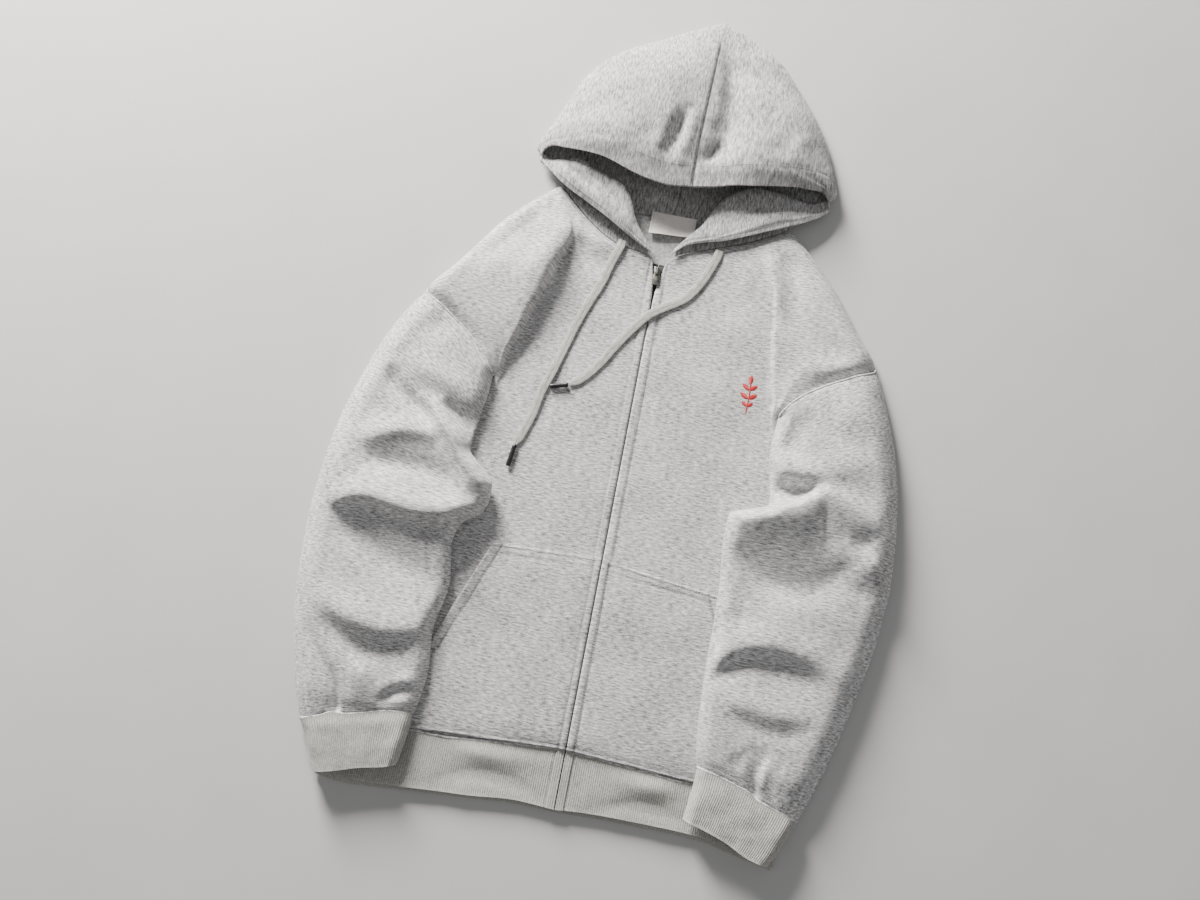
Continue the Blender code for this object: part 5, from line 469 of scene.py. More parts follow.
def sleeve(T, seam, cuffseam, table, side, rows, nt, nb, fine=False):
    """Outer rings of a sleeve, from the armhole seam to the cuff seam (rings x points)."""
    T = np.asarray(T, float); R = len(T)
    k = np.concatenate([[0], np.cumsum(.5 * np.hypot(np.diff(T[:, 0]), np.diff(T[:, 1]))
                                       + .5 * np.hypot(np.diff(T[:, 3]), np.diff(T[:, 4])))])
    t = np.interp(rows, np.arange(R), k)
    V = np.concatenate([pch(k, T[:, 0:2], t, False), pch(k, T[:, 2:3], t), pch(k, T[:, 3:5], t, True),
                        pch(k, T[:, 5:8], t), pch(k, T[:, 8:10], t, True)], axis=1)
    xo, yo, zo, xi, yi, zi, bow, hc, xq, yq = V.T
    u = spread(nt)
    w = legs(nb, [0, .5, 1])
    def along(P, q):
        P = line(P, 6); c = chord(P); return np.interp(q * c[-1], c, P[:, 0]), np.interp(q * c[-1], c, P[:, 1])
    seam = np.asarray(seam, float)
    if len(seam) == nt + 1:
        sx, sy = seam[:, 0], seam[:, 1]
    else:
        sx, sy = along(seam, u)
    cx, cy = along(cuffseam, u); wx, wy = along(cuffseam, 1 - w)
    rings = []
    n = len(t)
    for j in range(n):
        ox, oy, ix, iy = xo[j], yo[j], xi[j], yi[j]
        ex, ey = ix - ox, iy - oy; L = math.hypot(ex, ey)
        nx, ny = -ey / L, ex / L
        if ny < 0: nx, ny = -nx, -ny
        bx = ox + ex * u + nx * bow[j] * 4 * u * (1 - u); by = oy + ey * u + ny * bow[j] * 4 * u * (1 - u)
        s0 = 1 - smooth((t[j] - t[0]) / 60.0); s1 = 1 - smooth((t[-1] - t[j]) / 26.0)
        # the seam curves are given as departures from the straight line, fading along the sleeve
        a0 = (seam[0][0], seam[0][1], seam[-1][0], seam[-1][1]); a1 = (cuffseam[0][0], cuffseam[0][1], cuffseam[-1][0], cuffseam[-1][1])
        dx0 = sx - (a0[0] + (a0[2] - a0[0]) * u); dy0 = sy - (a0[1] + (a0[3] - a0[1]) * u)
        dx1 = cx - (a1[0] + (a1[2] - a1[0]) * u); dy1 = cy - (a1[1] + (a1[3] - a1[1]) * u)
        lx = ox + ex * u; ly = oy + ey * u
        X = lx + (bx - lx) * (1 - s0) * (1 - s1) + dx0 * s0 + dx1 * s1
        Y = ly + (by - ly) * (1 - s0) * (1 - s1) + dy0 * s0 + dy1 * s1
        # lower layer: inner edge -> corner -> outer edge
        b0 = chord([(ix, iy), (xq[j], yq[j]), (ox, oy)]); q = legs(nb, b0)
        BX = np.interp(q, b0, [ix, xq[j], ox]); BY = np.interp(q, b0, [iy, yq[j], oy])
        BX = BX + s1 * (wx - (a1[0] + (a1[2] - a1[0]) * (1 - w))); BY = BY + s1 * (wy - (a1[1] + (a1[3] - a1[1]) * (1 - w)))
        rings.append((X, Y, BX, BY))
    X = np.array([r[0] for r in rings]); Y = np.array([r[1] for r in rings])
    BX = np.array([r[2] for r in rings]); BY = np.array([r[3] for r in rings])
    eo = line(np.stack([xo, yo], 1), 1); ei = line(np.stack([xi, yi], 1), 1)
    do = np.abs(near(eo, X, Y)[0]); di = np.abs(near(ei, X, Y)[0])
    lin = zo[:, None] + (zi - zo)[:, None] * u[None, :]
    H = hc[:, None] + folds(table, X, Y)
    e = edge_up(do, 30.0, 1.9) * edge_up(di, 16.0, 2.3)
    Z = lin + (np.maximum(H, lin + 1.5) - lin) * e
    Z = Z + 1.4 * np.sqrt(np.clip(1 - (1 - np.clip(np.minimum(do, di) / 1.6, 0, 1)) ** 2, 0, 1))
    BO = np.abs(near(eo, BX, BY)[0]); BI = np.abs(near(ei, BX, BY)[0])
    bl = zo[:, None] + (zi - zo)[:, None] * (1 - w)[None, :]
    rz = rest(BX, BY, side)
    be = edge_up(np.minimum(BO, BI), 7.0, 2.2)
    BZ = bl - (bl - rz) * be
    P = np.concatenate([np.stack([X, Y, Z], -1), np.stack([BX, BY, BZ], -1)], axis=1)
    return P


def inside(P, nt, t, inset=2.4):
    """Inner face of a flattened tube: the upper layer moved down, the lower one up, the two edges moved in."""
    m = P.shape[1]; n = normals(P, True)
    c = np.clip(np.abs(n[..., 2]), .42, 1)
    up = P[:, :nt + 1]; lo = np.concatenate([P[:, nt:], P[:, :1]], axis=1)
    Q = P.copy()
    below = drape([lo], P[:, 1:nt, 0], P[:, 1:nt, 1], -99.0)
    room = np.where(below < -50, 99.0, P[:, 1:nt, 2] - below)
    Q[:, 1:nt, 2] = P[:, 1:nt, 2] - np.minimum(t / c[:, 1:nt], np.maximum(room * .5 - .3, .3))
    above = drape([up], P[:, nt + 1:, 0], P[:, nt + 1:, 1], -99.0)
    room = np.where(above < -50, 99.0, above - P[:, nt + 1:, 2])
    Q[:, nt + 1:, 2] = P[:, nt + 1:, 2] + np.minimum(t, np.maximum(room * .5 - .3, .3))
    for j, k in ((0, 1), (nt, nt - 1)):
        d = P[:, k, :2] - P[:, j, :2]; e = np.gradient(P[:, j, :2], axis=0)
        e = np.stack([-e[:, 1], e[:, 0]], 1) / np.linalg.norm(e, axis=1, keepdims=True)
        e[0] = d[0] / np.linalg.norm(d[0]); e[-1] = d[-1] / np.linalg.norm(d[-1])
        L = (d * e).sum(1, keepdims=True)
        Q[:, j, :2] = P[:, j, :2] + e * np.sign(L) * np.minimum(inset, .6 * np.abs(L))
        a = drape([up], Q[:, j, 0], Q[:, j, 1], -99.0); b = drape([lo], Q[:, j, 0], Q[:, j, 1], -99.0)
        i = m - 1 if j == 0 else nt + 1                          # the lower layer's neighbour
        f = np.linalg.norm(Q[:, j, :2] - P[:, j, :2], axis=1)
        fa = f / np.linalg.norm(P[:, k, :2] - P[:, j, :2], axis=1); fb = f / np.linalg.norm(P[:, i, :2] - P[:, j, :2], axis=1)
        a = np.where(a > -50, a, P[:, j, 2] + (P[:, k, 2] - P[:, j, 2]) * fa)
        b = np.where(b > -50, b, P[:, j, 2] + (P[:, i, 2] - P[:, j, 2]) * fb)
        Q[:, j, 2] = b + np.minimum(.4 * (a - b), 1.0)
    return Q


# ---------------------------------------------------------------- the cuffs
# rows from the sleeve seam to the mouth: outer edge xo,yo,zo; inner edge xi,yi,zi; height of the face
CUFF_R = [
    (-281.2, 38.4, 7.0, -163.5, 66.8, 14.8, 20.0),
    (-275.0, 30.0, 7.6, -164.0, 52.0, 15.0, 21.5),
    (-267.0, 16.0, 9.4, -166.0, 34.0, 15.0, 21.5),
    (-260.0,  3.0, 12.2, -167.5, 22.0, 15.0, 21.0),
    (-254.0, -9.0, 13.4, -169.5, 14.0, 14.8, 20.4),
]
CUFF_L = [
    (247.2, 35.9, 9.8, 136.5, 69.8, 15.2, 21.0),
    (242.0, 26.0, 11.8, 135.5, 54.0, 15.4, 23.0),
    (235.0, 12.0, 13.2, 133.5, 40.0, 15.4, 23.5),
    (229.0, -1.0, 13.6, 132.0, 28.0, 15.4, 23.5),
    (222.5,-11.5, 13.6, 130.5, 18.0, 15.2, 23.5),
]
MOUTH_R = [(-254, -9), (-235, -4.5), (-204, 5), (-180, 10.5), (-169.5, 14)]
MOUTH_L = [(222.5, -11.5), (211, -8.5), (198, -5), (176, 5), (151, 13), (130.5, 18)]


def cuff(T, top, mouth, side, rows, nt, nb):
    T = np.asarray(T, float); R = len(T)
    V = pch(np.arange(R), T, rows)
    xo, yo, zo, xi, yi, zi, zf = V.T
    u = spread(nt)
    w = legs(nb, [0, .5, 1])
    def off(P, q):
        P = line(P, 6); c = chord(P)
        x, y = np.interp(q * c[-1], c, P[:, 0]), np.interp(q * c[-1], c, P[:, 1])
        return x - (P[0, 0] + (P[-1, 0] - P[0, 0]) * q), y - (P[0, 1] + (P[-1, 1] - P[0, 1]) * q)
    out = []
    for j in range(len(rows)):
        f = rows[j] / (R - 1)
        d0x, d0y = off(top, u); d1x, d1y = off(mouth, u)
        X = xo[j] + (xi[j] - xo[j]) * u + d0x * (1 - f) + d1x * f
        Y = yo[j] + (yi[j] - yo[j]) * u + d0y * (1 - f) + d1y * f
        e0x, e0y = off(top, 1 - w); e1x, e1y = off(mouth, 1 - w)
        BX = xi[j] + (xo[j] - xi[j]) * w + e0x * (1 - f) + e1x * f
        BY = yi[j] + (yo[j] - yi[j]) * w + e0y * (1 - f) + e1y * f
        lin = zo[j] + (zi[j] - zo[j]) * u
        L = math.hypot(xi[j] - xo[j], yi[j] - yo[j])
        e = edge_up(L * u, 14.0, 2.4) * edge_up(L * (1 - u), 10.0, 2.4)
        Z = lin + (zf[j] - lin) * e + 1.2 * np.sqrt(np.clip(1 - (1 - np.clip(L * np.minimum(u, 1 - u) / 1.6, 0, 1)) ** 2, 0, 1))
        bl = zi[j] + (zo[j] - zi[j]) * w
        BZ = bl - (bl - rest(BX, BY, side)) * edge_up(L * np.minimum(w, 1 - w), 7.0, 2.2)
        out.append(np.concatenate([np.stack([X, Y, Z], -1), np.stack([BX, BY, BZ], -1)]))
    return np.array(out)


# ---------------------------------------------------------------- the hood
EYE = (12.4, 185.1, 992.2)      # the plan positions marked "seen" are as they show from here on a plane 15 mm up


def seen(x, y, z):
    k = (EYE[2] - z) / (EYE[2] - 15.0)
    return EYE[0] + (x - EYE[0]) * k, EYE[1] + (y - EYE[1]) * k, z


# rows from the centre seam, round the mouth's edge, to the neck point. f: mouth edge, a, b: on the face (seen);
# c: where the sheet turns (true for the crown's outline, seen for the collar's roll), r: half height of the turn;
# d: middle of the lower layer, e: its end at the centre seam or the neck seam (true); n: place along the neck seam
HOOD_R = [
    # f               a                b                c                  r    d                 e
    ((21.6, 711, 33), (20.6, 762, 37), (22.8, 850, 35), (24.7, 937, 6.4),  4.6, (24.4, 930, 1.5), (24.2, 922, 1.5), None),
    ((-4, 708, 34),   (-6, 765, 41),   (-5, 860, 37),   (-5, 923, 6.4),    4.6, (8, 903, 1.5),    (22.4, 893, 1.5), None),
    ((-30, 711, 36),  (-34, 768, 46),  (-35, 848, 39),  (-44, 901, 6.4),   4.6, (-12, 875, 1.5),  (20.4, 862, 1.5), None),
    ((-58, 719, 36),  (-66, 770, 46),  (-76, 833, 36),  (-91, 875, 6.4),   4.6, (-36, 845, 1.5),  (18.0, 828, 1.5), None),
    ((-86, 729, 34),  (-94, 765, 42),  (-106, 810, 32), (-125, 841, 6.4),  4.6, (-54, 810, 1.5),  (15.0, 792, 1.5), None),
    ((-112, 732, 30), (-118, 757, 35), (-128, 785, 28), (-144, 796, 6.4),  4.6, (-64, 772, 1.5),  (12.4, 757, 1.5), None),
    ((-136, 732, 25), (-141, 746, 27), (-148, 760, 22), (-158, 760, 6.6),  4.6, (-70, 737, 1.5),  (10.4, 725, 1.5), None),
    ((-154, 730, 19), (-157, 736, 19), (-161, 742, 16), (-167.5, 738, 7),  4.2, (-74, 713, 1.5),  (8.8, 703, 1.5), None),
    ((-160, 721, 13.5), (-163.5, 724.5, 12), (-166.5, 727.5, 10),  (-169, 730.5, 5.3), 3.2, (-78, 704, 1.5),  (7.4, 688, 1.5), None),
    ((-161, 711, 10), (-156.5, 712.4, 9.0), (-151.5, 713.2, 8.6), (-142, 711, 5.2), 3.2, (-74, 693, 1.6),  (6.0, 671.0, 1.3), None),
    ((-154, 705, 11), (-149, 708, 12), (-144, 711, 12), (-137, 715, 8.0),  3.2, (-104, 697, 2.2), (-60, 673.2, 1.6), None),
    ((-147, 700, 13), (-141, 705, 15), (-136, 710, 15.5), (-131, 716, 10.6), 3.6, (-123, 701, 3.6), (-108, 681.6, 2.4), None),
    ((-136, 691.5, 15.5), (-129, 699, 19), (-122, 709, 19.5), (-116, 720, 12.8), 4.0, (-127, 703, 7.0), (-128, 687.4, 4.9), None),
    ((-120, 681, 18), (-113, 690, 21), (-105, 702, 21), (-98, 712, 13.5),  4.6, (-111, 699, 8.8),  None, 0.955),
    ((-98, 669.5, 19), (-92, 678, 22), (-84, 692, 21),  (-77, 705, 13.5),  4.6, (-86, 690, 8.2),  None, 0.82),
    ((-75, 657, 19),  (-70, 666, 22),  (-65, 682, 21),  (-60, 699, 13.5),  4.6, (-70, 680, 8.4),  None, 0.65),
    ((-53, 644, 18),  (-50, 652, 21),  (-48, 665, 20),  (-46, 680, 13.2),  4.2, (-55, 661, 8.6),  None, 0.48),
    ((-34, 632.5, 16), (-34, 638, 18), (-35, 647, 17),  (-37, 657, 12.8),  3.4, (-43, 643, 9.0),  None, 0.31),
    ((-20, 624.5, 14), (-21, 628, 15.5), (-22, 633, 15), (-24, 639, 12),   2.4, (-28, 630, 9.2),  None, 0.16),
    ((-11, 620.5, 12.6), (-11.6, 622, 13.6), (-12.4, 624, 13.6), (-13.4, 626, 11.8), 1.6, (-15, 623.4, 9.6), None, 0.055),
]
HOOD_L = [
    ((22.4, 711, 33), (21.4, 762, 37), (23.6, 850, 35), (25.5, 937, 6.4),  4.6, (25.2, 930, 1.5), (25.0, 922, 1.5), None),
    ((45, 715, 34),   (48, 765, 38),   (52, 850, 34),   (61, 921, 6.4),    4.6, (42, 901, 1.5),   (23.4, 893, 1.5), None),
    ((70, 722, 35),   (75, 770, 42),   (85, 838, 36),   (97, 898, 6.4),    4.6, (58, 876, 1.5),   (21.4, 862, 1.5), None),
    ((95, 726, 35),   (102, 770, 44),  (115, 823, 36),  (128, 862, 6.4),   4.6, (72, 842, 1.5),   (19.0, 828, 1.5), None),
    ((118, 730, 33),  (126, 764, 41),  (138, 803, 33),  (152, 829, 6.4),   4.6, (82, 806, 1.5),   (16.0, 792, 1.5), None),
    ((140, 733, 30),  (147, 757, 35),  (156, 781, 28),  (170, 797, 6.4),   4.6, (90, 772, 1.5),   (13.4, 757, 1.5), None),
    ((160, 733, 25),  (165, 747, 27),  (171, 760, 22),  (181.5, 767, 6.6), 4.6, (96, 740, 1.5),   (11.4, 725, 1.5), None),
    ((175, 731, 19),  (179, 737, 19),  (183, 743, 16),  (188.5, 745, 7),   4.2, (99, 716, 1.5),   (9.8, 703, 1.5), None),
    ((181, 723, 13.5),  (184.5, 727, 12),  (187.5, 731, 10),   (190.8, 735, 5.9), 3.2, (102, 706, 1.5),  (8.4, 688, 1.5), None),
    ((184, 712, 10),  (178, 713, 9.2), (172, 714, 8.8), (163, 714, 5.6),   3.2, (100, 695, 1.7),  (6.8, 671.0, 1.3), None),
    ((176, 702, 11),  (170, 705, 12),  (164, 709, 12),  (155, 714, 8.0),   3.2, (120, 694, 2.2),  (72, 672.6, 1.6), None),
    ((168, 696.5, 12.5), (160, 702, 14.5), (152, 708, 14.5), (145, 716, 10.4), 3.6, (137, 697, 3.6), (122, 677.4, 2.4), None),
    ((154, 688.5, 14.5), (144, 698, 17), (132, 709, 17), (122, 721, 11.8), 3.8, (143, 700, 6.8),  (142, 682.4, 4.9), None),
    ((140, 682, 16),  (127, 694, 18),  (109, 711, 18),  (98, 723, 12.8),   4.4, (122, 700, 8.6),  None, 0.955),
    ((118, 672, 18),  (105, 684, 20),  (89, 702, 20),   (77, 715, 13.5),   4.6, (90, 694, 8),     None, 0.82),
    ((94, 661, 19),   (84, 670, 21),   (73, 688, 20),   (62, 702, 13.5),   4.6, (75, 681, 8.2),   None, 0.66),
    ((70, 650.5, 18), (63, 658, 20),   (57, 671, 19),   (51, 684, 13.2),   4.2, (60, 665, 8.6),   None, 0.50),
    ((48, 644, 16.5), (45, 649, 18),   (43, 657, 17),   (42, 665, 12.8),   3.4, (47, 652, 9.0),   None, 0.34),
    ((30, 637.5, 15), (29, 641, 16),   (29, 646, 15.5), (31, 651, 12.2),   2.6, (34, 641, 9.2),   None, 0.19),
    ((12.4, 622.5, 12.8), (13, 624.4, 13.8), (13.6, 626.6, 13.8), (14.6, 629, 12), 1.6, (16.4, 625.6, 9.8), None, 0.06),
]
FOLD_HOOD = [
    # beside the centre seam, low on the crown: a sharp dip each side, a small ridge crossing on the right
    [(-2, 792, 0, 5, 9), (-4, 778, -6, 5, 12), (-6, 758, -7, 5, 12), (-12, 736, -4, 5, 9), (-18, 722, 0, 5, 8)],
    [(-16, 800, 0, 12, 6), (-18, 776, 3, 14, 7), (-24, 744, 2, 14, 7), (-26, 724, 0, 10, 7)],
    [(30, 788, 0, 9, 7), (36, 772, -7, 12, 7), (33, 752, -7, 12, 7), (28, 736, -3, 9, 6), (26, 724, 0, 8, 6)],
    [(50, 782, 0, 5, 6), (40, 766, 3.4, 5, 6), (28, 750, 3.4, 5, 5), (16, 742, 0, 5, 5)],
    # long valley to the right of the seam, the shade above it
    [(28, 912, 0, 8, 8), (38, 880, -4, 14, 9), (46, 838, -7, 18, 11), (52, 796, -7, 18, 12), (56, 764, -4, 16, 12), (60, 738, 0, 12, 12)],
    [(46, 876, 0, 9, 7), (66, 866, -3, 11, 7), (92, 855, -2.5, 11, 7), (108, 848, 0, 9, 7)],
    [(54, 892, 0, 9, 7), (76, 880, 2.2, 10, 7), (98, 868, 0, 10, 7)],
    # faint crease and soft waves
    [(-64, 842, 0, 4, 5), (-46, 850, -1.5, 3, 4), (-14, 862, -1.5, 3, 4), (-2, 868, 0, 4, 5)],
    [(-152, 760, 0, 8, 8), (-132, 770, -3, 9, 9), (-108, 782, -2, 10, 10), (-92, 792, 0, 9, 9)],
    [(-58, 762, 0, 10, 10), (-40, 752, -2.4, 12, 10), (-24, 744, 0, 10, 9)],
    [(88, 752, 0, 10, 9), (112, 762, -2.2, 12, 10), (134, 776, 0, 10, 9)],
    [(128, 762, 0, 8, 8), (138, 778, 2.2, 9, 9), (146, 796, 0, 8, 8)],
]
FOLD_COLLAR = [
    # lengthwise creases of the turned-out collar
    [(-134, 712, 0, 4, 4), (-118, 702, -3.2, 4, 4), (-100, 690, -3.2, 4, 5), (-84, 680, 0, 4, 5)],
    [(-108, 706, 0, 4, 4), (-94, 698, -2.6, 4, 4), (-76, 688, -2.6, 4, 4), (-60, 672, -1.6, 4, 4), (-50, 656, 0, 4, 4)],
    [(-140, 704, 0, 5, 5), (-118, 690, 2.0, 5, 5), (-92, 674, 1.6, 5, 5), (-70, 662, 0, 5, 5)],
    [(112, 700, 0, 6, 6), (96, 690, -2.0, 7, 6), (80, 680, 0, 7, 6)],
    [(150, 700, 0, 5, 6), (128, 690, 1.8, 5, 6), (104, 676, 1.4, 5, 6), (84, 664, 0, 5, 6)],
]


def neck_edge(T, a, b):
    """The front panel's neck seam: from the zip end to the shoulder point, x, y, z."""
    P = np.array([(r[0], r[1], r[6]) for r in T[a:b]], float)
    t = chord(P)
    q = np.linspace(0, t[-1], 60)
    return np.concatenate([pch(t, P[:, :2], q, True), pch(t, P[:, 2:], q)], axis=1)


def hood(T, neck, side, q_rows, q_cols, gap=0.7):
    """Middle surface of a hood half (rows x columns) from its table."""
    c = chord(neck); rows = []
    for f, a, b, cc, r, d, e, n in T:
        f, a, b = seen(*f), seen(*a), seen(*b)
        crown = n is None and e[1] > 687.5
        if not crown: cc = seen(*cc)
        if e is None:
            x = np.interp(n * c[-1], c, neck[:, 0]); y = np.interp(n * c[-1], c, neck[:, 1]); z = np.interp(n * c[-1], c, neck[:, 2])
            x2 = np.interp(n * c[-1] + 1, c, neck[:, 0]); y2 = np.interp(n * c[-1] + 1, c, neck[:, 1])
            tx, ty = x2 - x, y2 - y; L = math.hypot(tx, ty); nx, ny = -ty / L, tx / L
            if ny < 0: nx, ny = -nx, -ny
            e = (x + nx * gap, y + ny * gap, z - 1.1)
        d = tuple(d)
        P = [np.array(p, float) for p in (f, a, b, cc, d, e)]
        C = P[3]
        u1 = (P[2] - C)[:2]; u1 /= max(np.linalg.norm(u1), 1e-6)
        u2 = (P[4] - C)[:2]; u2 /= max(np.linalg.norm(u2), 1e-6)
        k = min(3.2, 0.42 * np.linalg.norm((P[2] - C)[:2]), 0.42 * np.linalg.norm((P[4] - C)[:2])) + .3
        s = r / 4.6
        B1 = np.array([C[0] + u1[0] * k, C[1] + u1[1] * k, C[2] + r * .92])
        D1 = np.array([C[0] + u2[0] * k, C[1] + u2[1] * k, max(C[2] - r * .92, 1.5)])
        k2 = 3.6 * k
        l2 = np.linalg.norm((P[4] - C)[:2])
        D2 = D1 + (P[4] - D1) * min(.35, max(.15, k2 / max(l2, 1)))
        D2[2] = max(C[2] - r * 1.05, 1.5) if crown or n is not None else max(P[4][2] * .55 + (C[2] - r) * .45, 1.5)
        rows.append([P[0], P[1], P[2], B1, C, D1, D2, P[4], P[5]])
    w = smooth((q_rows - 6.9) / .6) * (1 - smooth((q_rows - 13.0) / 1.0))
    w = w[:, None, None]
    G = sweep(np.array(rows), q_rows, q_cols, False) * (1 - w) + sweep(np.array(rows), q_rows, q_cols, True) * w
    k = np.asarray(q_rows) <= 9.001                              # the centre seam's under side
    G[k, -1, 0] = np.interp(G[k, -1, 1], [671.0, 688, 703, 725, 757, 792, 828, 862, 893, 922],
                            [6.4, 7.9, 9.3, 10.9, 12.9, 15.5, 18.5, 20.9, 22.9, 24.6]) + side * 0.45
    return G


def hood_normals(G, q_rows, q_cols):
    """Normals of a hood half, kept square to the centre seam along it."""
    n = normals(G); q_rows = np.asarray(q_rows)
    one = int(np.argmin(np.abs(q_rows - 1)))
    n[np.ix_(q_rows < .999, q_cols > 5.9)] = (0, 0, np.sign(n[one, -1, 2]))
    n[0, :, 0] = 0
    k = q_rows <= 9.001
    n[k, -1, 0] *= 0
    for _ in range(2):
        n[1:-1, 1:-1] = (n[1:-1, 1:-1] * 2 + n[:-2, 1:-1] + n[2:, 1:-1] + n[1:-1, :-2] + n[1:-1, 2:]) / 6
    return n / np.maximum(np.linalg.norm(n, axis=2, keepdims=True), 1e-9)


def hood_folds(G, q_rows, q_cols, side):
    """Folds on the face of the crown and of the collar (columns up to the turn)."""
    w = np.clip(np.minimum(q_cols / 0.25, (3.4 - q_cols) / 0.8), 0, 1)[None, :]
    w = smooth(w)
    cr = smooth((9.0 - q_rows) / 1.5)[:, None]; co = smooth((q_rows - 9.5) / 1.5)[:, None]
    Z = folds(FOLD_HOOD, G[..., 0], G[..., 1]) * w * cr + folds(FOLD_COLLAR, G[..., 0], G[..., 1]) * w * co
    G = G.copy(); G[..., 2] += Z
    return G


def thick(G, q_rows, q_cols, rim, t):
    """Half thickness of a hood half: heavier along the mouth's casing, thinner in the tight turns."""
    q_rows = np.asarray(q_rows, float)
    h = (t + (rim - t) * (1 - smooth((q_cols - 0.55) / 0.25)))[None, :] * np.ones(G.shape[:2])
    k = smooth((q_rows - 7.6) / 1.4) * (1 - smooth((q_rows - 12.6) / 1.2))
    h *= 1 - .5 * k[:, None] * smooth((q_cols - 3.4) / 1.2)[None, :]
    k = np.exp(-((q_rows - 8.0) / 1.1) ** 2)
    h *= 1 - .5 * k[:, None] * (1 - smooth((q_cols - 3.0) / 1.0))[None, :]
    h *= 1 - .55 * smooth((q_rows - 16.2) / 1.8)[:, None]
    return h[..., None] * 0.5


# ---------------------------------------------------------------- small helpers for what lies on the panels
def drape(grids, X, Y, none=2.0):
    """Height of the highest of the given face grids at X, Y."""
    X = np.asarray(X, float); Y = np.asarray(Y, float); sh = X.shape; X = X.ravel(); Y = Y.ravel()
    out = np.full(X.shape, float(none))
    for P in grids:
        a = np.concatenate([P[:-1, :-1].reshape(-1, 3), P[:-1, :-1].reshape(-1, 3)])
        b = np.concatenate([P[:-1, 1:].reshape(-1, 3), P[1:, 1:].reshape(-1, 3)])
        c = np.concatenate([P[1:, 1:].reshape(-1, 3), P[1:, :-1].reshape(-1, 3)])
        det = (b[:, 0] - a[:, 0]) * (c[:, 1] - a[:, 1]) - (c[:, 0] - a[:, 0]) * (b[:, 1] - a[:, 1])
        ok = np.abs(det) > 1e-9; a, b, c, det = a[ok], b[ok], c[ok], det[ok]
        for i in range(len(X)):
            px, py = X[i] - a[:, 0], Y[i] - a[:, 1]
            u = (px * (c[:, 1] - a[:, 1]) - py * (c[:, 0] - a[:, 0])) / det
            v = (py * (b[:, 0] - a[:, 0]) - px * (b[:, 1] - a[:, 1])) / det
            k = (u >= -1e-6) & (v >= -1e-6) & (u + v <= 1 + 1e-6)
            if k.any():
                z = a[k, 2] + u[k] * (b[k, 2] - a[k, 2]) + v[k] * (c[k, 2] - a[k, 2])
                out[i] = max(out[i], z.max())
    return out.reshape(sh)


def rod(path, section, up=None, turn=None):
    """Closed sweep of a section (points across, up) along a path; turn: degrees about the path."""
    path = np.asarray(path, float); n = len(path)
    t = np.gradient(path, axis=0); t /= np.linalg.norm(t, axis=1, keepdims=True)
    up = np.array([0, 0, 1.0]) if up is None else np.asarray(up, float)
    s = np.cross(t, up); s /= np.linalg.norm(s, axis=1, keepdims=True)
    w = np.cross(s, t)
    turn = np.zeros(n) if turn is None else np.radians(turn)
    sec = np.asarray(section, float); m = len(sec)
    if sec.ndim == 2: sec = np.repeat(sec[None], n, 0)
    m = sec.shape[1]
    c, si = np.cos(turn)[:, None], np.sin(turn)[:, None]
    A = sec[:, :, 0] * c - sec[:, :, 1] * si; B = sec[:, :, 0] * si + sec[:, :, 1] * c
    P = path[:, None, :] + s[:, None, :] * A[..., None] + w[:, None, :] * B[..., None]
    idx = np.arange(n * m).reshape(n, m)
    F = tri_quads(idx, n, m, True)
    V = np.concatenate([P.reshape(-1, 3), path[:1], path[-1:]])
    for j in range(m):
        F += [(n * m, idx[0, (j + 1) % m], idx[0, j]), (n * m + 1, idx[-1, j], idx[-1, (j + 1) % m])]
    return closed(V, F)


def oval(a, b, n, p=2.0):
    q = np.arange(n) * 2 * np.pi / n
    return np.stack([a * np.sign(np.cos(q)) * np.abs(np.cos(q)) ** (2 / p), b * np.sign(np.sin(q)) * np.abs(np.sin(q)) ** (2 / p)], 1)


def block(outline, z0, z1, bevel=0.0):
    """Closed body over a plan outline (counter-clockwise, star-shaped about its middle), edges eased at the top."""
    O = np.asarray(outline, float); m = O.mean(0); n = len(O)
    I = m + (O - m) * (1 - bevel / np.linalg.norm(O - m, axis=1, keepdims=True)) if bevel else O
    L = [np.c_[O, np.full(n, z0)], np.c_[O, np.full(n, z1 - bevel)]] + ([np.c_[I, np.full(n, z1)]] if bevel else [])
    V = np.concatenate(L + [[(m[0], m[1], z0), (m[0], m[1], z1)]]); k = len(L)
    F = []
    for r in range(k - 1):
        for j in range(n):
            a, b = r * n + j, r * n + (j + 1) % n
            F += [(a, b, b + n), (a, b + n, a + n)]
    for j in range(n):
        F += [(k * n, (j + 1) % n, j), (k * n + 1, (k - 1) * n + j, (k - 1) * n + (j + 1) % n)]
    return closed(V, F)


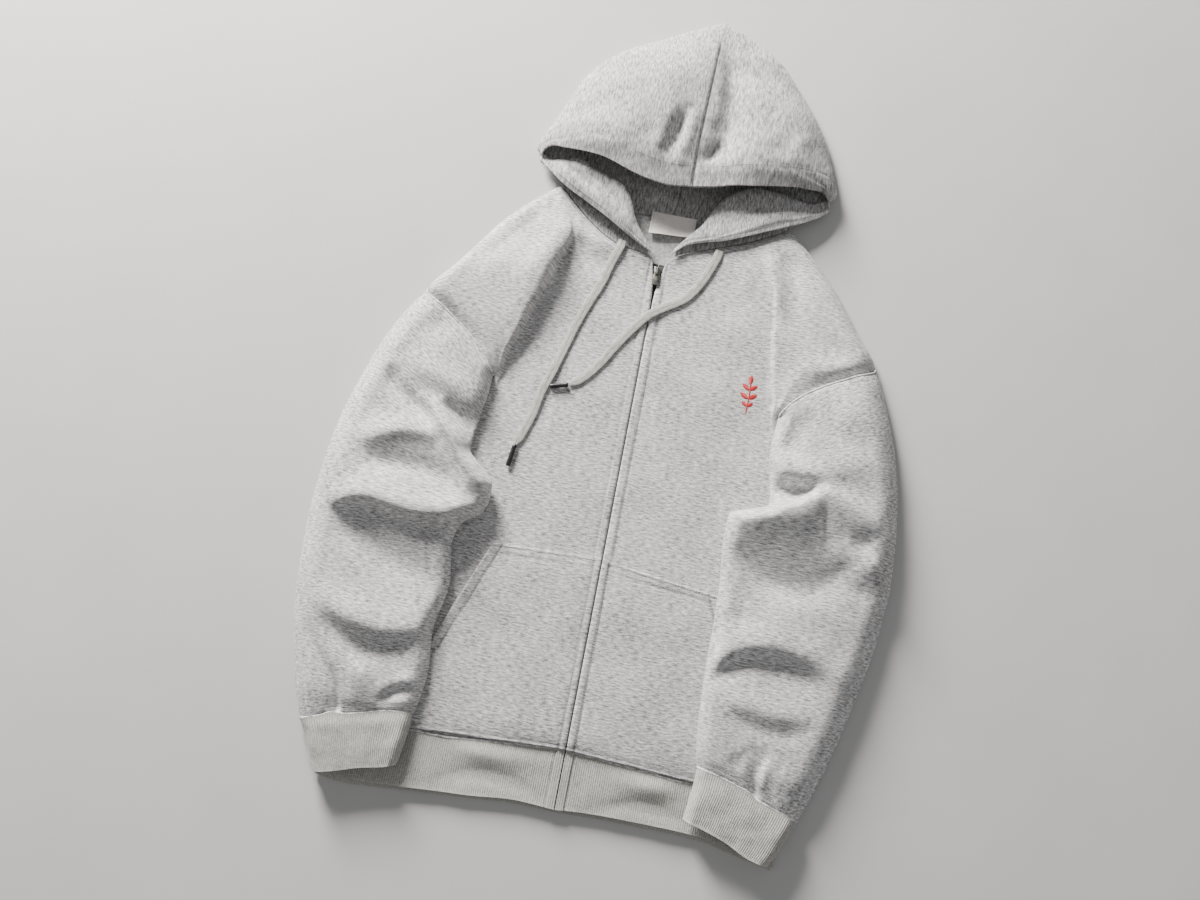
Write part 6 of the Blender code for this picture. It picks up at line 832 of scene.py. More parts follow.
# ---------------------------------------------------------------- hem band, back panel
HEM = [
    # xt,    yt,    xb,    yb,    z      top edge, bottom edge, height of the middle of the cloth
    (-1.7,  59.9,  -1.7,   0.5, 6.2), (-42.0, 56.0, -42.0,   2.0, 6.2), (-89.0, 51.6, -89.0, -2.5, 6.3),
    (-128., 47.9, -128.,  -5.0, 6.4), (-161., 48.8, -161.,  -7.5, 6.3), (-224., 50.6, -223., -11.5, 6.2),
    (-246., 51.2, -245., -11.5, 6.15),
    (-251.8, 51.5, -250.6, -11.6, 5.6), (-254.0, 51.5, -252.8, -12.0, 3.75), (-251.8, 51.5, -250.6, -12.6, 1.9),
    (-246., 51.5, -245., -13.5, 1.35),
    (-224., 51.5, -224., -16.0, 1.3), (-161., 51.5, -161., -11.5, 1.3), (-89.0, 51.5, -89.0, -6.0, 1.3),
    (-42.0, 51.5, -42.0,  -2.5, 1.3), (0.0, 51.5,   0.0,  -2.8, 1.3), (50.0, 51.5, 50.0, -1.0, 1.3),
    (103.0, 51.5, 103.0,  -1.0, 1.3), (153.0, 51.5, 152.0, -2.4, 1.3), (196.0, 51.5, 195.0, -10.5, 1.3),
    (226.0, 51.5, 222.0, -15.0, 1.35),
    (231.8, 51.5, 227.4, -16.0, 1.9), (234.0, 51.4, 229.6, -15.4, 3.75), (231.8, 51.3, 227.4, -14.4, 5.6),
    (226.0, 51.2, 222.0, -13.0, 6.15),
    (196.0, 51.2, 195.0,  -6.0, 6.2), (153.0, 51.1, 152.0,  2.4, 6.3), (117.0, 50.9, 117.0,  4.0, 6.4),
    (67.0,  54.5,  67.0,   4.0, 6.3), (31.0,  57.4,  31.0,  3.0, 6.2), (1.7,  59.4,   1.7,  0.5, 6.2),
]


def hem(q_rows, q_cols):
    T = np.asarray(HEM, float); R = len(T)
    P = pch(np.arange(R), T, q_rows)
    f = np.asarray(q_cols)[None, :, None]
    A = np.stack([P[:, 0], P[:, 1], P[:, 4]], 1)[:, None, :]; B = np.stack([P[:, 2], P[:, 3], P[:, 4]], 1)[:, None, :]
    return A * (1 - f) + B * f


BACK = [
    # xl,    yl,    xr,    yr       rows from the hem seam to the neck
    (-253.0, 52.2, 233.0, 52.2), (-263.0, 106., 245.0, 106.), (-271.0, 165., 255.0, 165.), (-278.0, 225., 264.0, 225.),
    (-283.0, 285., 270.0, 285.), (-284.6, 334.4, 272.8, 334.4), (-271.0, 432.0, 268.4, 432.0), (-256.8, 531.2, 263.8, 532.2),
    (-231.0, 569.8, 237.0, 572.8), (-193.0, 626.8, 197.0, 628.8), (-173.0, 649.8, 177.0, 650.8), (-150.0, 671.3, 158.0, 669.3),
    (-134.0, 685.8, 147.0, 679.2),
]
NECK_BACK = [(-134.0, 685.8), (-120.0, 681.8), (-100.0, 676.4), (-60.0, 670.6), (-20.0, 669.2), (6.0, 669.0), (30.0, 669.2),
             (70.0, 670.4), (110.0, 673.4), (130.0, 676.2), (147.0, 679.2)]


def back(q_rows, cols):
    T = np.asarray(BACK, float); R = len(T)
    P = np.stack([np.interp(q_rows, np.arange(R), T[:, i]) for i in range(4)], 1)
    u = np.linspace(0, 1, cols + 1)
    X = P[:, 0:1] + (P[:, 2:3] - P[:, 0:1]) * u; Y = P[:, 1:2] + (P[:, 3:4] - P[:, 1:2]) * u
    N = line(NECK_BACK, 8)
    for j, r in enumerate(q_rows):
        w = smooth((r - (R - 6)) / 5.0)
        ny = np.interp(X[j], N[:, 0], N[:, 1])
        if r >= R - 1: Y[j] = np.where((u == 0) | (u == 1), Y[j], ny)
        else: Y[j] = Y[j] + w * (ny - (P[-1, 1] + (P[-1, 3] - P[-1, 1]) * (X[j] - P[-1, 0]) / (P[-1, 2] - P[-1, 0]))) * ((X[j] > -130) & (X[j] < 140)) * .9
    return np.stack([X, Y, 0 * X], -1)


POCKET_R = [(-2.1, 60.3, -174.5, 50.8), (-2.1, 104.0, -174.5, 104.0), (-2.1, 142.0, -164.0, 142.0), (-2.1, 172.0, -153.0, 172.0),
            (-2.1, 215.0, -137.0, 214.0), (-2.1, 263.0, -120.5, 258.0)]
POCKET_L = [(2.1, 59.8, 176.0, 51.9), (2.1, 104.0, 176.0, 104.0), (2.1, 142.0, 168.0, 142.0), (2.1, 172.0, 158.0, 172.0),
            (2.1, 212.0, 145.0, 210.0), (2.1, 262.0, 131.0, 246.5)]


def pocket(T, panels, q_rows, cols, gap=0.45):
    T = np.asarray(T, float); R = len(T)
    P = np.stack([np.interp(q_rows, np.arange(R), T[:, i]) for i in range(4)], 1)
    u = np.linspace(0, 1, cols + 1)
    X = P[:, 0:1] + (P[:, 2:3] - P[:, 0:1]) * u; Y = P[:, 1:2] + (P[:, 3:4] - P[:, 1:2]) * u
    Z = drape(panels, X, Y + 1.6 * (np.asarray(q_rows)[:, None] < .01), 5.0)
    return np.stack([X, Y, Z + gap], -1)


# drawcords: x, y of the middle, turn about its length in degrees, lift over what lies below
CORD_R = [(-46.2, 629.6, 0, 1.3), (-48.0, 620.0, 0, .9), (-54, 601, 0, .3), (-60, 577, 0, .3), (-72, 544, 0, .2), (-81, 516, 0, .2), (-89, 484, 0, .2),
          (-96, 457, 0, .2), (-103, 433, 0, .2), (-108, 404, 0, .2), (-115, 381, 0, .2), (-119, 369.4, 0, .2)]
AGLET_R = [(-119.4, 368.3), (-122.4, 343.5)]
CORD_L = [(66.5, 638.0, 0, .3), (64.5, 627, 0, .4), (60, 614, 0, .3), (51, 593, 0, .3), (37, 573, 0, .3), (17, 559, 0, .4), (1, 547, 0, .6), (-16, 526, 0, .3),
          (-32, 501, 0, .2), (-48, 474, 0, .2), (-62, 457, 0, .2), (-73.5, 448.2, 0, .2)]
AGLET_L = [(-74.5, 447.4), (-94.0, 442.0)]


def cord_path(T, panels, n, half=1.0, reach=4.6):
    T = np.asarray(T, float); t = chord(T); q = np.linspace(0, t[-1], n)
    P = pch(t, T[:, :2], q, False); E = pch(t, T[:, 2:], q)
    d = np.gradient(P, axis=0); d /= np.linalg.norm(d, axis=1, keepdims=True); s = np.stack([-d[:, 1], d[:, 0]], 1)
    z = np.max([drape(panels, P[:, 0] + s[:, 0] * k + d[:, 0] * m, P[:, 1] + s[:, 1] * k + d[:, 1] * m, 5.0)
                for k in (-reach, -reach / 2, 0, reach / 2, reach) for m in (-3.0, 0, 3.0)], axis=0)
    z = np.maximum(z, np.convolve(np.pad(z, 2, 'edge'), np.ones(5) / 5, 'valid'))
    return np.column_stack([P, z + .35 + E[:, 1] + half]), E[:, 0], t[-1]


LABEL = [((-19.0, 676.6), (34.0, 675.8), 3.6, 3.6), ((-19.0, 672.0), (34.0, 671.2), 3.7, 3.7), ((-19.0, 664.0), (34.0, 663.6), 4.2, 4.2),
         ((-19.0, 655.5), (34.0, 656.6), 5.4, 5.2), ((-19.0, 647.4), (33.4, 651.2), 7.2, 6.6)]


def label(q_rows, cols):
    T = np.array([(a[0], a[1], c, b[0], b[1], d) for a, b, c, d in LABEL], float)
    P = pch(np.arange(len(T)), T, q_rows, False)
    u = np.linspace(0, 1, cols + 1)[None, :, None]
    G = P[:, None, 0:3] * (1 - u) + P[:, None, 3:6] * u
    G[..., 2] += 0.7 * np.sin(np.pi * 2.2 * u[..., 0]) * (np.asarray(q_rows)[:, None] / (len(T) - 1)) ** 2
    return G


# ---------------------------------------------------------------- making pieces
def wob(P, scale, seed):
    """Smooth noise from -1 to 1 at the plan places of a grid (scale in mm)."""
    q = P.reshape(-1, P.shape[-1])
    return np.array([noise.noise((x / scale, y / scale, seed)) for x, y in q[:, :2]]).reshape(P.shape[:-1])


def arc(P, axis, wrap=False):
    """Arc length along one direction of a grid."""
    d = np.linalg.norm(np.diff(P, axis=axis), axis=2)
    z = np.zeros_like(np.take(d, [0], axis=axis))
    return np.concatenate([z, np.cumsum(d, axis=axis)], axis=axis)


PIECES = {}


def piece(name, vf, mat, nodes=(), U=None, V=None, dip=None, body="garment", angle=62, ridge=None):
    """A mesh object from vertices and faces, with its cloth coordinates (metres) and the shade painted into its
    grooves.
    """
    v, f = vf
    v = np.asarray(v, float)
    me = bpy.data.meshes.new(name)
    me.from_pydata([tuple(p) for p in v], [], [tuple(int(i) for i in q) for q in f])
    bm = bmesh.new(); bm.from_mesh(me)
    bmesh.ops.recalc_face_normals(bm, faces=bm.faces)
    bm.to_mesh(me); bm.free()
    n = len(me.vertices)
    k = np.zeros((n, 3), np.float32)
    if U is None:
        k[:, :] = v[:n]
    else:
        U = np.ravel(U); V = np.ravel(V); r = n // len(U)
        k[:, 0] = np.resize(U, n) / 1000.0
        k[:, 1] = np.resize(V, n) / 1000.0
        k[len(U):, 2] = 0.35                              # the other face of the cloth
    a = me.attributes.new("knit", 'FLOAT_VECTOR', 'POINT')
    a.data.foreach_set("vector", k.ravel())
    # painted shade: a per-vertex mask that darkens grooves, seams and valleys in the material
    d = np.zeros(n, np.float32)
    if dip is not None:
        dd = np.ravel(dip); d[:len(dd)] = np.clip(dd, 0, 1)
    a = me.attributes.new("dip", 'FLOAT', 'POINT')
    a.data.foreach_set("value", d)
    me.shade_smooth()
    me.set_sharp_from_angle(angle=math.radians(angle))
    me.materials.append(mat)
    ob = bpy.data.objects.new(name, me)
    bpy.context.scene.collection.objects.link(ob)
    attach(ob, body)
    if nodes:
        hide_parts(*nodes)
    PIECES[name] = ob
    return ob


def tree(vf):
    v, f = vf
    return BVHTree.FromPolygons([tuple(np.asarray(p) * 1000.0 + (OX, OY, 0)) for p in v], [tuple(int(i) for i in q) for q in f])


def drop(t, x, y, top=90.0):
    """Height and normal of a piece's upper face at a plan place (mm)."""
    h = t.ray_cast(Vector((x, y, top)), Vector((0, 0, -1)))
    return (None, None) if h[0] is None else (h[0].z, h[1] if h[1].z > 0 else -h[1])


def resample(L, pitch):
    L = np.asarray(L, float); c = np.concatenate([[0], np.cumsum(np.linalg.norm(np.diff(L, axis=0), axis=1))])
    n = max(2, int(c[-1] / pitch) + 1); q = np.arange(n) * pitch
    return np.stack([np.interp(q, c, L[:, i]) for i in range(L.shape[1])], 1)


def offset(L, d):
    """A plan line moved sideways (+ to its left)."""
    L = np.asarray(L, float); t = np.gradient(L[:, :2], axis=0); t /= np.maximum(np.linalg.norm(t, axis=1, keepdims=True), 1e-9)
    O = L.copy(); O[:, 0] -= t[:, 1] * d; O[:, 1] += t[:, 0] * d
    return O


class Thread:
    """Collects stitches: short rounded lengths of thread lying in the cloth."""
    def __init__(self): self.V = []; self.F = []; self.n = 0

    def run(self, L, t, pitch=3.3, share=.74, r=.34, sink=.12, seed=0, nrm=None, top=90.0):
        L = resample(L, pitch); rng = np.random.default_rng(100 + seed)
        for i in range(len(L) - 1):
            a = L[i]; b = L[i] + (L[i + 1] - L[i]) * share
            jit = rng.normal(0, .10, 4)
            pts = []
            for q in (0, .2, .5, .8, 1.0):
                x = a[0] + (b[0] - a[0]) * q + jit[0]; y = a[1] + (b[1] - a[1]) * q + jit[1]
                z, n = drop(t, x, y, top)
                if z is None: break
                lift = (-.30, .12, .24, .12, -.30)[(0, .2, .5, .8, 1.0).index(q)] - sink
                pts.append((Vector((x, y, z)) + n * lift, n, (.45, .9, 1, .9, .45)[(0, .2, .5, .8, 1.0).index(q)]))
            if len(pts) < 5 or max(abs(pts[k][0].z - pts[k + 1][0].z) for k in range(4)) > 2.5: continue
            m = 6; base = self.n
            for k, (p, n, w) in enumerate(pts):
                d = (pts[min(k + 1, 4)][0] - pts[max(k - 1, 0)][0]).normalized()
                s = d.cross(n).normalized(); u = s.cross(d)
                for j in range(m):
                    c, sn = math.cos(j * 2 * math.pi / m), math.sin(j * 2 * math.pi / m)
                    self.V.append(p + s * (c * r * w) + u * (sn * r * .8 * w)); self.n += 1
            for k in range(4):
                for j in range(m):
                    a1 = base + k * m + j; b1 = base + k * m + (j + 1) % m
                    self.F.append((a1, b1, b1 + m, a1 + m))
            self.F.append(tuple(base + j for j in range(m))[::-1]); self.F.append(tuple(base + 4 * m + j for j in range(m)))

    def make(self, name, mat, slot="cloth"):
        if not self.V: return None
        v = (np.array([tuple(p) for p in self.V]) - (OX, OY, 0)) / 1000.0
        return piece(name, (v, self.F), mat, angle=80)


# ---------------------------------------------------------------- materials
def socket(n, key):
    return n.inputs[key]


class Mat:
    def __init__(self, name, rough=.9, metal=0.0, sheen=0.0, sheen_rough=.5, spec=.3, coat=0.0):
        self.m = bpy.data.materials.new(name); self.m.use_nodes = True
        self.t = self.m.node_tree; self.b = self.t.nodes["Principled BSDF"]
        self.b.inputs["Roughness"].default_value = rough
        self.b.inputs["Metallic"].default_value = metal
        self.b.inputs["Sheen Weight"].default_value = sheen
        self.b.inputs["Sheen Roughness"].default_value = sheen_rough
        self.b.inputs["Specular IOR Level"].default_value = spec
        self.b.inputs["Coat Weight"].default_value = coat

    def new(self, kind, **kw):
        n = self.t.nodes.new(kind)
        for k, v in kw.items(): setattr(n, k, v)
        return n

    def link(self, a, b): self.t.links.new(a, b)

    def knit(self, scale, seed=0.0):
        if not hasattr(self, "a"):
            self.a = self.new("ShaderNodeAttribute", attribute_name="knit")
        m = self.new("ShaderNodeMapping"); m.inputs["Scale"].default_value = scale; m.inputs["Location"].default_value = (seed, seed * 1.7, seed * .3)
        self.link(self.a.outputs["Vector"], m.inputs["Vector"])
        return m.outputs["Vector"]

    def noise(self, scale, detail=2.0, rough=.5, seed=0.0, warp=0.0):
        n = self.new("ShaderNodeTexNoise"); n.inputs["Scale"].default_value = 1.0; n.inputs["Detail"].default_value = detail
        n.inputs["Roughness"].default_value = rough; n.inputs["Distortion"].default_value = warp
        self.link(self.knit(scale, seed), n.inputs["Vector"])
        return n.outputs[0]

    def math(self, op, a, b=None, c=None, clamp=False):
        n = self.new("ShaderNodeMath", operation=op, use_clamp=clamp)
        for i, x in enumerate((a, b, c)):
            if x is None: continue
            if isinstance(x, (int, float)): n.inputs[i].default_value = x
            else: self.link(x, n.inputs[i])
        return n.outputs[0]

    def span(self, x, lo, hi, a=0.0, b=1.0):
        n = self.new("ShaderNodeMapRange"); n.inputs["From Min"].default_value = lo; n.inputs["From Max"].default_value = hi
        n.inputs["To Min"].default_value = a; n.inputs["To Max"].default_value = b
        self.link(x, n.inputs["Value"]); return n.outputs["Result"]

    def ramp(self, x, stops):
        n = self.new("ShaderNodeValToRGB"); e = n.color_ramp.elements
        while len(e) < len(stops): e.new(.5)
        for el, (p, c) in zip(e, stops): el.position = p; el.color = tuple(c) + (1.0,)
        self.link(x, n.inputs["Fac"]); return n.outputs["Color"]

    def mul(self, color, fac):
        """Colour times a number."""
        n = self.new("ShaderNodeVectorMath", operation='SCALE'); self.link(color, n.inputs[0]); self.link(fac, n.inputs["Scale"])
        return n.outputs[0]

    def mix(self, fac, a, b):
        n = self.new("ShaderNodeMix", data_type='RGBA')
        for key, x in ((0, fac), (6, a), (7, b)):
            if isinstance(x, (int, float)): n.inputs[key].default_value = x
            elif isinstance(x, tuple): n.inputs[key].default_value = x + (1.0,)
            else: self.link(x, n.inputs[key])
        return n.outputs[2]

    def bump(self, *layers):
        prev = None
        for h, dist, strength in layers:
            n = self.new("ShaderNodeBump"); n.inputs["Distance"].default_value = dist; n.inputs["Strength"].default_value = strength
            self.link(h, n.inputs["Height"])
            if prev is not None: self.link(prev, n.inputs["Normal"])
            prev = n.outputs["Normal"]
        self.link(prev, self.b.inputs["Normal"])

    def base(self, c): self.link(c, self.b.inputs["Base Color"])


def loops(M, pitch_u, pitch_v):
    """Height of knit loops: rows of small Vs (one wale every pitch_u, one course every pitch_v, metres)."""
    s = M.new("ShaderNodeSeparateXYZ"); M.link(M.knit((1, 1, 1)), s.inputs[0])
    u = M.math('MULTIPLY', s.outputs[0], 1.0 / pitch_u); v = M.math('MULTIPLY', s.outputs[1], 1.0 / pitch_v)
    fu = M.math('ABSOLUTE', M.math('SUBTRACT', M.math('FRACT', u), .5))            # 0 in the middle of a wale, .5 between
    ph = M.math('ADD', v, M.math('MULTIPLY', fu, 1.3))
    w = M.math('ABSOLUTE', M.math('SUBTRACT', M.math('FRACT', ph), .5))
    h = M.math('MULTIPLY', w, 2.0)
    g = M.math('SUBTRACT', 1.0, M.math('POWER', M.math('MULTIPLY', fu, 2.0), 4.0))
    return M.math('MULTIPLY', h, g)


def melange(name, dark, mid, light, streak=(60, 820, 1), fleck=900, shade_depth=.34, seed=0.0, knit_pitch=(.0012, .0010), lift=1.0, hi=None):
    M = Mat(name, rough=.94, sheen=.18, sheen_rough=.45, spec=.18)
    M.b.inputs["Sheen Tint"].default_value = (1, .98, .95, 1)
    s1 = M.noise(streak, 3.0, .62, seed)                             # short streaks along the courses
    s2 = M.noise((fleck, fleck * 1.15, 1), 2.0, .6, seed + 3)        # single darker and lighter fibres
    s3 = M.noise((16, 24, 1), 3.0, .55, seed + 7)                    # slow changes across a panel
    v = M.math('ADD', M.math('MULTIPLY', s1, .66), M.math('ADD', M.math('MULTIPLY', s2, .22), M.math('MULTIPLY', s3, .12)))
    c = M.ramp(v, [(.39, dark), (.46, tuple(.4 * a + .6 * b for a, b in zip(dark, mid))), (.52, mid), (.61, light)])
    # painted shade: the colour darkened in seams, grooves and rib valleys by the per-vertex mask
    d = M.new("ShaderNodeAttribute", attribute_name="dip")
    c = M.mul(c, M.math('SUBTRACT', 1.0, M.math('MULTIPLY', d.outputs["Fac"], shade_depth)))
    M.base(c)
    fib = M.noise((1500, 1500, 400), 3.0, .7, seed + 11)
    M.bump((loops(M, *knit_pitch), .00022 * lift, .45), (fib, .00025 * lift, .55), (s1, .00025 * lift, .35))
    return M.m


CLOTH = melange("cloth_knit", (.19, .186, .18), (.57, .555, .545), (.86, .845, .83), streak=(140, 620, 1), fleck=800, shade_depth=.68)
HOODC = melange("hood_knit", (.17, .163, .157), (.44, .425, .412), (.68, .66, .64), streak=(620, 130, 1), fleck=800, shade_depth=.62, seed=5.0, knit_pitch=(.0010, .0012))
BACKC = melange("inner_fleece", (.32, .31, .30), (.50, .49, .475), (.62, .61, .59), streak=(300, 300, 1), seed=9.0, lift=1.6)
RIB = melange("rib_knit", (.34, .33, .295), (.50, .487, .44), (.60, .59, .54), streak=(900, 620, 1), shade_depth=.62, seed=2.0, knit_pitch=(.0010, .0011))
CORDM = melange("cord_braid", (.34, .33, .295), (.49, .48, .43), (.60, .59, .545), streak=(500, 160, 1), fleck=1300, shade_depth=.62, seed=4.0, knit_pitch=(.0012, .0014), lift=.7)
THREAD = melange("stitch_thread", (.34, .33, .31), (.50, .49, .47), (.60, .59, .57), streak=(900, 900, 1), shade_depth=0, seed=6.0, lift=.4)


def label_mat():
    M = Mat("label_satin", rough=.55, sheen=.25, sheen_rough=.35, spec=.45)
    s = M.new("ShaderNodeSeparateXYZ"); M.link(M.knit((1, 1, 1)), s.inputs[0])
    w = M.math('SINE', M.math('MULTIPLY', s.outputs[0], 2 * math.pi / .0007))
    w2 = M.math('SINE', M.math('MULTIPLY', s.outputs[1], 2 * math.pi / .0009))
    n = M.noise((120, 900, 1), 2.0)
    c = M.ramp(n, [(.3, (.80, .735, .67)), (.55, (.90, .84, .78)), (.75, (.94, .89, .84))])
    # painted shade along the label's turned-under edges
    d = M.new("ShaderNodeAttribute", attribute_name="dip")
    M.base(M.mul(c, M.math('SUBTRACT', 1.0, M.math('MULTIPLY', d.outputs["Fac"], .3))))
    M.bump((w, .00006, .35), (w2, .00008, .4))
    return M.m


def tape_mat():
    M = Mat("zip_tape", rough=.82, sheen=.15, spec=.25)
    s = M.new("ShaderNodeSeparateXYZ"); M.link(M.knit((1, 1, 1)), s.inputs[0])
    w = M.math('SINE', M.math('MULTIPLY', M.math('ADD', s.outputs[1], s.outputs[0]), 2 * math.pi / .0011))
    w2 = M.math('SINE', M.math('MULTIPLY', s.outputs[0], 2 * math.pi / .0013))
    n = M.noise((500, 500, 500), 2.0)
    M.base(M.ramp(n, [(.35, (.030, .030, .031)), (.65, (.075, .074, .072))]))
    M.bump((w, .0001, .5), (w2, .0001, .5))
    return M.m


def metal_mat(name, dark, light, rough):
    M = Mat(name, rough=rough, metal=1.0, spec=.5)
    n = M.noise((240, 240, 240), 4.0, .6); f = M.noise((1400, 500, 1400), 2.0, .5, 3.0)
    g = M.new("ShaderNodeNewGeometry")
    worn = M.span(g.outputs["Pointiness"], .52, .60)
    c = M.ramp(n, [(.35, dark), (.65, light)])
    M.base(M.mix(M.math('MULTIPLY', worn, .6), c, tuple(min(1, x * 1.9) for x in light)))
    M.link(M.span(n, .3, .7, rough - .08, rough + .14), M.b.inputs["Roughness"])
    M.bump((f, .00003, .4))
    return M.m


def tip_mat():
    M = Mat("tip_plastic", rough=.34, spec=.5, coat=.15)
    n = M.noise((600, 600, 600), 3.0)
    M.base(M.ramp(n, [(.3, (.006, .006, .006)), (.7, (.014, .0135, .013))]))
    M.link(M.span(n, .3, .7, .28, .44), M.b.inputs["Roughness"])
    M.bump((n, .00003, .4))
    return M.m


def motif_mat():
    M = Mat("embroidery", rough=.5, sheen=.3, sheen_rough=.35, spec=.4)
    s = M.new("ShaderNodeSeparateXYZ"); M.link(M.knit((1, 1, 1)), s.inputs[0])
    w = M.math('SINE', M.math('MULTIPLY', s.outputs[0], 2 * math.pi / .00075))
    n = M.noise((900, 200, 1), 2.0)
    M.base(M.ramp(n, [(.3, (.42, .014, .014)), (.6, (.68, .028, .026)), (.8, (.78, .06, .05))]))
    M.bump((w, .00018, .8))
    return M.m


LABELM, TAPEM, TIPM, MOTIFM = label_mat(), tape_mat(), tip_mat(), motif_mat()
METALM = metal_mat("zip_metal", (.045, .042, .038), (.17, .16, .145), .36)
PULLM = metal_mat("pull_metal", (.10, .092, .078), (.33, .31, .275), .33)

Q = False


def cut(P, wrap=False):
    """Width, length and area of a cloth from its middle surface (metres)."""
    R = np.concatenate([P, P[:, :1]], axis=1) if wrap else P
    w = arc(R, 1)[:, -1].max() / 1000; l = arc(R, 0)[-1].max() / 1000
    a = R[:-1, :-1]; b = R[:-1, 1:]; c = R[1:, 1:]; d = R[1:, :-1]
    ar = .5 * (np.linalg.norm(np.cross(b - a, c - a), axis=2) + np.linalg.norm(np.cross(c - a, d - a), axis=2)).sum() / 1e6
    return w, l, min(ar, w * l)


def round_edge(P, dist, r):
    """Lower a height field towards an edge in a quarter round of radius r."""
    P[..., 2] -= r * (1 - np.sqrt(np.clip(1 - (1 - np.clip(dist / r, 0, 1)) ** 2, 0, 1)))


# ---- the cloth is sewn: its edges meet, where the solids keep a gap
for T, s in ((FRONT_R, -1), (FRONT_L, 1)):
    for i, r in enumerate(T):
        if r[1] < 550: T[i] = (s * .5,) + r[1:]
        elif r[1] < 580: T[i] = (s * 1.5,) + r[1:]
        elif r[1] < 610: T[i] = (s * 5.6,) + r[1:]
HEM = [(r[0] * (.3 if abs(r[0]) < 2 else 1), r[1] + .5, r[2] * (.3 if abs(r[2]) < 2 else 1), r[3], r[4]) for r in HEM]
for T, dx in ((HOOD_R, .28), (HOOD_L, -.28)):
    r = T[0]; T[0] = tuple((p[0] + dx,) + tuple(p[1:]) if isinstance(p, tuple) else p for p in r)
CUFF_R[0] = (-281.05, 38.9, 7.0, -163.5, 67.3, 14.8, 20.0)
CUFF_L[0] = (247.05, 36.4, 9.8, 136.5, 70.3, 15.2, 21.0)

# ---- fronts
def front_fine(T, sd, armrows, neckrow):
    P = front(T, steps([4] * (len(T) - 1)), 44, 26, True)
    x, y = P[..., 0], P[..., 1]
    edge = np.abs(near(P[:, 0, :2], x, y)[0])                         # distance from the zip and neck edge
    zipd = np.abs(x) - .5
    neck = neck_line = P[steps([4] * (len(T) - 1)) >= neckrow, 0, :2]
    nd = np.abs(near(neck, x, y)[0]) if len(neck) > 1 else edge * 9
    arm = P[(steps([4] * (len(T) - 1)) >= armrows[0]) & (steps([4] * (len(T) - 1)) <= armrows[1]), -1, :2]
    ad = np.abs(near(arm, x, y)[0])
    up = y < 612
    dip = np.zeros(P.shape[:2]); Z = P[..., 2]
    # the facing's folded edge, its stitched line 10 mm from the zip, sunk and darkened with painted shade
    Z += np.where(up, .9 * (1 - smooth((zipd - 8.2) / 2.4)), 0) * smooth((edge) / 2.0) * smooth((600 - y) / 30)
    g = np.exp(-((zipd - 9.6) / 1.1) ** 2) * up; Z -= .7 * g; dip += .6 * g
    # neck seam, armhole seam and hem seam pulled down and darkened with painted shade, with small puckers beside them
    for d, w, a in ((nd, 3.0, 1.1), (ad, 3.2, 1.0), (y - P[0, :, 1][None, :], 3.0, .9)):
        g = np.exp(-(d / w) ** 2); Z -= a * g * .6; dip += .5 * np.exp(-(d / 1.4) ** 2)
    # two stitched lines beside the neck seam, sunk, with painted shade in them
    for off in (3.4, 8.4):
        g = np.exp(-((nd - off) / .9) ** 2); Z -= .35 * g; dip += .3 * g
    pk = wob(P, 7.5, 3.3 + sd) * .7 + wob(P, 3.9, 8.1 + sd) * .3
    Z += .42 * pk * (np.exp(-(np.abs(zipd - 10.5) / 5.0) ** 2) * up + np.exp(-(nd / 9.0) ** 2) + np.exp(-(ad / 9.0) ** 2)
                     + np.exp(-((y - P[0, :, 1][None, :]) / 7.0) ** 2)) * smooth(edge / 2.5)
    Z += (wob(P, 46, 1.7 + sd) * .9 + wob(P, 19, 5.5 + sd) * .28) * smooth(edge / 9.0) * smooth(ad / 9.0) * smooth((y - P[0, :, 1][None, :]) / 9)
    round_edge(P, edge, 1.3)
    return P, dip


FR, dr = front_fine(FRONT_R, -1, (8, 13), 15.9)
FL, dl = front_fine(FRONT_L, 1, (8, 14), 16.9)
FLOW = {}
for key, P, dp in (("front_right", FR, dr), ("front_left", FL, dl)):
    q = under(P, floor=3.6); vf = slab(P, q); FLOW[key] = tree(vf)
    ob = piece(key + "_shell", vf, CLOTH, [key], P[..., 0], P[..., 1], dp)

# ---- back panel: the underside lies flat; its face carries the inside of the garment
L = back(np.linspace(0, 12, 97), 72)
Pb = L + [0, 0, 2.0]
yb = L[..., 1]; nb = L[-1:, :, 1] - yb
# a shallow groove along the neck edge; the same mask darkens it with painted shade
gb = np.exp(-((nb - 3.0) / 1.2) ** 2)
Pb[..., 2] -= .25 * gb
vf = slab(Pb, L)
ob = piece("back_panel_shell", vf, BACKC, ["back_panel"], L[..., 0], L[..., 1], .5 * gb)

# ---- sleeves
FOLD_SLEEVE_R = FOLD_SLEEVE_R + [
    [(-240, 52, 0, 2.5, 4), (-243, 62, -4.5, 2.5, 6), (-249, 80, -3.5, 3, 8), (-256, 100, 0, 5, 8)],
    [(-236, 54, 0, 4, 3), (-238, 66, 2.5, 5, 3), (-244, 86, 2, 6, 3), (-250, 102, 0, 6, 5)],
    [(-199, 68, 0, 6, 6), (-190, 82, -2.2, 8, 6), (-176, 90, -2.2, 8, 6), (-164, 92, 0, 7, 6)],
    [(-204, 74, 0, 6, 6), (-194, 90, 1.5, 6, 8), (-178, 98, 1.5, 6, 8), (-166, 100, 0, 7, 7)],
]
FOLD_SLEEVE_L = FOLD_SLEEVE_L + [
    [(201, 52, 0, 4, 2.5), (197, 64, -4.5, 6, 2.5), (196, 78, -3.5, 8, 3), (206, 98, 0, 8, 5)],
    [(205, 52, 0, 3, 4), (203, 66, 2.5, 3, 5), (204, 82, 2, 3, 6), (212, 98, 0, 5, 6)],
]
RR = steps([4] * 20)
SLV = {}; RING = {}
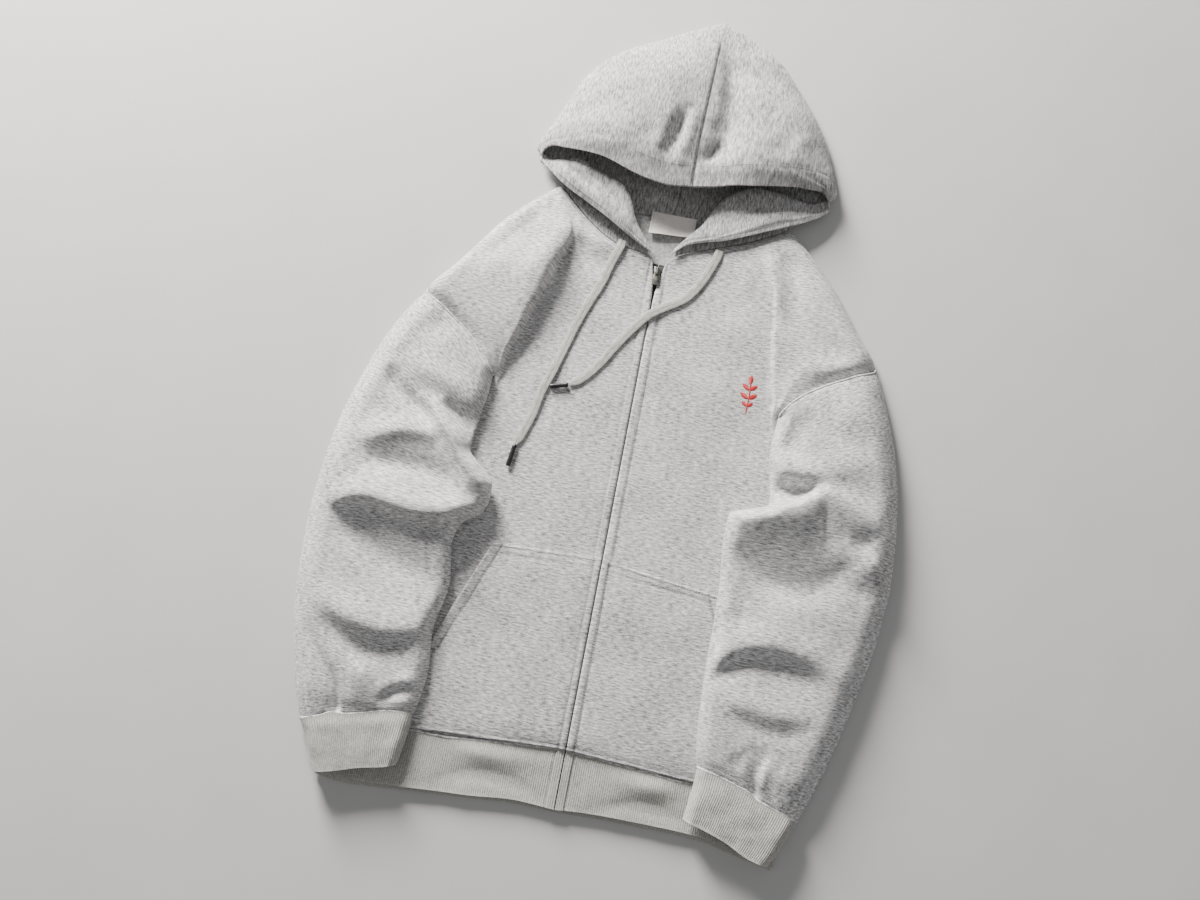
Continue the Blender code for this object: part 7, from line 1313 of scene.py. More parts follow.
for key, T, F, cs, tb, sd, hi, gap in (("sleeve_right", SLEEVE_R, FRONT_R, CUFF_SEAM_R, FOLD_SLEEVE_R, -1, 13, .12),
                                       ("sleeve_left", SLEEVE_L, FRONT_L, CUFF_SEAM_L, FOLD_SLEEVE_L, 1, 14, .12)):
    NTF, NBF = 84, 24
    sm = seam_line(F, seam_rows(F, 8, hi, spread(NTF)), gap)
    qs = steps([10] * 15)
    S = sleeve(T, sm, cs, tb, sd, qs, NTF, NBF)
    top = S[:, 1:NTF]
    x, y = top[..., 0], top[..., 1]
    s0 = arc(S, 0)[..., 1:NTF]
    e0 = np.minimum(s0, s0[-1:] - s0)
    dE = np.minimum(arc(S, 1)[:, 1:NTF], arc(S, 1)[:, NTF:NTF + 1] - arc(S, 1)[:, 1:NTF])
    keep = smooth(e0 / 10.0) * smooth(dE / 12.0)
    S[:, 1:NTF, 2] += (wob(top, 38, 2.2 + sd) * 1.0 + wob(top, 17, 7.7 + sd) * .35) * keep
    pk = wob(top, 8.0, 4.4 + sd) * .7 + wob(top, 4.2, 9.1 + sd) * .3
    near_end = np.exp(-(e0 / 9.0) ** 2)
    S[:, 1:NTF, 2] += .55 * pk * near_end * smooth(e0 / 1.6) * smooth(dE / 6.0)
    # seams at both ends sunk, with painted shade along them
    S[:, 1:NTF, 2] -= (.9 * np.exp(-(e0 / 2.6) ** 2) + .35 * np.exp(-((e0 - 7.5) / 1.0) ** 2)) * smooth(dE / 6.0)
    dip = np.zeros(S.shape[:2]); dip[:, 1:NTF] = .5 * np.exp(-(e0 / 1.5) ** 2) + .25 * np.exp(-((e0 - 7.5) / .9) ** 2)
    q = inside(S, NTF, 1.9)
    vf = pipe(S, q); SLV[key] = tree(vf)
    Vs = np.repeat(arc(S, 0).mean(1, keepdims=True), S.shape[1], 1); Us = np.repeat(arc(S, 1).mean(0, keepdims=True), S.shape[0], 0)
    ob = piece(key + "_shell", vf, CLOTH, [key], Us, Vs, dip, angle=70)
    RING[key] = [(S[0].copy(), S[4].copy()), (S[-1].copy(), S[-5].copy())]
    for end, ring, inn in (("a", S[0], S[4]), ("b", S[-1], S[-5])):     # the rolled seams at the armhole and at the cuff
        ax = (inn - ring).mean(0); ax /= np.linalg.norm(ax)
        loop = resample(np.vstack([ring, ring[:1]]), 2.0)
        roll = oval(.95, 1.25, 10)
        piece("%s_seam_roll_%s" % (key, end), rod(loop + ax * .3, roll, up=ax), CLOTH, [], angle=80)

# ---- cuffs: rib knit, real ribs about 2.1 mm apart on the outside
def ribs(P, s, amp, seed, pitch=2.15, wrap=False):
    n = normals(P, wrap)
    ph = s / pitch + .12 * wob(P, 14, seed)
    w = np.abs((ph % 1.0) - .5) * 2                                    # 0 at the crest, 1 in the valley
    h = 1 - w ** 2.2
    # the second value is a mask for painted shade in the rib valleys
    return P + n * ((h - 1) * amp)[..., None], w ** 3


for key, T, cs, mo, sd in (("cuff_right", CUFF_R, CUFF_SEAM_R, MOUTH_R, -1), ("cuff_left", CUFF_L, CUFF_SEAM_L, MOUTH_L, 1)):
    NTC, NBC = 340, 60
    S = cuff(T, cs, mo, sd, steps([7] * 4), NTC, NBC)
    n = normals(S, True)
    if (n[2, NTC // 2, 2]) < 0: n = -n
    s = arc(S, 1); l = arc(S, 0)
    mid = l / l[-1:]
    S[:, 1:NTC, 2] += (wob(S[:, 1:NTC], 24, 3.0 + sd) * 1.1 + wob(S[:, 1:NTC], 9, 6.0 + sd) * .3) * smooth(mid[:, 1:NTC] / .2) * smooth((s[:, 1:NTC]) / 9) * smooth((s[:, NTC:NTC + 1] - s[:, 1:NTC]) / 9)
    q = inside(S, NTC, 2.1)
    ph = s / s[:, -1:] * round(s[:, -1].mean() / 2.3)
    w = np.abs(((ph + .1 * wob(S, 16, 2.0)) % 1.0) - .5) * 2
    fade = smooth(np.minimum(l, l[-1:] - l) / 3.0)
    O = S - n * (.42 * w ** 2.2 * fade)[..., None]
    # painted shade in the rib valleys and along the sleeve seam
    dip = w ** 3 * .8 * fade
    dip += .4 * np.exp(-(l / 1.6) ** 2)
    vf = pipe(O, q); SLV[key] = tree(vf)
    ob = piece(key + "_shell", vf, RIB, [key], s, l, dip, angle=75)

# ---- hem band
hr = np.linspace(0, len(HEM) - 1, 2200 if not Q else 900)
G = hem(hr, np.linspace(0, 1, 17))
sH = arc(G, 0).mean(1); hr2 = np.interp(np.linspace(0, sH[-1], len(hr)), sH, hr)
G = hem(hr2, np.linspace(0, 1, 17)); n = normals(G)
s = np.repeat(arc(G, 0).mean(1)[:, None], G.shape[1], 1); f = np.linspace(0, 1, 17)[None, :] * np.ones_like(s)
top = (hr2 < 6.2) | (hr2 > 24.8)
if n[5, 5, 2] < 0: n = -n
wv = (wob(G, 34, 2.0) * .8 + wob(G, 13, 5.0) * .25) * smooth(f / .25) * top[:, None] * smooth(np.minimum(s, s[-1:] - s) / 12)
xg, yg = G[..., 0], G[..., 1]
wv = wv + 3.2 * np.exp(-((xg + 78) / 34) ** 2 - ((yg - 40) / 9) ** 2) - 3.0 * np.exp(-((xg + 72) / 40) ** 2 - ((yg - 20 + .004 * (xg + 72) ** 2) / 7) ** 2)
wv = wv + 3.2 * np.exp(-((xg - 92) / 30) ** 2 - ((yg - 40) / 9) ** 2) - 3.0 * np.exp(-((xg - 92) / 38) ** 2 - ((yg - 20 + .004 * (xg - 92) ** 2) / 7) ** 2)
fz = np.abs(np.abs(xg) - 10.1)
wv = wv + np.where(G[..., 2] > 5.9, .8 * (1 - smooth((np.abs(xg) - 8.6) / 2.4)) - .6 * np.exp(-(fz / 1.1) ** 2), 0)
wv = np.maximum(wv, -1.4)
wv = np.where(G[..., 2] > 5.9, wv, 0)
G = G + n * wv[..., None]
ph = s / 2.3 + .10 * wob(G, 18, 1.0)
w = np.abs((ph % 1.0) - .5) * 2
fade = smooth(np.minimum(f, 1 - f) / .06)
outer = G + n * 1.25 - n * (.42 * w ** 2.2 * fade)[..., None]
inner = G - n * 1.25
# painted shade in the rib valleys, along the seam at the top edge and in the facing's groove
dip = w ** 3 * .8 * fade + .35 * np.exp(-(f * 60 / 1.5) ** 2) + np.where(G[..., 2] > 5.9, .5 * np.exp(-(fz / .9) ** 2), 0)
vf = slab(outer, inner); HEMT = tree(vf)
ob = piece("hem_band_shell", vf, RIB, ["hem_band"], s, f * 60, dip, angle=75)
w_, l_, a_ = cut(G)

# ---- pockets
PK = {}
for key, T, Fp, sd in (("pocket_right", POCKET_R, FR, -1), ("pocket_left", POCKET_L, FL, 1)):
    qr = np.unique(np.round(np.concatenate([[0, .02, .05, .1, .15], steps([10, 9, 8, 12, 14]), [4.93, 4.965]]), 6)); base = pocket(T, [Fp[:, ::2]], qr[::3] if len(qr[::3]) and qr[::3][-1] == qr[-1] else np.append(qr[::3], qr[-1]), 12)
    # heights on a coarser drape, read back onto the fine grid
    cr = qr[::3] if qr[::3][-1] == qr[-1] else np.append(qr[::3], qr[-1])
    TT = np.asarray(T, float); R = len(TT); nC = 76
    TT[:, 0] *= .6 / 2.1; TT[0, 1] -= .2; TT[0, 3] -= .1
    Pq = np.stack([np.interp(qr, np.arange(R), TT[:, i]) for i in range(4)], 1); u0 = np.linspace(0, 1, nC + 1); u = .5 * (u0 ** 1.5 + 1 - (1 - u0) ** 1.5)
    X = Pq[:, 0:1] + (Pq[:, 2:3] - Pq[:, 0:1]) * u; Y = Pq[:, 1:2] + (Pq[:, 3:4] - Pq[:, 1:2]) * u
    Z1 = np.stack([np.interp(12 * u, np.arange(13), base[i, :, 2]) for i in range(len(cr))])
    Z = np.stack([np.interp(qr, cr, Z1[:, j]) for j in range(nC + 1)], 1)
    g = np.stack([X, Y, Z + .15], -1)
    topd = np.abs(near(g[-1, :, :2], X, Y)[0]); mouth = g[(qr >= 2) , -1, :2]; md = np.abs(near(mouth, X, Y)[0])
    zd = np.abs(X) - .6; hd = Y - g[0, :, 1][None, :]
    U = g.copy()
    bag = smooth(md / 40) * smooth(topd / 30) * smooth(hd / 24) * smooth(zd / 24)
    U[..., 2] += 1.6 + (.5 + .9 * (wob(g, 52, 3.0 + sd) * .5 + .5)) * bag + wob(g, 21, 6.6 + sd) * .3 * bag
    # mouth of the pocket stands a little proud, stitched 10 mm in; top edge twin stitched
    U[..., 2] += 1.1 * np.exp(-(md / 6.5) ** 2) * smooth(hd / 30) * smooth(topd / 10)
    # painted shade in the stitched grooves and along the pocket's lower edge
    dip = np.zeros(X.shape)
    for d, o in ((md, 10.5), (topd, 2.6), (topd, 8.6), (zd, 7.9), (hd, 4.2)):
        gg = np.exp(-((d - o) / 1.1) ** 2); U[..., 2] -= .8 * gg; dip += 1.0 * gg
    pk = wob(g, 7.0, 2.4 + sd) * .7 + wob(g, 3.8, 8.8 + sd) * .3
    U[..., 2] += .4 * pk * (np.exp(-((topd - 5) / 6) ** 2) + np.exp(-((md - 10) / 6) ** 2) + np.exp(-((zd - 9) / 5) ** 2) + np.exp(-(hd / 7) ** 2))
    dip += .5 * np.exp(-(hd / 1.5) ** 2)
    U[..., 2] += .7 * np.exp(-((hd - 1.8) / 1.6) ** 2) + .8 * (1 - smooth((zd - 6.6) / 2.4))
    ed = np.minimum(np.minimum(topd, md), np.minimum(zd, hd) + .01)
    round_edge(U, ed, 1.2)
    U[..., 2] = np.maximum(U[..., 2], g[..., 2] + .35)
    vf = slab(U, g); PK[key] = tree(vf)
    ob = piece(key + "_shell", vf, CLOTH, [key], X, Y + 3, dip)

# ---- hood halves
FOLD_SEAM = [   # the sharp pair of dips that meet at the centre seam above the mouth, with the ridge between them
    [(2, 800, 0, 5, 5), (-2, 786, -4, 4, 8), (-8, 764, -4.5, 4, 9), (-16, 742, -3, 4, 7), (-22, 726, 0, 4, 5)],
    [(8, 796, 0, 5, 5), (8, 778, 3, 5, 5), (6, 752, 3.5, 6, 6), (2, 730, 2, 6, 6), (0, 716, 0, 6, 6)],
    [(34, 796, 0, 6, 6), (44, 778, -4, 9, 6), (44, 758, -5, 10, 7), (38, 742, -4.5, 8, 6), (30, 728, 0, 6, 6)],
    [(16, 764, 0, 4, 4), (26, 762, 2.5, 4, 4), (40, 770, 2.5, 4, 4), (52, 782, 0, 4, 4)],
    [(46, 880, 0, 6, 6), (60, 872, -3, 8, 5), (84, 858, -3, 8, 5), (100, 846, 0, 7, 5)],
    [(34, 900, 0, 8, 6), (40, 860, -3, 12, 7), (46, 820, -3.5, 12, 8), (48, 790, 0, 10, 8)],
]
HOODG = {}; HT = {}
for key, T, Pf, sd in (("hood_right", HOOD_R, FRONT_R, -1), ("hood_left", HOOD_L, FRONT_L, 1)):
    nrow = len(Pf) - 1; r16 = 16 if sd < 0 else 17
    ne = front(Pf, np.linspace(r16, nrow, 40), 5, 6)[:, 0]             # the neck edge, zip to shoulder
    qr = steps([6] * 6 + [7] * 8 + [6] * 5); qc = steps([9, 9, 7, 3, 3, 4, 9, 9])
    m = hood_folds(hood(T, ne, sd, qr, qc, .4), qr, qc, sd)
    n = hood_normals(m, qr, qc); h = thick(m, qr, qc, 4.4, 2.1)
    w_ = np.clip(np.minimum(qc / .25, (3.4 - qc) / .8), 0, 1)[None, :]; w_ = smooth(w_) * smooth((9.0 - qr) / 1.5)[:, None]
    m[..., 2] += folds(FOLD_SEAM, m[..., 0], m[..., 1]) * w_
    # sunk centre seam, and the casing's stitched line round the mouth
    ds = arc(m, 0)                                                     # from the centre seam
    face = (1 - smooth((qc - 3.0) / .5))[None, :]
    crown = smooth((8.6 - qr) / 1.0)[:, None]
    g1 = np.exp(-(ds / 2.6) ** 2) * face * crown
    m[..., 2] -= 1.1 * g1 + .4 * np.exp(-((ds - 5.5) / 1.1) ** 2) * face * crown
    dm = arc(m, 1)                                                     # from the mouth's edge
    cas = smooth((9.2 - qr) / .8)[:, None]
    g2 = np.exp(-((dm - 24.0) / 1.3) ** 2) * cas * face; m[..., 2] -= .8 * g2
    g3 = np.exp(-((dm - 5.0) / 1.0) ** 2) * face * (1 - cas); m[..., 2] -= .5 * g3
    pk = wob(m, 8.0, 2.9 + sd) * .7 + wob(m, 4.3, 7.9 + sd) * .3
    near_s = np.exp(-((ds - 3) / 6.0) ** 2) * crown + np.exp(-((dm - 24) / 7.0) ** 2) * cas + .6 * np.exp(-((dm - 5) / 6) ** 2)
    soft = smooth(ds / 12) * smooth(dm / 8) * face
    m[..., 2] += .55 * pk * near_s * face * smooth(dm / 3.0) * smooth(ds / 2.0)
    m[..., 2] += (wob(m, 40, 1.1 + sd) * 1.1 + wob(m, 18, 4.9 + sd) * .4) * soft * crown
    # painted shade in the sunk centre seam, its stitched line and the stitched lines of casing and collar
    dip = .35 * np.exp(-(ds / 1.3) ** 2) * face * crown + .35 * g2 + .4 * g3 + .3 * np.exp(-((ds - 5.5) / .9) ** 2) * face * crown
    up, lo = m + n * h, m - n * h
    vf = slab(up, lo); HT[key] = tree(vf)
    ob = piece(key + "_shell", vf, HOODC, [key], m[..., 0], m[..., 1], dip, angle=75)
    HOODG[key] = (up, lo, qr, qc, m)


# ---- the rolled seam between each front and the hem band
for key, Pf, tf in (("right", FR, FLOW["front_right"]), ("left", FL, FLOW["front_left"])):
    e = resample(Pf[0, :, :2] + np.array([0, .7]), 2.0)
    pts = []
    for x_, y_ in e:
        h_, n_ = drop(tf, x_, y_ + .6)
        if h_ is not None: pts.append((x_, y_, h_ + .25))
    pts = np.array(pts)
    if len(pts) > 8:
        pts[:, 2] = np.convolve(np.pad(pts[:, 2], 3, mode="edge"), np.ones(7) / 7, "valid")
        vr = rod(pts, oval(1.5, 1.1, 12))
        piece("hem_seam_roll_" + key, vr, CLOTH, [], angle=80)


# ---- the cloth that joins each front to its sleeve at the armhole, so that the seam is closed from every side
for key, sk, Pf, T, rows in (("right", "sleeve_right", FR, FRONT_R, (8, 13)), ("left", "sleeve_left", FL, FRONT_L, (8, 14))):
    qq = steps([4] * (len(T) - 1))
    A = Pf[(qq >= rows[0]) & (qq <= rows[1]), -1, :].copy()
    A = resample(A, 2.5)
    ring, inn = min(RING[sk], key=lambda r: np.linalg.norm(r[0].mean(0)[:2] - A.mean(0)[:2]))
    ax = (inn - ring).mean(0); ax[2] = 0; ax /= np.linalg.norm(ax)
    up_ = resample(ring[:NTF + 1], 1.0)
    B = np.array([up_[np.argmin(np.linalg.norm(up_[:, :2] - a[:2], axis=1))] for a in A])
    for i in range(3): B[:, i] = np.convolve(np.pad(B[:, i], 2, mode="edge"), np.ones(5) / 5, "valid")
    lo = np.array([0, 0, 1.0])
    cols = [A - ax * 1.8 - lo * .2, A - lo * .1, .5 * (A + B) + lo * .1, B - lo * .2, B + ax * 1.8 - lo * .45]
    Gs = np.stack(cols, 1)
    piece("armhole_join_" + key, slab(Gs, Gs - lo * 1.1), CLOTH, [], angle=80)

# ---- neck label: blank satin tape, its side edges turned under and sewn
g = label(np.linspace(0, 4, 33), 44); n = normals(g)
if n[5, 5, 2] < 0: n = -n
u = arc(g, 1); v = arc(g, 0)
g = g + n * (.25 * wob(g, 9, 2.0) * (v / v.max()))[..., None]
dl_ = np.minimum(u, u[:, -1:] - u)
# painted shade along the turned-under side edges
dip = .5 * np.exp(-((dl_ - 2.2) / .6) ** 2)
t = .32 + .12 * (dl_ < 4.5)
vf = slab(g + n * t[..., None], g - n * .4); LT = tree(vf)
lab = piece("neck_label_shell", vf, LABELM, ["neck_label"], u, v, dip)

# ---- zip: chain of teeth between the fronts' edges, tapes and box carried over, slider and pull rounded
tv = []; tf = []; nt = 0
y = 14.0
while y < 598:
    for s in (-1, 1):
        yy = y + (0 if s < 0 else .85)
        o = [(s * .15, yy - .42), (s * 2.9, yy - .55), (s * 2.9, yy + .55), (s * .15, yy + .42)]
        for z, k in ((3.95, 1.0), (5.0, 1.0), (5.4, .7)):
            cx = sum(p[0] for p in o) / 4; cy = sum(p[1] for p in o) / 4
            tv += [((cx + (p[0] - cx) * k), (cy + (p[1] - cy) * k), z) for p in o]
        for r in range(2):
            for j in range(4):
                a, b = nt + r * 4 + j, nt + r * 4 + (j + 1) % 4
                tf.append((a, b, b + 4, a + 4))
        tf.append((nt + 3, nt + 2, nt + 1, nt)); tf.append((nt + 8, nt + 9, nt + 10, nt + 11)); nt += 12
    y += 1.7
piece("zip_teeth", ((np.array(tv) - (OX, OY, 0)) / 1000, tf), TIPM, angle=30)


def smoothed(node, mat, width, name, body):
    src = bpy.data.objects[node]
    me = bpy.data.meshes.new(name)
    bm = bmesh.new(); bm.from_mesh(src.data); bmesh.ops.remove_doubles(bm, verts=bm.verts, dist=1e-6)
    bmesh.ops.recalc_face_normals(bm, faces=bm.faces)
    bmesh.ops.dissolve_limit(bm, angle_limit=math.radians(2), verts=bm.verts, edges=bm.edges)
    bm.to_mesh(me); bm.free()
    ob = bpy.data.objects.new(name, me); bpy.context.scene.collection.objects.link(ob)
    ob.matrix_world = src.matrix_world
    mod = ob.modifiers.new("b", 'BEVEL'); mod.width = width; mod.segments = 3; mod.limit_method = 'ANGLE'; mod.angle_limit = math.radians(35)
    me2 = bpy.data.meshes.new_from_object(ob.evaluated_get(bpy.context.evaluated_depsgraph_get()))
    ob.modifiers.clear(); ob.data = me2
    co = np.empty(len(me2.vertices) * 3, np.float32); me2.vertices.foreach_get("co", co)
    a = me2.attributes.new("knit", 'FLOAT_VECTOR', 'POINT'); a.data.foreach_set("vector", co)
    me2.shade_smooth(); me2.set_sharp_from_angle(angle=math.radians(40))
    me2.materials.clear(); me2.materials.append(mat)
    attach(ob, body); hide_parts(node)
    PIECES[name] = ob
    return ob


smoothed("zip_slider", METALM, .00045, "slider_rounded", "garment")
smoothed("zip_pull", PULLM, .00028, "pull_rounded", "pull_tab")
for nd, mt in (("zip_tape_right", TAPEM), ("zip_tape_left", TAPEM), ("zip_box", TIPM)):
    ob = bpy.data.objects[nd]
    co = np.empty(len(ob.data.vertices) * 3, np.float32); ob.data.vertices.foreach_get("co", co)
    ob.data.materials.clear(); ob.data.materials.append(mt)

# ---- drawcords: flat braid, its strands crossing in a row of Vs; crimped plastic tips
for key, T, A in (("right", CORD_R, AGLET_R), ("left", CORD_L, AGLET_L)):
    hs = [HOODG["hood_" + key][0][::3, ::3], HOODG["hood_" + key][1][::3, ::3]]
    path, twist, length = cord_path(T, [FR[::3, ::2], FL[::3, ::2]] + hs, 61, half=CORD_H)
    if key == "left":
        d = np.abs(near(np.array(CORD_R, float)[:, :2], path[:, 0], path[:, 1])[0])
    c = chord(path); qs = np.linspace(0, c[-1], 460)
    fine = np.stack([pch(c, path[:, i], qs, False) for i in range(3)], 1)
    m = 36; ang = np.arange(m) * 2 * math.pi / m
    hw, hh = CORD_W / 2, CORD_H
    sx = hw * np.sign(np.cos(ang)) * np.abs(np.cos(ang)) ** .8; sy = hh * np.sign(np.sin(ang)) * np.abs(np.sin(ang)) ** .62
    S = np.stack([sx, sy], 1)[None] * np.ones((len(qs), 1, 1))
    strand = (qs[:, None] / 1.7 + np.abs(sx)[None, :] / 2.2)
    w = np.abs((strand % 1.0) - .5) * 2
    lane = np.abs(((np.abs(sx)[None, :] / hw * 3.0) % 1.0) - .5) * 2
    hgt = (1 - w ** 2) * .55 + .45 * (1 - lane ** 2)
    wid = 1 + .05 * np.array([noise.noise((q / 14, 3.1, 0)) for q in qs])
    end = c[-1] - qs
    wid = wid * (1 - .48 * np.exp(-(end / 5.0) ** 2)); tall = 1 + .35 * np.exp(-(end / 5.0) ** 2)
    k = 1 - .12 * (1 - hgt)
    S[..., 0] *= wid[:, None] * (1 - .03 * (1 - hgt)); S[..., 1] *= tall[:, None] * k
    vf = rod(fine, S, turn=np.interp(qs, c, twist))
    uu = np.repeat(sx[None], len(qs), 0); vv = np.repeat(qs[:, None], m, 1)
    # painted shade between the crossing strands and in the lengthwise valleys of the braid
    dip = .35 * w ** 4 + .55 * lane ** 4
    ob = piece("drawcord_%s_braid" % key, vf, CORDM, ["drawcord_" + key], None, None, None, angle=75)
    n_ = len(ob.data.vertices); kk = np.zeros((n_, 3), np.float32); kk[:uu.size, 0] = uu.ravel() / 1000; kk[:vv.size, 1] = vv.ravel() / 1000
    ob.data.attributes["knit"].data.foreach_set("vector", kk.ravel())
    dd = np.zeros(n_, np.float32); dd[:dip.size] = dip.ravel(); ob.data.attributes["dip"].data.foreach_set("value", dd)
    # tip
    z = path[-1, 2]; a, b = np.array(A[0], float), np.array(A[1], float); L = np.linalg.norm(b - a)
    qa = np.linspace(0, 1, 40)[:, None]
    P = np.concatenate([a + (b - a) * qa, np.full((40, 1), z + 1.1)], axis=1)
    prof = 1 - .28 * np.exp(-((qa[:, 0] * L) / .8) ** 2) - .22 * np.exp(-(((1 - qa[:, 0]) * L) / .9) ** 2) \
        - .10 * np.exp(-((qa[:, 0] * L - 5.0) / .7) ** 2) - .10 * np.exp(-((qa[:, 0] * L - 7.4) / .7) ** 2)
    S2 = oval(2.7, 1.7, 28)[None] * prof[:, None, None]
    tip = piece("aglet_%s_tip" % key, rod(P, S2), TIPM, ["aglet_" + key], angle=50)
    pts = (fine[::8] - (OX, OY, 0)) / 1000
    pts = np.concatenate([pts, [(fine[-1] - (OX, OY, 0)) / 1000]])
    ln = float(np.linalg.norm(np.diff(pts, axis=0), axis=1).sum())

# ---- topstitching
def on_grid(P, j0, rows=None):
    return P[:, j0, :2] if rows is None else P[rows, j0, :2]


def vline(x, y0, y1):
    return [(x, y0), (x, y1)]


for key, P, sd, t, nk in (("right", FR, -1, FLOW["front_right"], 15.9), ("left", FL, 1, FLOW["front_left"], 16.9)):
    T = Thread(); R_ = steps([4] * ((len(FRONT_R) if sd < 0 else len(FRONT_L)) - 1))
    neckl = P[R_ >= nk, 0, :2]
    T.run([(sd * 10.1, 262.0), (sd * 10.1, 560.0), (sd * 11.2, 590.0), (sd * 14.5, 611.0)], t, seed=1)
    for off in (3.4, 8.4):
        L = offset(neckl, off); L2 = offset(neckl, -off)
        use = L if L[len(L) // 2, 1] < neckl[len(neckl) // 2, 1] else L2
        T.run(use, t, seed=int(off * 10))
    T.make("stitches_front_" + key, THREAD)
    T = Thread(); tp = PK["pocket_" + key]; tab = np.array(POCKET_R if sd < 0 else POCKET_L, float)
    xs = np.linspace(tab[-1, 0], tab[-1, 2], 40); yt = tab[-1, 1] + (tab[-1, 3] - tab[-1, 1]) * (xs - tab[-1, 0]) / (tab[-1, 2] - tab[-1, 0])
    top = np.stack([xs, yt], 1)
    for off in (2.6, 8.6):
        T.run(top - (0, off), tp, seed=int(off * 7))
    mo = tab[2:, 2:4]; mo = resample(mo, 4.0)
    L = offset(mo, 10.5 if sd > 0 else -10.5)
    T.run(L, tp, seed=5)
    T.run([(sd * 8.5, 66), (sd * 8.5, 256)], tp, seed=8)
    T.make("stitches_pocket_" + key, THREAD)
    # sleeve: a row beside the armhole seam and one beside the cuff seam
    T = Thread(); tab2, cs = (SLEEVE_R, CUFF_SEAM_R) if sd < 0 else (SLEEVE_L, CUFF_SEAM_L)
    sm = seam_line(FRONT_R if sd < 0 else FRONT_L, seam_rows(FRONT_R if sd < 0 else FRONT_L, 8, 13 if sd < 0 else 14, spread(60)), .5)
    L = offset(sm, 7.5); L2 = offset(sm, -7.5)
    T.run(L if L[30, 1] < sm[30, 1] else L2, SLV["sleeve_" + key], seed=11)
    c2 = line(cs, 6)[:, :2]; L = offset(c2, 7.5); L2 = offset(c2, -7.5)
    T.run(L if L[20, 1] > c2[20, 1] else L2, SLV["sleeve_" + key], seed=12)
    T.make("stitches_sleeve_" + key, THREAD)
    # hood: centre seam, casing
    up, lo, qr, qc, m = HOODG["hood_" + key]; th = HT["hood_" + key]
    T = Thread()
    ds = arc(m, 0); dm = arc(m, 1)
    L = []
    for j in range(int(np.argmin(np.abs(qc - 2.9)))):
        i = int(np.argmin(np.abs(ds[:, j] - 5.5))); L.append(m[i, j, :2])
    T.run(np.array(L), th, seed=14)
    L = []
    for i in range(len(qr)):
        if qr[i] > 8.4: break
        j = int(np.argmin(np.abs(dm[i] - 24.0))); jj = np.interp(24.0, dm[i], np.arange(len(qc)))
        L.append([np.interp(jj, np.arange(len(qc)), m[i, :, k]) for k in range(2)])
    T.run(np.array(L), th, seed=15)
    L = []
    for i in range(len(qr)):
        if qr[i] < 9.6 or qr[i] > 17.5: continue
        jj = np.interp(5.0, dm[i], np.arange(len(qc)))
        L.append([np.interp(jj, np.arange(len(qc)), m[i, :, k]) for k in range(2)])
    T.run(np.array(L), th, seed=16)
    T.make("stitches_hood_" + key, THREAD)
T = Thread()
hl = np.stack([np.linspace(-250, -14, 60)] * 2, 1)
for sd, tab in ((-1, POCKET_R), (1, POCKET_L)):
    P = FR if sd < 0 else FL
    b = P[0, ::3, :2]; b = b[np.argsort(b[:, 0])]; k = np.abs(b[:, 0]) > 14
    T.run(b[k] + (0, 4.2), PK["pocket_right" if sd < 0 else "pocket_left"], seed=21)
T.make("stitches_hem", THREAD)
T = Thread()
for x0, y0, x1, y1 in ((-16.8, 675, -16.8, 650), (31.8, 674, 31.6, 653), (-17, 674.8, 32, 674)):
    T.run([(x0, y0), (x1, y1)], LT, pitch=2.2, r=.2, seed=30, sink=.05)
T.make("stitches_label", LABELM, "label")

# ---- chest motif: a small plain sprig of satin-stitched leaves
LEAF = [   # x, y of the leaf's foot, direction in degrees, length, half width
    (0, 14, 90, 11, 2.9), (0, 7, 38, 11, 2.7), (0, 7, 142, 11, 2.7), (0, -3, 32, 11.5, 2.8), (0, -3, 148, 11.5, 2.8), (0, -12, 40, 8.5, 2.2), (0, -12, 140, 8.5, 2.2)]
mv = []; mf = []; mk = []; tf_ = FLOW["front_left"]; nv = 0
for lx, ly, dg, ln, hw in LEAF:
    c_, s_ = math.cos(math.radians(dg)), math.sin(math.radians(dg)); nu, nw = 18, 9
    for i in range(nu + 1):
        q = i / nu; wd = hw * math.sin(math.pi * min(1, q * .93 + .05)) ** .8
        for j in range(nw + 1):
            r = -1 + 2 * j / nw
            x = 127 + lx + c_ * q * ln - s_ * wd * r; y = 473 + ly + s_ * q * ln + c_ * wd * r
            z, _ = drop(tf_, x, y)
            h = .62 * math.sqrt(max(0, 1 - r * r)) * (1 - abs(2 * q - 1) ** 6) - .1
            mv.append((x, y, z + h)); mk.append(((q * ln + abs(r) * 1.4) / 1000, r * wd / 1000, 0))
    for i in range(nu):
        for j in range(nw):
            a = nv + i * (nw + 1) + j; mf.append((a, a + 1, a + nw + 2, a + nw + 1))
    nv = len(mv)
for i in range(31):                                      # the stem
    y = 473 - 20 + 34.5 * i / 30
    for j in range(5):
        a = math.pi * j / 4; x = 127 + .75 * math.cos(a) + .8 * math.sin((y - 453) / 14)
        z, _ = drop(tf_, x, y); mv.append((x, y, z + .55 * math.sin(a) - .08)); mk.append(((y * .7 + x) / 1000, x / 1000, 0))
for i in range(30):
    for j in range(4):
        a = nv + i * 5 + j; mf.append((a, a + 5, a + 6, a + 1))
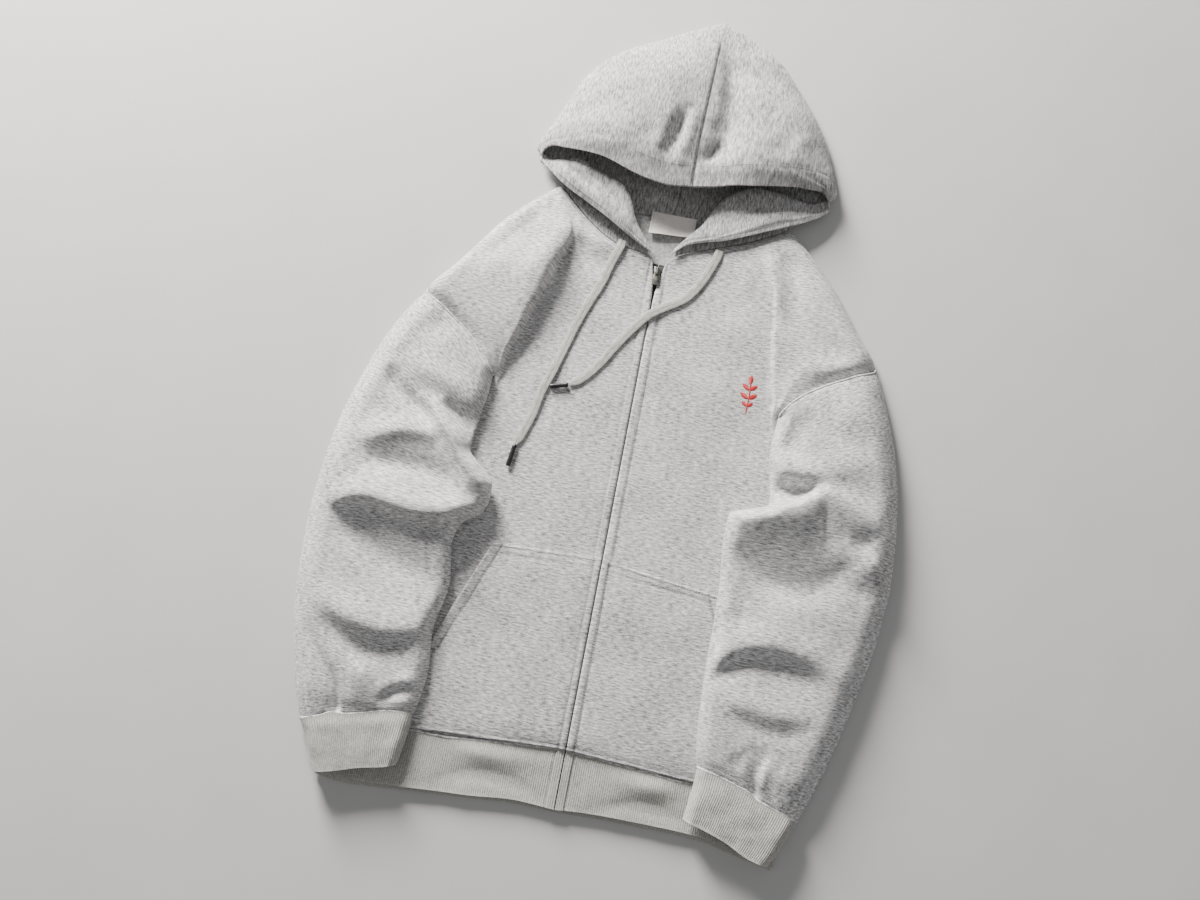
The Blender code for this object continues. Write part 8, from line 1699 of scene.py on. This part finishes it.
# a closed body: the same faces pushed into the cloth
nV = len(mv); mv2 = mv + [(x, y, z - 1.0) for x, y, z in mv]
edge = {}
for f_ in mf:
    for a, b in zip(f_, f_[1:] + f_[:1]): edge[(a, b)] = 1
side = [(b, a, a + nV, b + nV) for a, b in edge if (b, a) not in edge]
ob = piece("chest_sprig", ((np.array(mv2) - (OX, OY, 0)) / 1000, mf + [tuple(i + nV for i in f_[::-1]) for f_ in mf] + side), MOTIFM, angle=60)
kk = np.array(mk + mk, np.float32); ob.data.attributes["knit"].data.foreach_set("vector", kk.ravel())

# ---- camera at the photo's place
sc = bpy.context.scene
cam = bpy.data.cameras.new("camera"); cam.sensor_fit = 'HORIZONTAL'; cam.sensor_width = 36.0; cam.lens = 27.03
cam.clip_start = .01; cam.clip_end = 50
co = bpy.data.objects.new("camera", cam); sc.collection.objects.link(co); sc.camera = co
co.matrix_world = Matrix(((0.9818811, -0.1857198, 0.0376501, 0.019615), (0.1894976, 0.9623061, -0.1950835, -0.2758604),
                          (0, 0.1986834, 0.9800637, 0.9921769), (0, 0, 0, 1)))

# ---- plain pale floor, soft window light from the upper left
fl = bpy.data.meshes.new("floor"); fl.from_pydata([(-4, -4, -.0004), (4, -4, -.0004), (4, 4, -.0004), (-4, 4, -.0004)], [], [(0, 1, 2, 3)])
M = Mat("floor", rough=.9, spec=.2)
n = M.new("ShaderNodeTexCoord"); nn = M.new("ShaderNodeTexNoise"); nn.inputs["Scale"].default_value = 9; nn.inputs["Detail"].default_value = 5
M.link(n.outputs["Object"], nn.inputs["Vector"])
M.base(M.ramp(nn.outputs[0], [(.3, FLOOR_A), (.7, FLOOR_B)]))
fl.materials.append(M.m); fo = bpy.data.objects.new("floor", fl); sc.collection.objects.link(fo)


def area_light(name, az, dist, height, size, power, color=(1, 1, 1), look=(0, 0, 0)):
    l = bpy.data.lights.new(name, 'AREA'); l.shape = 'SQUARE'; l.size = size; l.energy = power; l.color = color
    o = bpy.data.objects.new(name, l); sc.collection.objects.link(o)
    a = math.radians(az); o.location = (dist * math.cos(a), dist * math.sin(a), height)
    o.rotation_euler = (Vector(look) - o.location).to_track_quat('-Z', 'Y').to_euler()


area_light("window", *KEY)
area_light("fill", *FILL)
w = bpy.data.worlds.new("world"); sc.world = w; w.use_nodes = True
w.node_tree.nodes["Background"].inputs[0].default_value = WORLD[0]
w.node_tree.nodes["Background"].inputs[1].default_value = WORLD[1]
